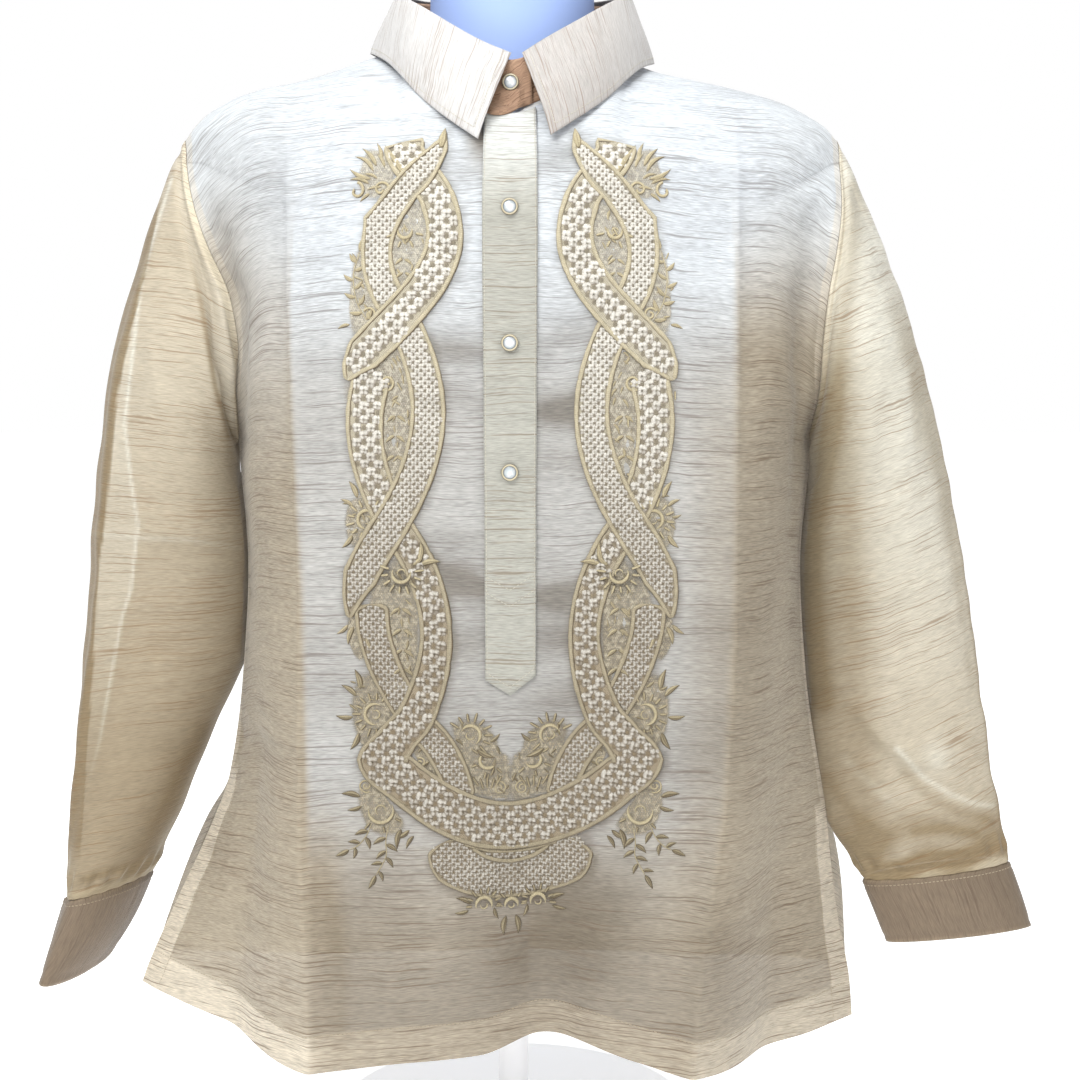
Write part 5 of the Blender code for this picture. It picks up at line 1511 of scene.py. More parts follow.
def build_collar(mats, heap, front):
    # the stand
    px, py, pz = (front[2][..., k][-60:, 100:190].ravel() for k in range(3))

    def front_depth(x, z):
        """How far forward the front lies near the neck, by the nearest of its points."""
        out = np.zeros_like(x)
        for i in np.ndindex(x.shape):
            if x[i] > -0.06 and x[i] < 0.03:
                out[i] = py[np.argmin((px - x[i]) ** 2 + (pz - z[i]) ** 2)]
        return out

    ends = STAND_OVERLAP_DEG
    surface = Surface(stand_point, (-ends, 360 + ends), (0, 1), 120, 4)
    deg = np.linspace(-ends, 360 + ends, 241)
    up = np.linspace(0, 1, 17)
    D, Up = np.meshgrid(deg, up)
    p = surface.at(D, Up)
    # its lower edge is sewn over the neckline
    lap = np.array([0.0052, 0.0024, 0.0008] + [0.0] * 14)[:, None]
    outward = unit(p[..., :2])
    p[..., :2] += outward * lap[..., None] * 0.42 * smooth(-p[..., 1:2], 0.02, 0.06)
    p[..., 2] -= lap
    # in front the lower edge runs on a slant across the placket, down towards the left
    slant = smooth(-p[..., 0], -0.010, 0.016) * smooth(p[..., 0], -0.046, -0.028) * smooth(-p[..., 1], 0.02, 0.05)
    low = np.array([1.0, 0.86, 0.68, 0.50, 0.34, 0.20, 0.08] + [0.0] * 10)[:, None]
    p[..., 2] -= 0.0092 * slant * low
    deepest = front_depth(p[..., 0], p[..., 2]) - 0.0050
    p[..., 1] = np.where(slant * low > 0.01, np.minimum(p[..., 1], deepest * smooth(low, 0.0, 0.35) + p[..., 1] * (1 - smooth(low, 0.0, 0.35))), p[..., 1])
    nrm = normals_of(p)
    if np.sum(nrm[8, 60] * np.array((1.0, 0, 0))) < 0:
        nrm, turned = -nrm, True
    else:
        turned = False
    points, faces = shell_of(p, nrm, 0.0012)
    if turned:
        faces = faces[:, ::-1]
    along, rise = arcs(p, 1), arcs(p, 0)
    uv = np.stack([along, rise], -1).reshape(-1, 2)
    k = len(uv)
    obj = make("collar_stand_cloth", points, faces, mats["stand"], np.concatenate([uv, uv]), {"band": np.zeros(2 * k), "near": np.zeros(2 * k), "painted_shade": np.zeros(2 * k)})
    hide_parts("collar_stand")
    print("stand area", round(area_of(p), 4), "long", round(float(along[8, -1]), 3))
    # the leaf
    surface = Surface(leaf_point, (0, 360), (0, 1), 144, 24)
    deg = np.linspace(0, 360, 361)
    down = np.linspace(0, 1, 41)
    D, Dn = np.meshgrid(deg, down)
    p = surface.at(D, Dn)
    nrm = normals_of(p)
    if np.sum(nrm[20, 90] * np.array((-1.0, 0, 0))) < 0:
        nrm, turned = -nrm, True
    else:
        turned = False
    out = waves(p[..., 0], p[..., 1] + p[..., 2], 61, 8, 10.0, 12.0, 0.0004) * np.sin(np.pi * np.clip(Dn, 0, 1))
    p = p + nrm * out[..., None]
    nrm = normals_of(p) * (-1 if turned else 1)
    points, faces = shell_of(p, nrm, 0.0013)
    if turned:
        faces = faces[:, ::-1]
    along, fall = arcs(p, 1), arcs(p, 0)
    # the leaf's threads run from its fold to its edge
    toward_back = np.minimum(along, along[:, -1:] - along)
    uv = np.stack([fall + 0.4 * smooth(D, 150, 210), toward_back], -1).reshape(-1, 2)
    k = len(uv)
    tip = np.maximum(smooth(along, 0.0016, 0.0006), smooth(along[:, -1:] - along, 0.0016, 0.0006))
    rim = np.maximum(tip, smooth(fall[-1:] - fall, 0.0016, 0.0006)).reshape(-1)
    # painted shade: the right leaf is darker, and the leaf's under face darker still
    right_leaf_shade = (smooth(D, 250, 340) * 0.9).reshape(-1)
    inside = np.ones(k)
    values = {"band": np.concatenate([rim, inside * 0]), "near": np.concatenate([1 - right_leaf_shade, inside * 0.1]), "painted_shade": np.concatenate([right_leaf_shade * 0.12, inside * 0.5])}
    obj = make("collar_leaf_cloth", points, faces, mats["collar"], np.concatenate([uv, uv]), values)
    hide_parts("collar_leaf")
    print("leaf area", round(area_of(p), 4), "long", along[:, -1].round(3)[[0, 20, 40]], "fall", fall[-1][[0, 90, 180, 270, 360]].round(3))
    # edge stitching, 5 mm in from the front edges and the lower edge
    step = 0.0050
    rows = np.arange(41.0)
    reach = float(fall[-1].mean())
    low_row = 40 * (1 - step / reach)
    col_left = np.array([np.interp(step, along[int(r)], np.arange(361.0)) for r in rows])
    col_right = np.array([np.interp(along[int(r), -1] - step, along[int(r)], np.arange(361.0)) for r in rows])
    inner = rows[rows <= low_row]
    path = [(r, col_left[int(r)]) for r in inner]
    path += [(low_row, c) for c in np.arange(math.ceil(col_left[-2]), col_right[-2], 1.0)]
    path += [(r, col_right[int(r)]) for r in inner[::-1]]
    q, m = line_on(p, nrm, path, 0.00072)
    stitch_run(heap, q, m, pitch=0.0027, length=0.0020, wide=0.00028, high=0.00024)


def build_placket(mats, front, heap):
    """The placket, laid on the front's own fine points."""
    s, t, p, nrm, u, v = front
    cols = np.linspace(-1, 1, 25)
    centre = len(s) // 2
    z_mid = p[:, centre, 2]
    t_of = lambda z: float(np.interp(z, z_mid, np.arange(len(t))))
    corner, point, top = t_of(PLACKET_CORNER_Z), t_of(PLACKET_POINT_Z), t_of(PLACKET_TOP_Z)
    rows = 150
    span = np.linspace(0, 1, rows)
    s_half = PLACKET_S
    col_of = lambda place: np.interp(place, s, np.arange(len(s)))
    path = []
    for k in span:
        for c in cols:
            low = point + (corner - point) * abs(c)
            path.append((low + (top - low) * k, col_of(c * s_half)))
    q, m = line_on(p, nrm, path)
    q, m = q.reshape(rows, len(cols), 3), m.reshape(rows, len(cols), 3)
    m = unit(m + np.array((0.0, -0.6, 0.0)))
    C, K = np.meshgrid(cols, span)
    rise = arcs(q, 0)
    lift = 0.0021 - 0.0006 * np.abs(C) ** 10
    lift += 0.00022 * (bell(np.abs(C), 0.93, 0.04) * 0.5 - bell(np.abs(C), 0.86, 0.035))
    lift += waves(q[..., 0] * 2, q[..., 2], 71, 9, 6.0, 26.0, 0.00028)
    lift += waves(q[..., 0] * 0.2, q[..., 2], 72, 9, 3.0, 70.0, 0.00016)
    q = q + m * lift[..., None]
    nq = normals_of(q)
    points, faces = shell_of(q, nq, 0.0012)
    uv = np.stack([arcs(q, 1), q[..., 2]], -1).reshape(-1, 2)
    k = len(uv)
    # painted light: the placket is paler at its top and darker lower down
    painted_light_top = smooth(q[..., 2], 0.70, 0.775).reshape(-1)
    values = {"band": np.zeros(2 * k), "near": np.concatenate([painted_light_top, painted_light_top]), "painted_shade": np.zeros(2 * k)}
    obj = make("placket_cloth", points, faces, mats["placket"], np.concatenate([uv, uv]), values)
    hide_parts("placket")
    wide = float(arcs(q, 1)[:, -1].mean())
    print("placket", round(wide, 4), rise[-1].mean().round(3), "area", round(area_of(q), 4))
    # edge stitching down both sides and round the point, and the box at the foot
    n_cols = len(cols)
    edge = 0.07 * (n_cols - 1) / 2
    run = [(r, edge) for r in np.arange(rows - 1.0, 1.0, -1.0)] + [(1.6, c) for c in np.arange(edge, n_cols - 1 - edge, 0.5)]
    run += [(r, n_cols - 1 - edge) for r in np.arange(2.0, rows - 1.0, 1.0)]
    a, b = line_on(q, nq, run, 0.00068)
    stitch_run(heap, a, b, pitch=0.0028, length=0.0020, wide=0.00026, high=0.00022)
    z_rows = q[:, n_cols // 2, 2]
    for z in (0.4415, 0.4300):
        r = float(np.interp(z, z_rows, np.arange(rows)))
        a, b = line_on(q, nq, [(r, c) for c in np.arange(edge, n_cols - 1 - edge + 0.01, 0.5)], 0.00068)
        stitch_run(heap, a, b, pitch=0.0028, length=0.0020, wide=0.00026, high=0.00022)
    return q, nq


def panel_stitches(kept, heap):
    """Hem, vent and side stitching of both panels."""
    for name, (s, t, p, nrm, u, v) in kept.items():
        rise, width = arcs(p, 0), arcs(p, 1)
        cols = len(s)
        inward_l = [float(np.interp(FACING, width[r], np.arange(cols))) for r in range(len(t))]
        inward_r = [float(np.interp(width[r, -1] - FACING, width[r], np.arange(cols))) for r in range(len(t))]
        run = []
        for c in np.arange(2.0, cols - 2.0, 1.0):
            run.append((float(np.interp(HEM_DEEP, rise[:, int(c)], np.arange(len(t)))), c))
        q, m = line_on(p, nrm, run, 0.00012)
        stitch_run(heap, q, m, pitch=0.0031, length=0.0022, wide=0.00030, high=0.00024)
        for inward, side in ((inward_l, "left"), (inward_r, "right")):
            col = 0 if side == "left" else cols - 1
            top = int(np.searchsorted(p[:, col, 2], VENT_TOP[side] + 0.010))
            run = [(float(r), inward[r]) for r in range(1, top)]
            across = np.linspace(inward[top - 1], col, 12)
            run += [(float(top - 1), float(c)) for c in across[1:-1]]
            q, m = line_on(p, nrm, run, 0.00012)
            stitch_run(heap, q, m, pitch=0.0031, length=0.0022, wide=0.00030, high=0.00024)


def build_buttons(mats, q, nq, kept):
    """Pearl buttons with a raised rim, in place of the plain discs."""
    rim_profile = [(0.73, 0.56), (0.76, 0.88), (0.83, 1.00), (0.90, 0.94), (0.96, 0.78), (1.0, 0.50), (0.95, 0.20), (0.78, 0.06), (0.4, 0.0), (0.0, 0.0)]
    # painted shade: the rim darker at its inner edge and its outer foot, the pearl darker towards its rim
    rim_shade = [0.75, 0.15, 0.0, 0.05, 0.65, 1.0, 1.0, 1.0, 1.0, 1.0]
    face_profile = [(0.0, 0.90), (0.16, 0.90), (0.30, 0.88), (0.44, 0.85), (0.58, 0.80), (0.68, 0.72), (0.755, 0.60), (0.755, 0.30)]
    face_shade = [0.0, 0.0, 0.10, 0.34, 0.62, 0.85, 1.0, 1.0]
    names = ["button_1", "button_2", "button_3", "button_4", "cuff_button_left", "cuff_button_right"]
    for name in names:
        lo, hi = (np.array(v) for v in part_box(name))
        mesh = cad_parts[name].data
        co = np.empty(len(mesh.vertices) * 3, np.float32)
        mesh.vertices.foreach_get("co", co)
        co = co.reshape(-1, 3).astype(float)
        centre = (lo + hi) / 2
        around = co - co.mean(0)
        _, _, axes = np.linalg.svd(around, full_matrices=False)
        normal = axes[2]
        facing = np.array((0.0, -1.0, 0.0)) if name.startswith("button") else centre - np.array((-0.325 if "left" in name else 0.345, 0.0, centre[2]))
        if np.dot(normal, facing) < 0:
            normal = -normal
        depth = around @ normal
        radius = np.linalg.norm(around - depth[:, None] * normal, axis=1).max()
        thick = depth.max() - depth.min()
        base = co.mean(0) + normal * depth.min()
        right = unit(np.cross((0.0, 0.0, 1.0), normal))
        up = np.cross(normal, right)
        seg = 48
        a = 2 * np.pi * np.arange(seg) / seg

        def turned(profile):
            r = np.array([k for k, _ in profile]) * radius
            h = np.array([k for _, k in profile]) * thick
            ring = right[None] * np.cos(a)[:, None] + up[None] * np.sin(a)[:, None]
            return base + r[:, None, None] * ring[None] + (h[:, None, None] * normal)

        heap = Heap()
        lat = turned(rim_profile)
        heap.add(lat, lattice_faces(len(lat), seg, closed=True, flip=True), shade=np.repeat(rim_shade, seg))
        rim = heap.build(name + "_rim", mats["rim"], "pearl_button")
        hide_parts(name)
        heap = Heap()
        lat = turned(face_profile)
        heap.add(lat, lattice_faces(len(lat), seg, closed=True, flip=True), shade=np.repeat(face_shade, seg))
        heap.build(name + "_pearl", mats["pearl"], "pearl_button")


def build_form(mats):
    """The dress form, its pole and base, turned smoothly."""
    zs = []
    for (a, *_), (b, *_) in zip(FORM.rows, FORM.rows[1:]):
        count = max(int((b - a) / 0.006), 3)
        zs += list(np.linspace(a, b, count, endpoint=False))
    zs.append(FORM.rows[-1][0])
    a = 2 * np.pi * np.arange(120) / 120
    rows = []
    for z in zs:
        w, front, back = (FORM.at(c, z) for c in FORM.columns[1:])
        depth = np.where(np.sin(a) > 0, back, -front)
        rows.append(np.stack([w * np.cos(a), depth * np.sin(a), np.full_like(a, z)], -1))
    for z, share in ((0.9372, 0.80), (0.9374, 0.45), (0.9374, 0.05)):
        rows.append(rows[len(zs) - 1] * (share, share, 0) + (0, 0, z - 0.0004))
    low = rows[0] * (1, 1, 0) + (0, 0, 0.2378)
    rows = [low * (share, share, 1) for share in (0.05, 0.45, 0.85)] + rows
    p = np.array(rows)
    obj = make("dress_form", p, capped_faces(len(p), 120), mats["form"])
    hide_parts("form_torso")

    def turned(name, profile, node, look="enamel"):
        r = np.array([k for k, _ in profile])
        z = np.array([k for _, k in profile])
        ring = np.stack([np.cos(a), np.sin(a), np.zeros_like(a)], -1)
        q = r[:, None, None] * ring[None] + z[:, None, None] * np.array((0, 0, 1.0))
        obj = make(name, q, capped_faces(len(q), 120), mats[look])
        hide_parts(node)

    turned("stand_pole", [(0.0005, 0.0163), (0.012, 0.0163), (0.012, 0.020), (0.012, 0.234), (0.012, 0.2377), (0.0005, 0.2377)], "form_pole", "pole")
    r = BASE_DIAMETER / 2
    turned(
        "stand_base",
        [(0.0005, 0.0), (r - 0.004, 0.0), (r - 0.0012, 0.0012), (r, 0.004), (r, 0.012), (r - 0.0012, 0.0148), (r - 0.004, 0.0159), (r - 0.02, 0.016), (0.05, 0.016), (0.0005, 0.016)],
        "form_base",
    )


# ================================================================ embroidery
# Worked out in the plane of the front, in x and z, then laid on the cloth.
CROSS_Z = (0.7340, 0.6340, 0.4900, 0.3490)      # the ribbons' crossings, from the top
CROSS_X = (0.0620, 0.0770, 0.0830, 0.0680)
SWING = (0.0235, 0.0225, 0.0225)                # how far the ribbons bow between them
COARSE = 0.0049         # grid of the large stars, and of the small ones
FINE = 0.0027


class Cloth:
    """The front's surface over x and z, for laying things on it."""

    def __init__(self, front):
        s, t, p, nrm, u, v = front
        flat = p.reshape(-1, 3)
        tree = BVHTree.FromPolygons(flat.tolist(), lattice_faces(p.shape[0], p.shape[1]).tolist())
        self.x0, self.z0, self.step = -0.150, 0.165, 0.002
        self.nx, self.nz = 151, 316
        y = np.zeros((self.nz, self.nx))
        last = -0.13
        for j in range(self.nz):
            for i in range(self.nx):
                hit = tree.ray_cast(Vector((self.x0 + i * self.step, -0.5, self.z0 + j * self.step)), Vector((0, 1, 0)))
                if hit[0] is not None:
                    last = hit[0][1]
                y[j, i] = last
        self.y = y
        gz, gx = np.gradient(y, self.step)
        self.n = unit(np.stack([gx, -np.ones_like(y), gz], -1))

    def lay(self, x, z, h):
        x, z, h = np.broadcast_arrays(x, z, h)
        a = np.clip((x - self.x0) / self.step, 0, self.nx - 1.001)
        b = np.clip((z - self.z0) / self.step, 0, self.nz - 1.001)
        i, j = a.astype(int), b.astype(int)
        fa, fb = a - i, b - j

        def read(g):
            e = (..., None) if g.ndim == 3 else (...,)
            wa, wb = fa[e], fb[e]
            return (g[j, i] * (1 - wa) + g[j, i + 1] * wa) * (1 - wb) + (g[j + 1, i] * (1 - wa) + g[j + 1, i + 1] * wa) * wb

        y, n = read(self.y), unit(read(self.n))
        return np.stack([x, y, z], -1) + n * h[..., None], n


def spline(points, step=0.0016):
    """A smooth curve through points of the plane, evenly spaced; columns after x and z ride along."""
    pts = np.asarray(points, float)
    pts = np.concatenate([2 * pts[:1] - pts[1:2], pts, 2 * pts[-1:] - pts[-2:-1]])
    fine = []
    for k in range(1, len(pts) - 2):
        p0, p1, p2, p3 = pts[k - 1 : k + 3]
        for f in np.linspace(0, 1, 16, endpoint=False):
            fine.append(0.5 * (2 * p1 + (p2 - p0) * f + (2 * p0 - 5 * p1 + 4 * p2 - p3) * f**2 + (3 * p1 - p0 - 3 * p2 + p3) * f**3))
    fine.append(pts[-2])
    fine = np.array(fine)
    run = np.concatenate([[0], np.cumsum(np.linalg.norm(np.diff(fine[:, :2], axis=0), axis=1))])
    count = max(int(round(run[-1] / step)), 3)
    at = np.linspace(0, run[-1], count + 1)
    return np.stack([np.interp(at, run, fine[:, k]) for k in range(fine.shape[1])], -1)


class Ribbon:
    """A ribbon of lattice work along a centre line in the plane."""

    def __init__(self, name, points, grid, start=(0.004, 0.5), end=(0.004, 0.5), points_out=()):
        """points: x, z and half width. start, end: over what length it narrows to its end, and the power."""
        self.name, self.grid = name, grid
        line = spline(points)
        self.c = line[:, :2]
        tangent = unit(np.gradient(self.c, axis=0))
        self.n = np.stack([tangent[:, 1], -tangent[:, 0]], -1)      # to the right of the way
        self.s = np.concatenate([[0], np.cumsum(np.linalg.norm(np.diff(self.c, axis=0), axis=1))])
        length = self.s[-1]
        taper = np.clip(self.s / start[0], 0, 1) ** start[1] if start[0] else np.ones_like(self.s)
        taper = taper * (np.clip((length - self.s) / end[0], 0, 1) ** end[1] if end[0] else 1.0)
        self.left = self.right = np.maximum(line[:, 2], 0.0005) * np.clip(taper, 0.03, 1)
        for place, side, share in points_out:
            k = int(np.argmin(np.linalg.norm(self.c - np.array(place), axis=1)))
            swell = 1 + share * np.exp(-np.abs(self.s - self.s[k]) / 0.0080)
            if side > 0:
                self.right = self.right * swell
            else:
                self.left = self.left * swell

    def at(self, s, t):
        """A place of the plane at a length along the ribbon and a share across it, -1 to 1."""
        c = np.stack([np.interp(s, self.s, self.c[:, k]) for k in range(2)], -1)
        n = unit(np.stack([np.interp(s, self.s, self.n[:, k]) for k in range(2)], -1))
        half = np.where(t > 0, np.interp(s, self.s, self.right), np.interp(s, self.s, self.left))
        return c + n * (t * half)[..., None]

    def depth_in(self, q):
        """How deep inside the ribbon places of the plane lie; negative outside."""
        q = np.asarray(q, float)
        flat = q.reshape(-1, 2)
        best = np.full(len(flat), -1.0)
        c, n = self.c[::2], self.n[::2]
        right, left = self.right[::2], self.left[::2]
        for start in range(0, len(flat), 4000):
            part = flat[start : start + 4000]
            d = part[:, None] - c[None]
            dist = np.linalg.norm(d, axis=-1)
            side = np.einsum("ijk,jk->ij", d, n)
            k = np.argmin(dist, axis=1)
            row = np.arange(len(part))
            half = np.where(side[row, k] > 0, right[k], left[k])
            best[start : start + 4000] = half - dist[row, k]
        return best.reshape(q.shape[:-1])


def mirrored(points, sign):
    return [(sign * row[0], *row[1:]) for row in points]


def bow(k, hand):
    """A place on a ribbon k crossings down; hand 1 bows outward below the even crossings, -1 inward."""
    z = float(np.interp(k, np.arange(4.0), CROSS_Z))
    mid = float(np.interp(k, np.arange(4.0), CROSS_X))
    swing = math.sin(math.pi * k)
    swing = math.copysign(abs(swing) ** 0.90, swing)
    return mid + hand * swing * SWING[min(int(k), 2)], z


def bezier(a, b, c, d, count):
    f = np.linspace(0, 1, count)[:, None]
    a, b, c, d = (np.array(q, float)[None] for q in (a, b, c, d))
    return [tuple(q) for q in a * (1 - f) ** 3 + 3 * b * f * (1 - f) ** 2 + 3 * c * f**2 * (1 - f) + d * f**3]


def plait():
    """The ribbons of one side, as x, z, half width: fine and coarse above, each ending in a leaf point, and the two below."""
    wide = lambda rows, low, high: [(x, z, low + (high - low) * f) for (x, z), f in zip(rows, np.linspace(0, 1, len(rows)))]
    steps = lambda a, b, n: np.linspace(a, b, n)
    fine_1 = [(0.0452, 0.7630, 0.0006), (0.0490, 0.7510, 0.0046)] + wide([bow(k, 1) for k in steps(0, 1.98, 17)], 0.0092, 0.0118)
    fine_1 += wide(bezier(bow(2.0, 1), (0.0990, 0.4640), (0.1120, 0.4460), (0.1140, 0.4210), 6)[1:], 0.0122, 0.0104)
    coarse_1 = [(0.0752, 0.7560, 0.0140), (0.0715, 0.7440, 0.0126)] + wide([bow(k, -1) for k in steps(0.12, 0.98, 8)], 0.0112, 0.0128)
    coarse_1 += wide(bezier(bow(1.0, -1), (0.0950, 0.6130), (0.1090, 0.6060), (0.1150, 0.5890), 6)[1:], 0.0130, 0.0116)
    coarse_2 = wide([bow(k, -1) for k in steps(1.32, 2.0, 6)], 0.0128, 0.0110) + wide([bow(k, -1) for k in steps(2.14, 2.5, 4)], 0.0106, 0.0100)
    coarse_2 += wide([bow(k, -1) for k in steps(2.62, 3.0, 4)], 0.0102, 0.0124)
    fine_2 = wide([bow(k, 1) for k in steps(2.42, 3.0, 5)], 0.0112, 0.0100) + [(0.0520, 0.3310, 0.0102), (0.0410, 0.3110, 0.0100), (0.0345, 0.2900, 0.0096)]
    return fine_1, coarse_1, coarse_2, fine_2


def lattice_ribbon(ribbon, cloth, ground, cords, stars, covers, lift, cord_half=0.00186, low=0.00045, net=True):
    """Lays a ribbon: its ground, the stars on it and the cords along its edges, where nothing of covers lies over it."""

    def hidden(q):
        deep = np.full(np.shape(q)[:-1], -1.0)
        for other, top, foot in covers:
            z = q[..., 1]
            deep = np.maximum(deep, np.where((z < top) & (z > foot), other.depth_in(q), -1.0))
        return deep

    length = ribbon.s[-1]
    rows = max(int(length / 0.0024), 8)
    s = np.linspace(0, length, rows)
    t = np.linspace(-1, 1, 9)
    S, T = np.meshgrid(s, t, indexing="ij")
    q = ribbon.at(S, T)
    h = low + lift(q) * 0.0007
    p, _ = cloth.lay(q[..., 0], q[..., 1], h)
    # the stars stand in level rows, on every other place of the grid
    g, gz = ribbon.grid, ribbon.grid * 1.05
    uv = np.stack([q[..., 0] / g, q[..., 1] / gz], -1)
    ground.add(p, lattice_faces(rows, len(t), flip=True), uv, shade=0.0)
    low_end, high_end = ribbon.c.min(0) - 0.03, ribbon.c.max(0) + 0.03
    i, j = np.meshgrid(np.arange(round(low_end[0] / g), round(high_end[0] / g)), np.arange(round(low_end[1] / gz), round(high_end[1] / gz)), indexing="ij")
    q = np.stack([i * g, j * gz], -1)[(i + j) % 2 == 0]
    q = q[ribbon.depth_in(q) > cord_half + g * 0.16]
    q = q[hidden(q) < 0.0006]
    stars.append((q, np.zeros(len(q)), np.full(len(q), g), low + lift(q) * 0.0007))
    # cords down both edges
    for side in (-1, 1):
        edge = ribbon.at(ribbon.s, np.full_like(ribbon.s, side * 0.97))
        covered = hidden(edge)
        run = []
        for k in range(len(edge)):
            if covered[k] < 0.0016:
                run.append(k)
            elif run:
                lay_cord(edge[run], cloth, cords, cord_half, lift)
                run = []
        if run:
            lay_cord(edge[run], cloth, cords, cord_half, lift)


def round_shade(around, path=None):
    """Dark at the foot of a round thread and on its side away from the light, clear on its top."""
    a = 2 * np.pi * np.arange(around) / around
    shade = 1.0 - np.sin(a) * 1.25
    if path is None:
        return np.clip(shade, 0, 1)
    way = unit(np.gradient(np.asarray(path, float), axis=0))
    away = way[:, 1] * 0.55 + way[:, 0] * 0.83
    return np.clip(shade[None] + 0.85 * np.cos(a)[None] * away[:, None], 0, 1)


def lay_cord(path, cloth, heap, half, lift=None, high=None, around=10, seed=7, wobble=0.09, ends=True):
    """A padded satin cord along a path of the plane."""
    if len(path) < 4:
        return
    path = np.asarray(path, float)
    high = half * 0.66 if high is None else high
    run = np.concatenate([[0], np.cumsum(np.linalg.norm(np.diff(path, axis=0), axis=1))])
    rng = np.random.default_rng(seed + int(abs(path[0, 0]) * 1e5) + int(path[0, 1] * 1e4))
    wide = 1 + wobble * np.interp(run, np.linspace(0, run[-1], max(int(run[-1] / 0.006), 2) + 2), rng.normal(0, 1, max(int(run[-1] / 0.006), 2) + 2))
    # the needle's starts and stops show as nicks
    for at in np.arange(rng.uniform(0.01, 0.03), run[-1], 0.027):
        wide = wide * (1 - rng.uniform(0.10, 0.26) * np.exp(-(((run - at - rng.normal(0, 0.004)) / 0.0009) ** 2)))
    if ends:
        cap = np.sqrt(np.clip(np.minimum(run, run[-1] - run) / (half * 1.1) + 0.04, 0, 1))
        wide = wide * cap
    up = 0.0002 if lift is None else 0.00025 + lift(path) * 0.0007
    base, normal = cloth.lay(path[:, 0], path[:, 1], np.broadcast_to(up, (len(path),)))
    points, faces, uv = tube(base, normal, half * wide, high * np.clip(wide, 0, 1.1), around=around)
    heap.add(points, faces, uv, shade=round_shade(around, path))


def star_shapes(count=9, seed=9):
    """Star stitches of unit radius: uneven petals raised to the middle, shaded at their feet and between them."""
    rng = np.random.default_rng(seed)
    seg = 16
    a = 2 * np.pi * np.arange(seg) / seg
    shapes = []
    for _ in range(count):
        lobe = np.abs(np.sin(2 * (a + rng.normal(0, 0.05)))) ** 0.8
        arm = rng.uniform(0.84, 1.10, 4)[(np.arange(seg) * 4 // seg)]
        reach = (0.66 + 0.16 * lobe) * (1 + rng.normal(0, 0.06, seg))
        off = rng.normal(0, 0.07, 2)
        tone = rng.normal(0, 0.10, seg) - 0.16 * (arm - 0.9)
        points, uv, shade = [], [], []
        for share, high, drop, dark, pit in ((0.16, 0.50, 0.0, 0.52, 0.0), (0.52, 1.0, 0.45, 0.02, 0.46), (1.0, 0.30, 0.40, 0.52, 0.48)):
            points.append(np.stack([np.cos(a) * reach * share + off[0] * (1 - share), np.sin(a) * reach * share + off[1] * (1 - share), (high - drop * (1 - lobe)) * arm], -1))
            uv.append(np.stack([a / (2 * np.pi) * 12 * 0.0013, np.full(seg, share)], -1))
            # painted shade on the side away from the light, painted light on the side towards it
            light = 0.40 * (np.cos(a) * 0.55 - np.sin(a) * 0.83) * share
            shade.append(np.clip(dark + pit * (1 - lobe) + light + tone + rng.normal(0, 0.06, seg), 0, 1))
        shapes.append((np.array(points), lattice_faces(3, seg, closed=True), np.array(uv), np.array(shade)))
    return shapes


def lay_stars(stars, cloth, heap, seed=3, soft=1.0, wide=1.0):
    shapes = star_shapes()
    rng = np.random.default_rng(seed)
    total = 0
    for q, turn, grid, up in stars:
        for centre, angle, g, h in zip(q, turn, grid, up):
            points, faces, uv, shade = shapes[rng.integers(len(shapes))]
            size = g * wide * rng.uniform(0.94, 1.06)
            angle = angle + rng.normal(0, 0.08)
            squeeze = rng.uniform(0.93, 1.07)
            x, z = points[..., 0] * size * squeeze, points[..., 1] * size / squeeze
            c, s = math.cos(angle), math.sin(angle)
            px = centre[0] + x * c - z * s + rng.normal(0, 0.03 * g)
            pz = centre[1] + x * s + z * c + rng.normal(0, 0.03 * g)
            lean = 1 + points[..., 0] * rng.normal(0, 0.34) + points[..., 1] * rng.normal(0, 0.34)
            p, _ = cloth.lay(px, pz, h + points[..., 2] * lean * g * rng.uniform(0.20, 0.30))
            heap.add(p, faces[:, ::-1], uv, shade=np.clip(soft * shade + rng.uniform(-0.07, 0.11), 0, 1))
            total += 1
    print("stars", total)


LEAF = {}


def leaf_shape(kind):
    """A satin leaf of unit length: two halves that dip at the vein, and a pointed tip. A ray is a plain rounded bar."""
    if kind not in LEAF:
        rows, cols = 9, 7
        t = np.linspace(0, 1, rows)
        w = np.linspace(-1, 1, cols)
        T, W = np.meshgrid(t, w, indexing="ij")
        if kind == "leaf":
            wide = np.clip(np.sin(np.pi * T**0.85), 0.02, 1) ** 0.8 * (1 - 0.30 * T)
            high = (1 - W**2) ** 0.5 * (0.62 + 0.38 * np.abs(W) ** 0.5) * np.clip(np.sin(np.pi * T) * 1.6, 0.05, 1) * 0.30
            bend = 0.10 * np.sin(np.pi * T)
        else:
            wide = np.clip(np.minimum(T * 7, (1 - T) * 5), 0.05, 1) ** 0.5
            high = (1 - W**2) ** 0.5 * np.clip(np.minimum(T * 6, (1 - T) * 5), 0.05, 1) ** 0.5 * 0.55
            bend = np.zeros_like(T)
        LEAF[kind] = T, W * wide, high, bend, lattice_faces(rows, cols, flip=True)
    return LEAF[kind]


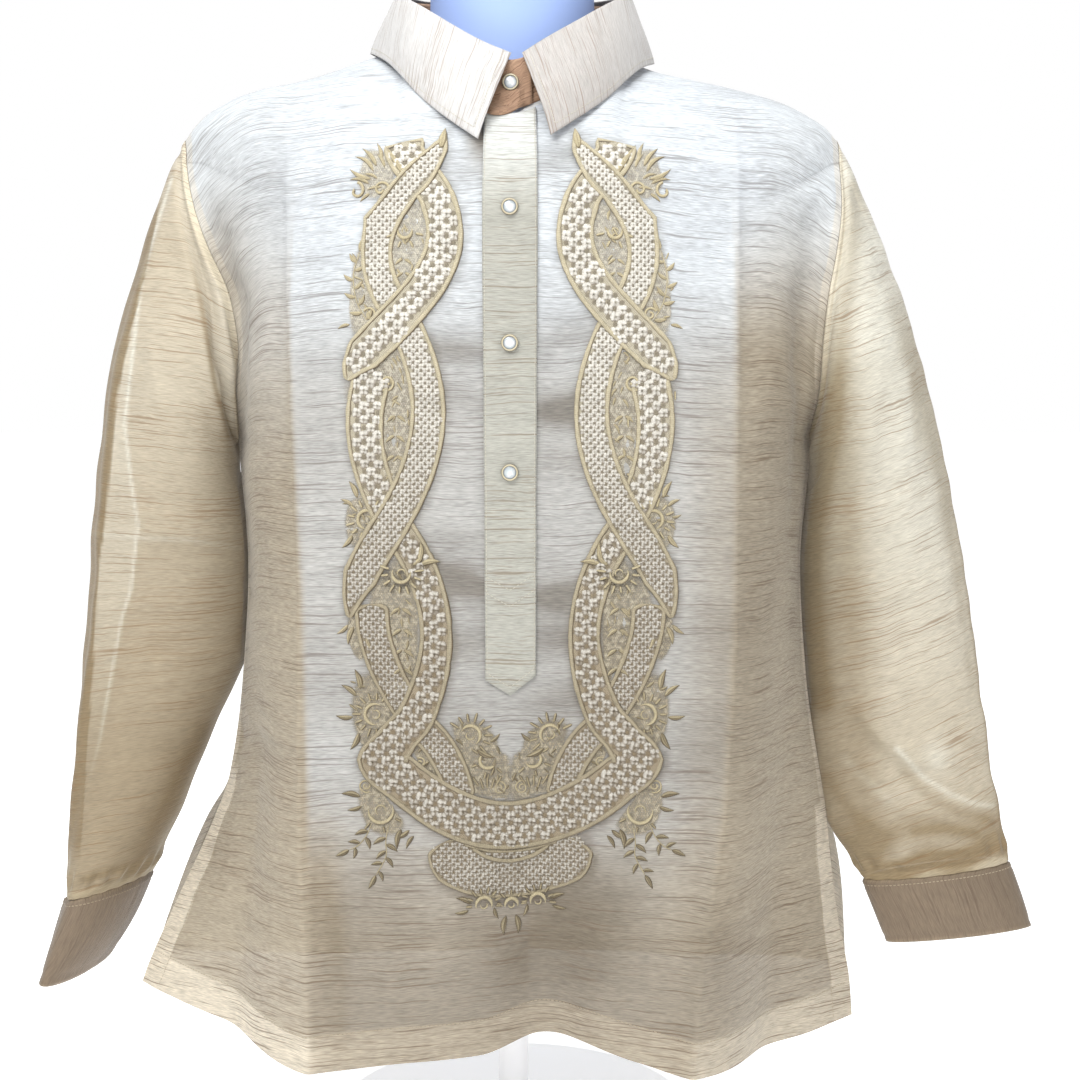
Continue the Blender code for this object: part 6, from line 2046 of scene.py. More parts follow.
def lay_leaf(cloth, heap, x, z, angle, length, width, kind="leaf", bend=1.0, up=0.0002, shade=0.0):
    T, W, high, curve, faces = leaf_shape(kind)
    along, side = T * length, W * width / 2 + curve * bend * length
    c, s = math.cos(angle), math.sin(angle)
    px, pz = x + along * c - side * s, z + along * s + side * c
    p, _ = cloth.lay(px, pz, up - 0.0001 + high * width)
    uv = np.stack([T * length * 1.0 + np.abs(W) * width * 0.4, W * 0.5], -1)
    # painted shade: darker at the leaf's edges, on its side away from the light, and along its vein
    side_share = W / (np.abs(W).max(1, keepdims=True) + 1e-9)
    away = -s * 0.55 - c * 0.83
    dark = np.abs(side_share) ** 1.8 * 0.85 + 0.60 * side_share * away + (0.50 * bell(W, 0.0, 0.12) if kind == "leaf" else 0.0)
    # painted shade at the leaf's base; lower down the shirt the leaves are darker
    dark = np.clip(dark + 0.8 * smooth(-T, -0.12, 0.0) + shade + 0.30 * smooth(-z, -0.42, -0.30), 0, 1)
    heap.add(p, faces, uv, shade=dark)


def lay_arc(cloth, heap, x, z, radius, start, sweep, half=0.0010, up=0.0002, taper=True):
    """A crescent of satin stitch."""
    count = max(int(abs(sweep) * radius / 0.0009), 8)
    a = start + sweep * np.linspace(0, 1, count)
    path = np.stack([x + radius * np.cos(a), z + radius * np.sin(a)], -1)
    base, normal = cloth.lay(path[:, 0], path[:, 1], np.full(count, up))
    swell = np.clip(np.sin(np.pi * np.linspace(0.0, 1, count)) * 1.25 + 0.10, 0.12, 1.0) if taper else np.clip(np.minimum(np.arange(count), np.arange(count)[::-1]) / 2 + 0.2, 0, 1)
    points, faces, uv = tube(base, normal, half * swell, half * 0.85 * swell, around=8)
    heap.add(points, faces, uv, shade=round_shade(8, path))


def lay_stem(cloth, heap, points, half=0.00045, up=0.00015):
    path = spline(points, 0.0012)
    base, normal = cloth.lay(path[:, 0], path[:, 1], np.full(len(path), up))
    ends = np.clip(np.minimum(np.arange(len(path)), np.arange(len(path))[::-1]) / 3 + 0.3, 0, 1)
    p, f, uv = tube(base, normal, half * ends, half * 0.8 * ends, around=6)
    heap.add(p, f, uv, shade=round_shade(6, path))
    return path


def lay_curl(cloth, heap, x, z, radius, start, turns, hand=1, half=0.00045):
    a = np.linspace(0, 1, int(26 * turns) + 8)
    r = radius * (1 - 0.78 * a)
    ang = start + hand * a * turns * 2 * np.pi
    pts = np.stack([x + r * np.cos(ang), z + r * np.sin(ang)], -1)
    base, normal = cloth.lay(pts[:, 0], pts[:, 1], np.full(len(pts), 0.00015))
    p, f, uv = tube(base, normal, half, half * 0.9, around=8)
    heap.add(p, f, uv, shade=round_shade(8, pts))


def floret(cloth, heap, x, z, radius, facing, spread, rays, ray_length, inner=True, ray_wide=0.0021, up=0.0002):
    """A ring of satin stitch, open at the back, with rays around its front and a small bud inside."""
    lay_arc(cloth, heap, x, z, radius, facing - 1.9, 3.8, half=0.00150, up=up)
    if inner:
        lay_arc(cloth, heap, x, z, radius * 0.42, facing + 1.2, 4.4, half=0.0007, up=up)
    for k in range(rays):
        a = facing + spread * ((k / (rays - 1)) - 0.5 if rays > 1 else 0.0)
        wave = 0.88 + 0.12 * math.cos(k * 2.4)
        lay_leaf(cloth, heap, x + (radius + 0.0026) * math.cos(a), z + (radius + 0.0026) * math.sin(a), a, ray_length * wave, ray_wide, "ray", 0.0, up=up)


def pairs(cloth, heap, places, size=0.0078, wide=0.40, turn=0.0):
    """Small leaves in pairs, opening downward like wings."""
    for x, z in places:
        for hand in (-1, 1):
            lay_leaf(cloth, heap, x + hand * 0.0004, z, math.radians(-90 + hand * 52) + turn, size, size * wide, "leaf", bend=hand * 0.9)


def sprig(cloth, heap, points, leaves, size=0.0088, start=0.25, end=1.0, lean=0.85, tip=True, taper=0.25, wide=0.42):
    """A curved stem with leaves to both sides and one at its tip."""
    path = lay_stem(cloth, heap, points)
    tangent = unit(np.gradient(path, axis=0))
    for k in range(leaves):
        f = start + (end - start) * k / max(leaves - 0.3, 1)
        i = min(int(f * (len(path) - 1)), len(path) - 1)
        a = math.atan2(tangent[i, 1], tangent[i, 0])
        hand = 1 if k % 2 else -1
        big = size * (1 - taper * k / leaves)
        lay_leaf(cloth, heap, path[i, 0], path[i, 1], a + hand * lean, big, big * wide, "leaf", bend=hand * 0.8)
    if tip:
        a = math.atan2(tangent[-1, 1], tangent[-1, 0])
        lay_leaf(cloth, heap, path[-1, 0], path[-1, 1], a, size * 1.05, size * wide, "leaf", bend=0.3)


def scatter(cloth, heap, outline, ribbons, count, seed, way=-90.0, spread=60.0, size=0.0062):
    """Small leaves and bars over a patch of net, clear of the ribbons."""
    rng = np.random.default_rng(seed)
    poly = np.array(outline, float)
    lo, hi = poly.min(0), poly.max(0)
    placed = []
    for _ in range(count * 40):
        if len(placed) >= count:
            break
        q = rng.uniform(lo, hi)
        a, b = poly, np.roll(poly, -1, axis=0)
        cross = ((a[:, 1] > q[1]) != (b[:, 1] > q[1])) & (q[0] < (b[:, 0] - a[:, 0]) * (q[1] - a[:, 1]) / (b[:, 1] - a[:, 1] + 1e-12) + a[:, 0])
        if not cross.sum() % 2 or any(np.hypot(*(q - other)) < size * 0.62 for other in placed):
            continue
        angle = math.radians(way + rng.uniform(-spread, spread))
        length = size * rng.uniform(0.75, 1.3)
        tip = q + length * np.array((math.cos(angle), math.sin(angle)))
        if any(ribbon.depth_in(np.array([q, tip])).max() > -0.0018 for ribbon in ribbons):
            continue
        placed.append(q)
        kind = "leaf" if rng.random() < 0.7 else "ray"
        lay_leaf(cloth, heap, q[0], q[1], angle, length, length * (0.36 if kind == "leaf" else 0.22), kind, bend=rng.uniform(-1.2, 1.2), shade=rng.uniform(0, 0.15))


def net_patch(cloth, heap, outline, rise=0.00022, grow=1.0):
    """A patch of net inside an outline of the plane, as a fan of rings to its middle."""
    outline = spline(list(outline) + [outline[0]], 0.003)[:-1]
    middle = outline.mean(0)
    outline = middle + (outline - middle) * grow
    rings = [middle + (outline - middle) * share for share in (0.02, 0.25, 0.5, 0.75, 1.0)]
    q = np.array(rings)
    p, _ = cloth.lay(q[..., 0], q[..., 1], rise)
    edge = np.broadcast_to(np.array([0, 0, 0, 0, 1.0])[:, None], q.shape[:2])
    turning = np.sum(outline[:, 0] * np.roll(outline[:, 1], -1) - np.roll(outline[:, 0], -1) * outline[:, 1])
    heap.add(p, lattice_faces(len(rings), len(outline), closed=True, flip=turning < 0), q / 0.0016, shade=edge)


def shade_under(ribbons, front):
    """Painted shadow on the cloth beside the stitching, below and to the right of it."""
    p = front[2]
    q = p[..., (0, 2)]
    near = (np.abs(q[..., 0]) < 0.135) & (q[..., 1] > 0.19) & (q[..., 1] < 0.775)
    inside = q[near] + np.array((-0.0010, 0.0014))
    depth = np.maximum.reduce([ribbon.depth_in(inside) for ribbon in ribbons])
    extra = np.zeros(q.shape[:2])
    extra[near] = 0.42 * smooth(depth, -0.0075, 0.0005)
    mesh = bpy.data.objects["front_cloth"].data
    layer = mesh.attributes["painted_shade"].data
    painted_shade = np.zeros(len(layer), np.float32)
    layer.foreach_get("value", painted_shade)
    layer.foreach_set("value", np.clip(painted_shade + extra.ravel(), 0, 1).astype(np.float32))


def build_embroidery(mats, front):
    cloth = Cloth(front)
    ground, cords, silk, small, sprigs, net = Heap(), Heap(), Heap(), Heap(), Heap(), Heap()
    large_stars, small_stars = [], []
    flat = lambda q: np.zeros(np.shape(q)[:-1])
    fine_1, coarse_1, coarse_2, fine_2 = plait()

    # the lower coarse ribbons of both sides and the swag between them are one ribbon
    xs = np.array([0.0770, 0.0640, 0.0500, 0.0340, 0.0170, 0.0])
    foot = [(0.0795, 0.3350, 0.0126), (0.0872, 0.3190, 0.0140)]
    foot += [(x, 0.2708 + 0.0455 * (x / 0.087) ** 1.95, w) for x, w in zip(xs, (0.0154, 0.0160, 0.0164, 0.0167, 0.0168, 0.0168))]
    whole = mirrored(coarse_2 + foot, -1) + mirrored((coarse_2 + foot)[::-1][1:], 1)
    elbows = [((-0.0872, 0.3190), 1, 0.52), ((0.0872, 0.3190), 1, 0.52)]
    swag = Ribbon("swag", whole, COARSE, (0, 1), (0, 1), points_out=elbows)
    F1, C1, F2 = {}, {}, {}
    for sign in (-1, 1):
        elbow = bow(0.36, 1)
        F1[sign] = Ribbon("fine_1", mirrored(fine_1, sign), FINE, (0.012, 1.0), (0.030, 0.75), [((sign * elbow[0], elbow[1]), -sign, 0.46)])
        C1[sign] = Ribbon("coarse_1", mirrored(coarse_1, sign), COARSE, (0.001, 0.3), (0.022, 0.70))
        F2[sign] = Ribbon("fine_2", mirrored(fine_2, sign), FINE)

    level = lambda q, z, wide: bell(q[..., 1], z, wide)
    fine_lift = lambda q: np.maximum.reduce([level(q, 0.742, 0.024), level(q, 0.482, 0.040), level(q, 0.440, 0.030)])
    coarse_lift = lambda q: np.maximum(level(q, 0.634, 0.030), level(q, 0.604, 0.020))
    swag_lift = lambda q: smooth(q[..., 1], 0.385, 0.360)
    lattice_ribbon(swag, cloth, ground, cords, large_stars, [(C1[-1], 1, 0.575), (C1[1], 1, 0.575), (F1[-1], 0.56, 0.41), (F1[1], 0.56, 0.41)], swag_lift)
    for sign in (-1, 1):
        lattice_ribbon(F2[sign], cloth, ground, cords, small_stars, [(F1[sign], 1, 0.39), (swag, 1, 0)], flat, cord_half=0.0017, low=0.00032)
        lattice_ribbon(F1[sign], cloth, ground, cords, small_stars, [(C1[sign], 0.695, 0.56)], fine_lift, cord_half=0.00180)
        lattice_ribbon(C1[sign], cloth, ground, cords, large_stars, [(F1[sign], 1, 0.695)], coarse_lift)

    # shield under the swag, with a crescent of cord between them
    shield = [(-0.0480, 0.2600, 0.0120), (-0.0400, 0.2460, 0.0155), (-0.0215, 0.2375, 0.0168), (0.0, 0.2350, 0.0170)]
    shield = Ribbon("shield", shield + mirrored(shield[::-1][1:], -1), FINE, (0.004, 0.5), (0.004, 0.5), [((-0.0400, 0.2460), 1, 0.10), ((0.0400, 0.2460), 1, 0.10)])
    lattice_ribbon(shield, cloth, ground, cords, small_stars, [(swag, 1, 0)], flat, cord_half=0.0014, low=0.00032)
    crescent = spline([(-0.0275, 0.2550), (-0.0150, 0.2475), (0.0, 0.2445), (0.0150, 0.2475), (0.0275, 0.2550)])
    lay_cord(crescent, cloth, cords, 0.0016, lambda q: np.full(np.shape(q)[:-1], 1.0))

    for sign in (-1, 1):
        # the two sides differ a little, as handwork does
        odd = 0.0006 * sign

        def X(x):
            return sign * x

        def A(degrees):
            return math.radians(degrees if sign > 0 else 180 - degrees)

        ribbons = [F1[sign], C1[sign], F2[sign], swag]

        def patch(points, rise=0.00022, grow=1.0, fill=0, way=-90.0, spread=60.0):
            net_patch(cloth, net, mirrored(points, sign), rise, grow)
            if fill:
                seed = int(points[0][1] * 1e4) + (5 if sign > 0 else 0)
                scatter(cloth, sprigs, mirrored(points, sign), ribbons, fill, seed, way if sign > 0 else 180 - way, spread)

        def leaf(x, z, deg, length, wide=0.36, bend=0.8, up=0.0002):
            lay_leaf(cloth, sprigs, X(x), z, A(deg), length, length * wide, bend=bend * sign, up=up)

        def ring(x, z, radius, deg, spread, rays, length, inner=True, up=0.0002):
            floret(cloth, sprigs, X(x), z, radius, A(deg), spread, rays, length, inner=inner, up=up)

        def stem(points, leaves, size, **more):
            sprig(cloth, sprigs, mirrored(points, sign), leaves, size=size, **more)

        def curl(x, z, radius, deg, turns, hand=1, half=0.0008):
            lay_curl(cloth, sprigs, X(x), z, radius, A(deg), turns, hand=hand * sign, half=half)

        over = 0.0017
        # the end at the top: a spray of leaves and a hooked curl over net
        patch([(0.0880, 0.7500), (0.1000, 0.7530), (0.1060, 0.7400), (0.1080, 0.7250), (0.0980, 0.7150), (0.0860, 0.7200), (0.0800, 0.7330)])
        leaf(0.0712, 0.7288, 56, 0.0310, 0.17, bend=0.0, up=0.0004)
        lay_leaf(cloth, sprigs, X(0.0482), 0.7505, A(101), 0.0150, 0.0072, "leaf", bend=0.0, up=0.0011)
        leaf(0.0940, 0.7390, 52, 0.0175, 0.24)
        leaf(0.0960, 0.7350, 40, 0.0185, 0.22, bend=1.6)
        leaf(0.0975, 0.7300, 26, 0.0180, 0.24, bend=-0.9)
        leaf(0.0990, 0.7265, 14, 0.0150, 0.24, bend=1.4)
        leaf(0.0905, 0.7430, 74, 0.0140, 0.26)
        leaf(0.0880, 0.7380, 60, 0.0120, 0.26)
        leaf(0.0930, 0.7300, 20, 0.0110, 0.26, bend=1.2)
        leaf(0.0900, 0.7240, -8, 0.0110, 0.26)
        curl(0.1085, 0.7220, 0.0062, 100, 0.85, hand=1, half=0.0012)
        curl(0.0905, 0.7225, 0.0058, 170, 0.95, hand=-1, half=0.0011)
        leaf(0.0985, 0.7200, -38, 0.0095, 0.34)
        # eyes of the plait: net with a floret and small leaves
        patch([(0.0640, 0.7080), (0.0590, 0.6860), (0.0640, 0.6640), (0.0735, 0.6480), (0.0840, 0.6680), (0.0850, 0.6900), (0.0760, 0.7080)], grow=1.30, fill=7)
        ring(0.0735, 0.6930, 0.0050, -92, 2.6, 4, 0.0062)
        pairs(cloth, sprigs, [(X(0.0745), 0.6735), (X(0.0742), 0.6640)], size=0.0072)
        patch([(0.0790, 0.6190), (0.0640, 0.5850), (0.0640, 0.5550), (0.0720, 0.5250), (0.0840, 0.4990), (0.0960, 0.5250), (0.1010, 0.5500), (0.1165, 0.5740), (0.1168, 0.5860), (0.1060, 0.6000), (0.0930, 0.6100)], fill=16)
        curl(0.0865, 0.5870, 0.0056, -60, 1.35, hand=-1, half=0.0011)
        leaf(0.0790, 0.5760, -58, 0.0080, 0.32)
        pairs(cloth, sprigs, [(X(0.0800), 0.5640), (X(0.0806), 0.5500), (X(0.0808), 0.5360), (X(0.0812), 0.5235)], size=0.0082)
        patch([(0.0800, 0.4560), (0.0690, 0.4330), (0.0675, 0.4050), (0.0700, 0.3780), (0.0760, 0.3590), (0.0840, 0.3690), (0.0900, 0.3900), (0.0950, 0.4120), (0.0960, 0.4350)], grow=1.28, fill=12)
        pairs(cloth, sprigs, [(X(0.0775), 0.4280), (X(0.0765), 0.4130), (X(0.0760), 0.3985), (X(0.0760), 0.3850)], size=0.0092)
        # outer hollow beside the second crossing: a climbing sprig and a curl
        patch([(0.1020, 0.6890), (0.1090, 0.6800), (0.1130, 0.6600), (0.1140, 0.6320), (0.1080, 0.6180), (0.0900, 0.6330), (0.0950, 0.6600)], fill=5, way=40)
        stem([(0.1010, 0.6310), (0.1080, 0.6440), (0.1105, 0.6620), (0.1060, 0.6800 + odd)], 8, 0.0098, start=0.02, end=0.92, lean=0.95, taper=0.15)
        curl(0.0985, 0.6350, 0.0048, 30, 1.2, hand=1, half=0.0010)
        leaf(0.1130, 0.6280, -18, 0.0095, 0.34)
        # outer hollow beside the third: a sun
        patch([(0.1040, 0.5120), (0.1150, 0.5020), (0.1180, 0.4860), (0.1120, 0.4700), (0.0960, 0.4760), (0.0900, 0.4980)], fill=5, way=10)
        ring(0.1010, 0.4905, 0.0066, 30 + 4 * sign, 3.3, 8, 0.0068)
        leaf(0.1080, 0.5060, 62, 0.0135)
        leaf(0.1115, 0.4800, -50, 0.0125, bend=-0.8)
        leaf(0.1110, 0.5000, 28, 0.0105, 0.34)
        # inside the third crossing: a sun over the ribbon, and two leaves
        ring(0.0768, 0.4530, 0.0064, -84, 3.6, 9, 0.0070, up=over)
        patch([(0.0700, 0.4780), (0.0620, 0.4700), (0.0560, 0.4560), (0.0600, 0.4420), (0.0700, 0.4500)])
        leaf(0.0650, 0.4610, 98, 0.0150, 0.32, up=over * 0.6)
        leaf(0.0640, 0.4590, 172, 0.0150, 0.34, bend=-0.8, up=over * 0.6)
        leaf(0.0690, 0.4585, 132, 0.0120, 0.34, up=over * 0.6)
        # under the point of the fine ribbon
        patch([(0.1010, 0.4180), (0.1140, 0.4230), (0.1160, 0.4060), (0.1080, 0.3900), (0.0990, 0.3980)])
        leaf(0.1110, 0.4150, -72, 0.0140)
        leaf(0.1150, 0.4160, -38, 0.0110, 0.34, bend=-0.8)
        leaf(0.1020, 0.4080, -112, 0.0110, 0.34)
        # outer hollow beside the fourth crossing: a sun with leaves about it
        patch([(0.0960, 0.3840), (0.1080, 0.3800), (0.1140, 0.3600), (0.1110, 0.3380), (0.1000, 0.3220), (0.0860, 0.3420), (0.0830, 0.3640)], fill=6, way=10)
        ring(0.0960, 0.3520, 0.0074, 12, 3.7, 10, 0.0070)
        leaf(0.1065, 0.3700, 74, 0.0150)
        leaf(0.1095, 0.3650, 36, 0.0135, 0.34)
        leaf(0.1120, 0.3500, 4, 0.0125, 0.34, bend=-0.8)
        leaf(0.1075, 0.3390, -62, 0.0140, bend=-0.8)
        # within the foot of the U
        patch([(0.0420, 0.3450), (0.0300, 0.3490), (0.0190, 0.3440), (0.0105, 0.3350), (0.0075, 0.3260), (0.0008, 0.3190), (0.0008, 0.2900), (0.0170, 0.2920), (0.0300, 0.2980), (0.0360, 0.3180)], grow=1.08, fill=12)
        ring(0.0285, 0.3370, 0.0070, 128 - 3 * sign, 3.4, 9, 0.0078)
        ring(0.0160, 0.3190, 0.0058, -50, 3.0, 4, 0.0060, inner=False)
        leaf(0.0240, 0.3270, 205, 0.0145)
        leaf(0.0150, 0.3320, 140, 0.0100, 0.34)
        for k in range(5):
            lay_leaf(cloth, sprigs, X(0.0270 - 0.0052 * k), 0.3075 - 0.001 * (k % 2), A(-90 + 16 * (k - 2)), 0.0088, 0.0020, "ray", 0.0)
        curl(0.0080, 0.2985, 0.0052, 60, 1.5, hand=1, half=0.0006)
        patch([(0.0700, 0.3260), (0.0620, 0.3370), (0.0540, 0.3200), (0.0450, 0.3040), (0.0600, 0.3080)])
        pairs(cloth, sprigs, [(X(0.0600), 0.3290), (X(0.0570), 0.3185)], size=0.0070)
        curl(0.0640, 0.3180, 0.0036, 60, 1.2, hand=1, half=0.0007)
        # sprays below the elbows
        patch([(0.0960, 0.3080), (0.1080, 0.3020), (0.1090, 0.2850), (0.1000, 0.2680), (0.0850, 0.2640), (0.0740, 0.2720), (0.0860, 0.2900)])
        curl(0.1030, 0.3010, 0.0052, -120, 1.5, hand=1, half=0.0007)
        ring(0.0925, 0.2830, 0.0088, -100, 1.8, 3, 0.0060)
        leaf(0.1070, 0.2930, 8, 0.0140, 0.36)
        leaf(0.1060, 0.2860, -14, 0.0110, 0.34, bend=-0.8)
        stem([(0.0990, 0.2740), (0.1030, 0.2650), (0.1090, 0.2580), (0.1150, 0.2550)], 4, 0.0105, lean=0.9)
        stem([(0.0870, 0.2730), (0.0890, 0.2610), (0.0890, 0.2500), (0.0960, 0.2370)], 6, 0.0105, lean=0.95)
        leaf(0.0780, 0.2700, -78, 0.0150, 0.34)
        leaf(0.0720, 0.2690, -28, 0.0125, 0.34, bend=-0.8)
        leaf(0.0690, 0.2650, -60, 0.0110, 0.34)
        # foot of the shield
        ring(0.0195, 0.2135, 0.0056, 92, 3.3, 8, 0.0056, up=over * 0.7)
        leaf(0.0280, 0.2150, 22, 0.0120, 0.36)
        leaf(0.0300, 0.2100, -8, 0.0105, 0.34, bend=-0.8)
        leaf(0.0120, 0.2110, 250, 0.0095, 0.36)
        leaf(0.0035, 0.2040, -84, 0.0150, 0.34)
    ring_top = 0.0012
    floret(cloth, sprigs, 0.0, 0.2120, 0.0046, math.radians(90), 2.8, 5, 0.0046, up=ring_top)

    shade_under([swag, shield, *F1.values(), *C1.values(), *F2.values()], front)
    lay_stars(large_stars, cloth, silk)
    lay_stars(small_stars, cloth, small, seed=4, soft=0.85, wide=1.06)
    pieces = [
        ground.build("ribbon_ground", mats["ground"], "body_cloth"),
        cords.build("ribbon_cords", mats["cord"], "body_cloth", lower=0.56),
        silk.build("large_star_stitches", mats["silk"], "body_cloth", lower=0.46),
        small.build("small_star_stitches", mats["silk"], "body_cloth", lower=0.50),
        sprigs.build("leaf_sprigs", mats["leaf"], "body_cloth", lower=0.26),
        net.build("net_ground", mats["net"], "body_cloth"),
    ]
    for piece in pieces:
        print(piece.name, len(piece.data.polygons))
    return pieces


# ================================================================ plain materials
def solid_material(name, colour, rough, specular=0.5, coat=0.0, grain=0.0, grain_scale=900.0, ss=0.0, glow=0.0, foot=None):
    n = Nodes(name)
    x, y, z = n.position()
    place = n.vec(x, y, z)
    mottled = n.noise(place, scale=9.0, detail=3.0)
    light = n.add(0.97, n.mul(mottled, 0.06))
    tone = n.mix(1.0, colour, n.vec(light, light, light), "MULTIPLY")
    # foot: a colour mixed in by the value "shade", a painted shade
    if foot is not None:
        tone = n.mix(n.value("shade"), tone, foot)
    fine = n.noise(place, scale=grain_scale, detail=1.0)
    normal = n.bump(fine, grain, 0.0004)
    shader = n.node(
        "ShaderNodeBsdfPrincipled",
        {"Base Color": tone, "Roughness": rough, "Specular IOR Level": specular, "Coat Weight": coat, "Coat Roughness": 0.2, "Normal": normal, "Subsurface Weight": ss, "Emission Color": (1.0, 1.0, 1.0), "Emission Strength": glow},
    ).outputs[0]
    return n.finish(shader)


def pearl_material():
    """Mother of pearl: white in the middle and grey-blue towards its rim, a painted shade round its domed face, with
    slow bands of pink and green.
    """
    n = Nodes("pearl")
    x, y, z = n.position()
    place = n.vec(n.mul(x, 1.0), n.mul(y, 1.0), z)
    warp = n.noise(place, scale=240.0, detail=2.0)
    bands = n.math("SINE", n.add(n.mul(z, 1500.0), n.mul(warp, 9.0)))
    tone = n.mix(n.ramp(bands, -1.0, 1.0), srgb(222, 228, 226), srgb(240, 236, 238))
    tone = n.mix(n.soft(warp, 0.40, 0.65), tone, srgb(196, 204, 206))
    # painted shade towards the rim
    tone = n.mix(n.value("shade"), tone, srgb(122, 132, 142))
    normal = n.bump(warp, 0.2, 0.0004)
    shader = n.node("ShaderNodeBsdfPrincipled", {"Base Color": tone, "Roughness": 0.16, "Specular IOR Level": 0.6, "Coat Weight": 0.6, "Coat Roughness": 0.06, "Normal": normal}).outputs[0]
    return n.finish(shader)


def thread_material(name, colour, dark, rough=0.45, sheen=0.3, depth=0.75, grain=0.25):
    """Satin stitch: strands across the way, darker by the value "shade": a painted shade where the thread turns down to
    the cloth and on its side away from the light.
    """
    n = Nodes(name)
    u, v = n.uv()
    x, y, z = n.position()
    twist = n.math("SINE", n.add(n.mul(u, 2 * math.pi / 0.0013), n.mul(v, 2 * math.pi)))
    uneven = n.noise(n.vec(n.mul(u, 160.0), n.mul(v, 2.0)), detail=1.0)
    rough_silk = n.noise(n.vec(x, y, z), scale=620.0, detail=2.0, rough=0.7)
    light = n.add(0.98, n.add(n.mul(twist, 0.06), n.mul(n.sub(uneven, 0.5), 0.30)))
    light = n.add(light, n.mul(n.sub(rough_silk, 0.5), 2.0 * grain))
    shade = n.math("POWER", n.value("shade"), 1.4)
    tone = n.mix(n.mul(shade, depth), colour, dark)
    tone = n.mix(1.0, tone, n.vec(light, light, light), "MULTIPLY")
    normal = n.bump(n.add(n.add(twist, n.mul(uneven, 0.8)), n.mul(rough_silk, 3.0 * grain)), 0.5, 0.0003)
    shader = n.node("ShaderNodeBsdfPrincipled", {"Base Color": tone, "Roughness": rough, "Normal": normal, "Sheen Weight": sheen, "Sheen Roughness": 0.4, "Specular IOR Level": 0.35}).outputs[0]
    return n.finish(shader)


def ground_material():
    """Openwork ground of the ribbons: fine net, darker in the eyelets between the stars, a painted shade in these pits,
    and darker lower down the shirt.
    """
    n = Nodes("ribbon_ground")
    u, v = n.uv()
    cu = n.math("COSINE", n.mul(u, math.pi))
    cv = n.math("COSINE", n.mul(v, math.pi))
    odd = n.mul(n.mul(cu, cv), -1.0)
    eyelet = n.soft(odd, 0.30, 0.80)
    x, y, z = n.position()
    low = n.soft(z, 0.60, 0.36)
    wander = n.noise(n.vec(u, v), scale=3.0, detail=2.0)
    mesh_u = n.math("SINE", n.mul(n.add(u, v), math.pi * 6.0))
    mesh_v = n.math("SINE", n.mul(n.sub(u, v), math.pi * 6.0))
    threads = n.math("MAXIMUM", mesh_u, mesh_v)
    tone = n.mix(n.ramp(threads, -0.3, 1.0), srgb(156, 148, 130), srgb(188, 180, 160))
    tone = n.mix(n.mul(eyelet, n.add(0.62, n.mul(wander, 0.3))), tone, srgb(118, 110, 94))
    tone = n.mix(n.mul(low, 0.60), tone, srgb(122, 104, 78))
    height = n.sub(n.mul(threads, 0.4), n.mul(eyelet, 1.2))
    normal = n.bump(height, 0.8, 0.0006)
    shader = n.node("ShaderNodeBsdfPrincipled", {"Base Color": tone, "Roughness": 0.62, "Normal": normal, "Sheen Weight": 0.2, "Sheen Roughness": 0.4, "Specular IOR Level": 0.25}).outputs[0]
    return n.finish(shader)


def net_material():
    """Openwork net: its threads tan over a shaded ground, thicker and thinner as worked by hand."""
    n = Nodes("net_ground")
    u, v = n.uv()
    x, y, z = n.position()
    a = n.math("ABSOLUTE", n.math("SINE", n.mul(n.add(u, n.mul(v, 0.58)), math.pi)))
    b = n.math("ABSOLUTE", n.math("SINE", n.mul(n.sub(u, n.mul(v, 0.58)), math.pi)))
    c = n.math("ABSOLUTE", n.math("SINE", n.mul(v, math.pi * 1.16)))
    thread = n.sub(1.0, n.math("MINIMUM", n.math("MINIMUM", a, b), c))
    line = n.soft(thread, 0.55, 0.92)
    worked = n.noise(n.vec(x, y, z), scale=330.0, detail=3.0, rough=0.6)
    knots = n.soft(worked, 0.44, 0.66)
    low = n.soft(z, 0.66, 0.34)
    tone = n.mix(line, n.mix(low, srgb(186, 176, 154), srgb(150, 137, 112)), n.mix(low, srgb(212, 204, 186), srgb(182, 171, 147)))
    tone = n.mix(n.mul(knots, 0.70), tone, n.mix(low, srgb(222, 215, 198), srgb(200, 190, 168)))
    tone = n.mix(n.mul(n.soft(worked, 0.46, 0.34), 0.55), tone, n.mix(low, srgb(150, 136, 110), srgb(120, 104, 78)))
    normal = n.bump(n.add(line, n.mul(worked, 2.6)), 0.8, 0.0007)
    base = n.node("ShaderNodeBsdfPrincipled", {"Base Color": tone, "Roughness": 0.7, "Normal": normal, "Specular IOR Level": 0.2}).outputs[0]
    clear = n.node("ShaderNodeBsdfTransparent", {"Color": (1.0, 1.0, 1.0)}).outputs[0]
    edge = n.sub(1.0, n.mul(n.soft(n.value("shade"), 0.2, 1.0), 0.9))
    cover = n.add(0.46, n.add(n.mul(line, 0.24), n.mul(knots, 0.30)))
    shader = n.node("ShaderNodeMixShader", {0: n.mul(cover, edge), 1: clear, 2: base}).outputs[0]
    return n.finish(shader)


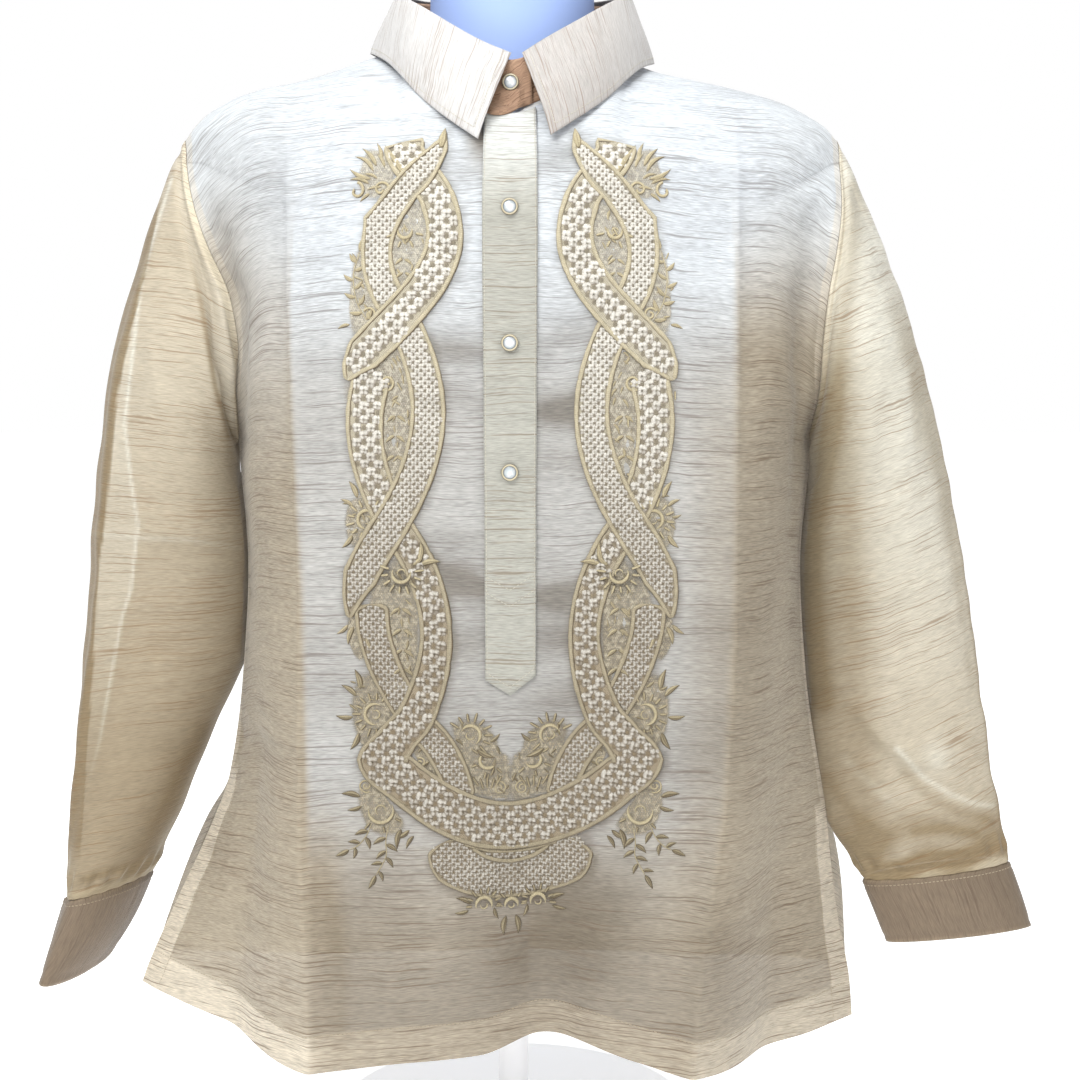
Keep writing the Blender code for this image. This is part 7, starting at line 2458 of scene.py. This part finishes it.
def materials():
    made = {}
    made["ground"] = ground_material()
    made["net"] = net_material()
    # near and far: the cloth's painted paleness over the form and its painted shade over the dark inside
    made["body"] = cloth_material("body_cloth", near=srgb(210, 214, 217), far=srgb(168, 157, 138), dark=srgb(104, 84, 64), dark_near=srgb(130, 126, 124), seed=1, band=srgb(212, 202, 184), rib=1.1, deep=0.66, sheer=0.05)
    made["sleeve"] = cloth_material("sleeve_cloth", near=srgb(222, 219, 206), far=srgb(192, 180, 158), dark=srgb(132, 104, 72), seed=20, band=srgb(226, 216, 192), sheer=0.08, rib=0.75, streak=1.0, painted_shade=(0.50, 0.43, 0.325))
    made["cuff"] = cloth_material("cuff_cloth", near=srgb(136, 123, 115), far=srgb(124, 109, 92), dark=srgb(76, 60, 50), seed=40, streak=0.9, sheer=0.0, glow=0.06, band=srgb(146, 130, 108), rib=0.8, deep=0.45)
    made["collar"] = cloth_material("collar_cloth", near=srgb(200, 198, 196), far=srgb(182, 177, 173), dark=srgb(138, 116, 100), seed=60, streak=1.1, sheer=0.0, glow=0.10, rib=0.62, deep=0.55)
    # the stand is a darker tan than the collar: partly its double cloth, partly a painted shade of the dark behind it
    made["stand"] = cloth_material("stand_cloth", near=srgb(166, 134, 110), far=srgb(166, 134, 110), dark=srgb(90, 62, 46), seed=80, sheer=0.0, glow=0.05, rib=1.2)
    made["placket"] = cloth_material("placket_cloth", near=srgb(200, 202, 199), far=srgb(170, 169, 160), dark=srgb(122, 106, 84), seed=100, streak=1.1, sheer=0.0, glow=0.10, rib=0.9)
    made["pearl"] = pearl_material()
    # the rim darkens to its foot colour, a painted shade
    made["rim"] = solid_material("button_rim", srgb(186, 176, 150), 0.32, grain=0.05, foot=srgb(70, 58, 40))
    made["form"] = solid_material("form_skin", srgb(155, 178, 228), 0.55, specular=0.35, grain=0.06)
    # the stand's base glows, a painted light that keeps it as pale as the floor in the shirt's shade; the pole glows a
    # little, a painted light too
    made["enamel"] = solid_material("stand_enamel", srgb(252, 252, 252), 0.35, coat=0.3, grain=0.03, glow=0.52)
    made["pole"] = solid_material("pole_enamel", srgb(244, 244, 246), 0.35, coat=0.3, grain=0.03, glow=0.10)
    made["thread"] = thread_material("sewing_thread", srgb(166, 152, 128), srgb(116, 100, 78), grain=0.1)
    made["edge"] = thread_material("edge_thread", srgb(186, 180, 164), srgb(136, 126, 106), grain=0.1)
    # each thread's second colour is its painted shade
    made["cord"] = thread_material("embroidery_cord", srgb(176, 166, 140), srgb(78, 62, 38), depth=0.92, grain=0.28)
    made["leaf"] = thread_material("embroidery_leaf", srgb(180, 168, 136), srgb(70, 56, 34), depth=0.95, grain=0.28)
    made["silk"] = thread_material("embroidery_silk", srgb(217, 213, 204), srgb(100, 86, 64), rough=0.4, sheen=0.35, depth=0.92, grain=0.35)
    return made


# ================================================================ camera, light, room
def build_camera():
    data = bpy.data.cameras.new("camera")
    data.sensor_width = 36.0
    data.lens = 59.8
    data.clip_start = 0.05
    camera = bpy.data.objects.new("camera", data)
    camera.location = (0.021, -1.39, 0.575)
    camera.rotation_euler = (math.radians(90 - 4.46), 0.0, 0.0)
    COLLECTION.objects.link(camera)
    bpy.context.scene.camera = camera


def area_light(name, place, target, size, power, colour=(1.0, 1.0, 1.0)):
    data = bpy.data.lights.new(name, "AREA")
    data.shape = "RECTANGLE"
    data.size, data.size_y = size
    data.energy = power
    data.color = colour
    lamp = bpy.data.objects.new(name, data)
    lamp.location = place
    lamp.rotation_euler = (Vector(target) - Vector(place)).to_track_quat("-Z", "Y").to_euler()
    COLLECTION.objects.link(lamp)


def build_room():
    world = bpy.data.worlds.new("studio")
    bpy.context.scene.world = world
    world.use_nodes = True
    tree = world.node_tree
    tree.nodes.clear()
    seen = tree.nodes.new("ShaderNodeBackground")
    seen.inputs["Color"].default_value = (1, 1, 1, 1)
    seen.inputs["Strength"].default_value = 1.0
    light = tree.nodes.new("ShaderNodeBackground")
    light.inputs["Color"].default_value = (0.97, 0.985, 1.0, 1)
    light.inputs["Strength"].default_value = WORLD_LIGHT
    path = tree.nodes.new("ShaderNodeLightPath")
    mix = tree.nodes.new("ShaderNodeMixShader")
    out = tree.nodes.new("ShaderNodeOutputWorld")
    tree.links.new(path.outputs["Is Camera Ray"], mix.inputs[0])
    tree.links.new(light.outputs[0], mix.inputs[1])
    tree.links.new(seen.outputs[0], mix.inputs[2])
    tree.links.new(mix.outputs[0], out.inputs["Surface"])

    mesh = bpy.data.meshes.new("floor")
    mesh.from_pydata([(-30, -30, 0), (30, -30, 0), (30, 30, 0), (-30, 30, 0)], [], [(0, 1, 2, 3)])
    floor = bpy.data.objects.new("floor", mesh)
    COLLECTION.objects.link(floor)
    n = Nodes("floor")
    shader = n.node("ShaderNodeBsdfPrincipled", {"Base Color": (0.80, 0.80, 0.80), "Roughness": 0.9, "Specular IOR Level": 0.1, "Emission Color": (1.0, 1.0, 1.0), "Emission Strength": FLOOR_GLOW}).outputs[0]
    mesh.materials.append(n.finish(shader))

    area_light("key", (-0.75, -1.7, 2.1), (0.0, -0.05, 0.62), (1.5, 1.1), KEY, (1.0, 0.99, 0.97))
    area_light("fill", (1.5, -1.5, 1.3), (0.05, 0.0, 0.55), (1.2, 1.2), FILL, (1.0, 0.97, 0.94))
    area_light("top", (0.0, -0.35, 2.3), (0.0, -0.02, 0.7), (1.3, 0.9), TOP, (0.95, 0.98, 1.0))
    scene = bpy.context.scene
    scene.view_settings.view_transform = "Standard"
    scene.view_settings.look = "None"
    scene.view_settings.exposure = 0.0


WORLD_LIGHT = 0.40
FLOOR_GLOW = 0.78
KEY, FILL, TOP = 46.0, 8.0, 26.0


def main():
    mats = materials()
    build_camera()
    build_room()
    kept = build_panels(mats)
    build_sleeves(mats)
    stitches, edge_stitches = Heap(), Heap()
    build_cuffs(mats, stitches)
    build_collar(mats, edge_stitches, kept["front"])
    q, nq = build_placket(mats, kept["front"], edge_stitches)
    panel_stitches(kept, stitches)
    worked = build_embroidery(mats, kept["front"])
    build_buttons(mats, q, nq, kept)
    build_form(mats)
    stitches.build("seam_stitches", mats["thread"], "body_cloth")
    edges = edge_stitches.build("edge_stitches", mats["edge"], "placket_cloth")


main()
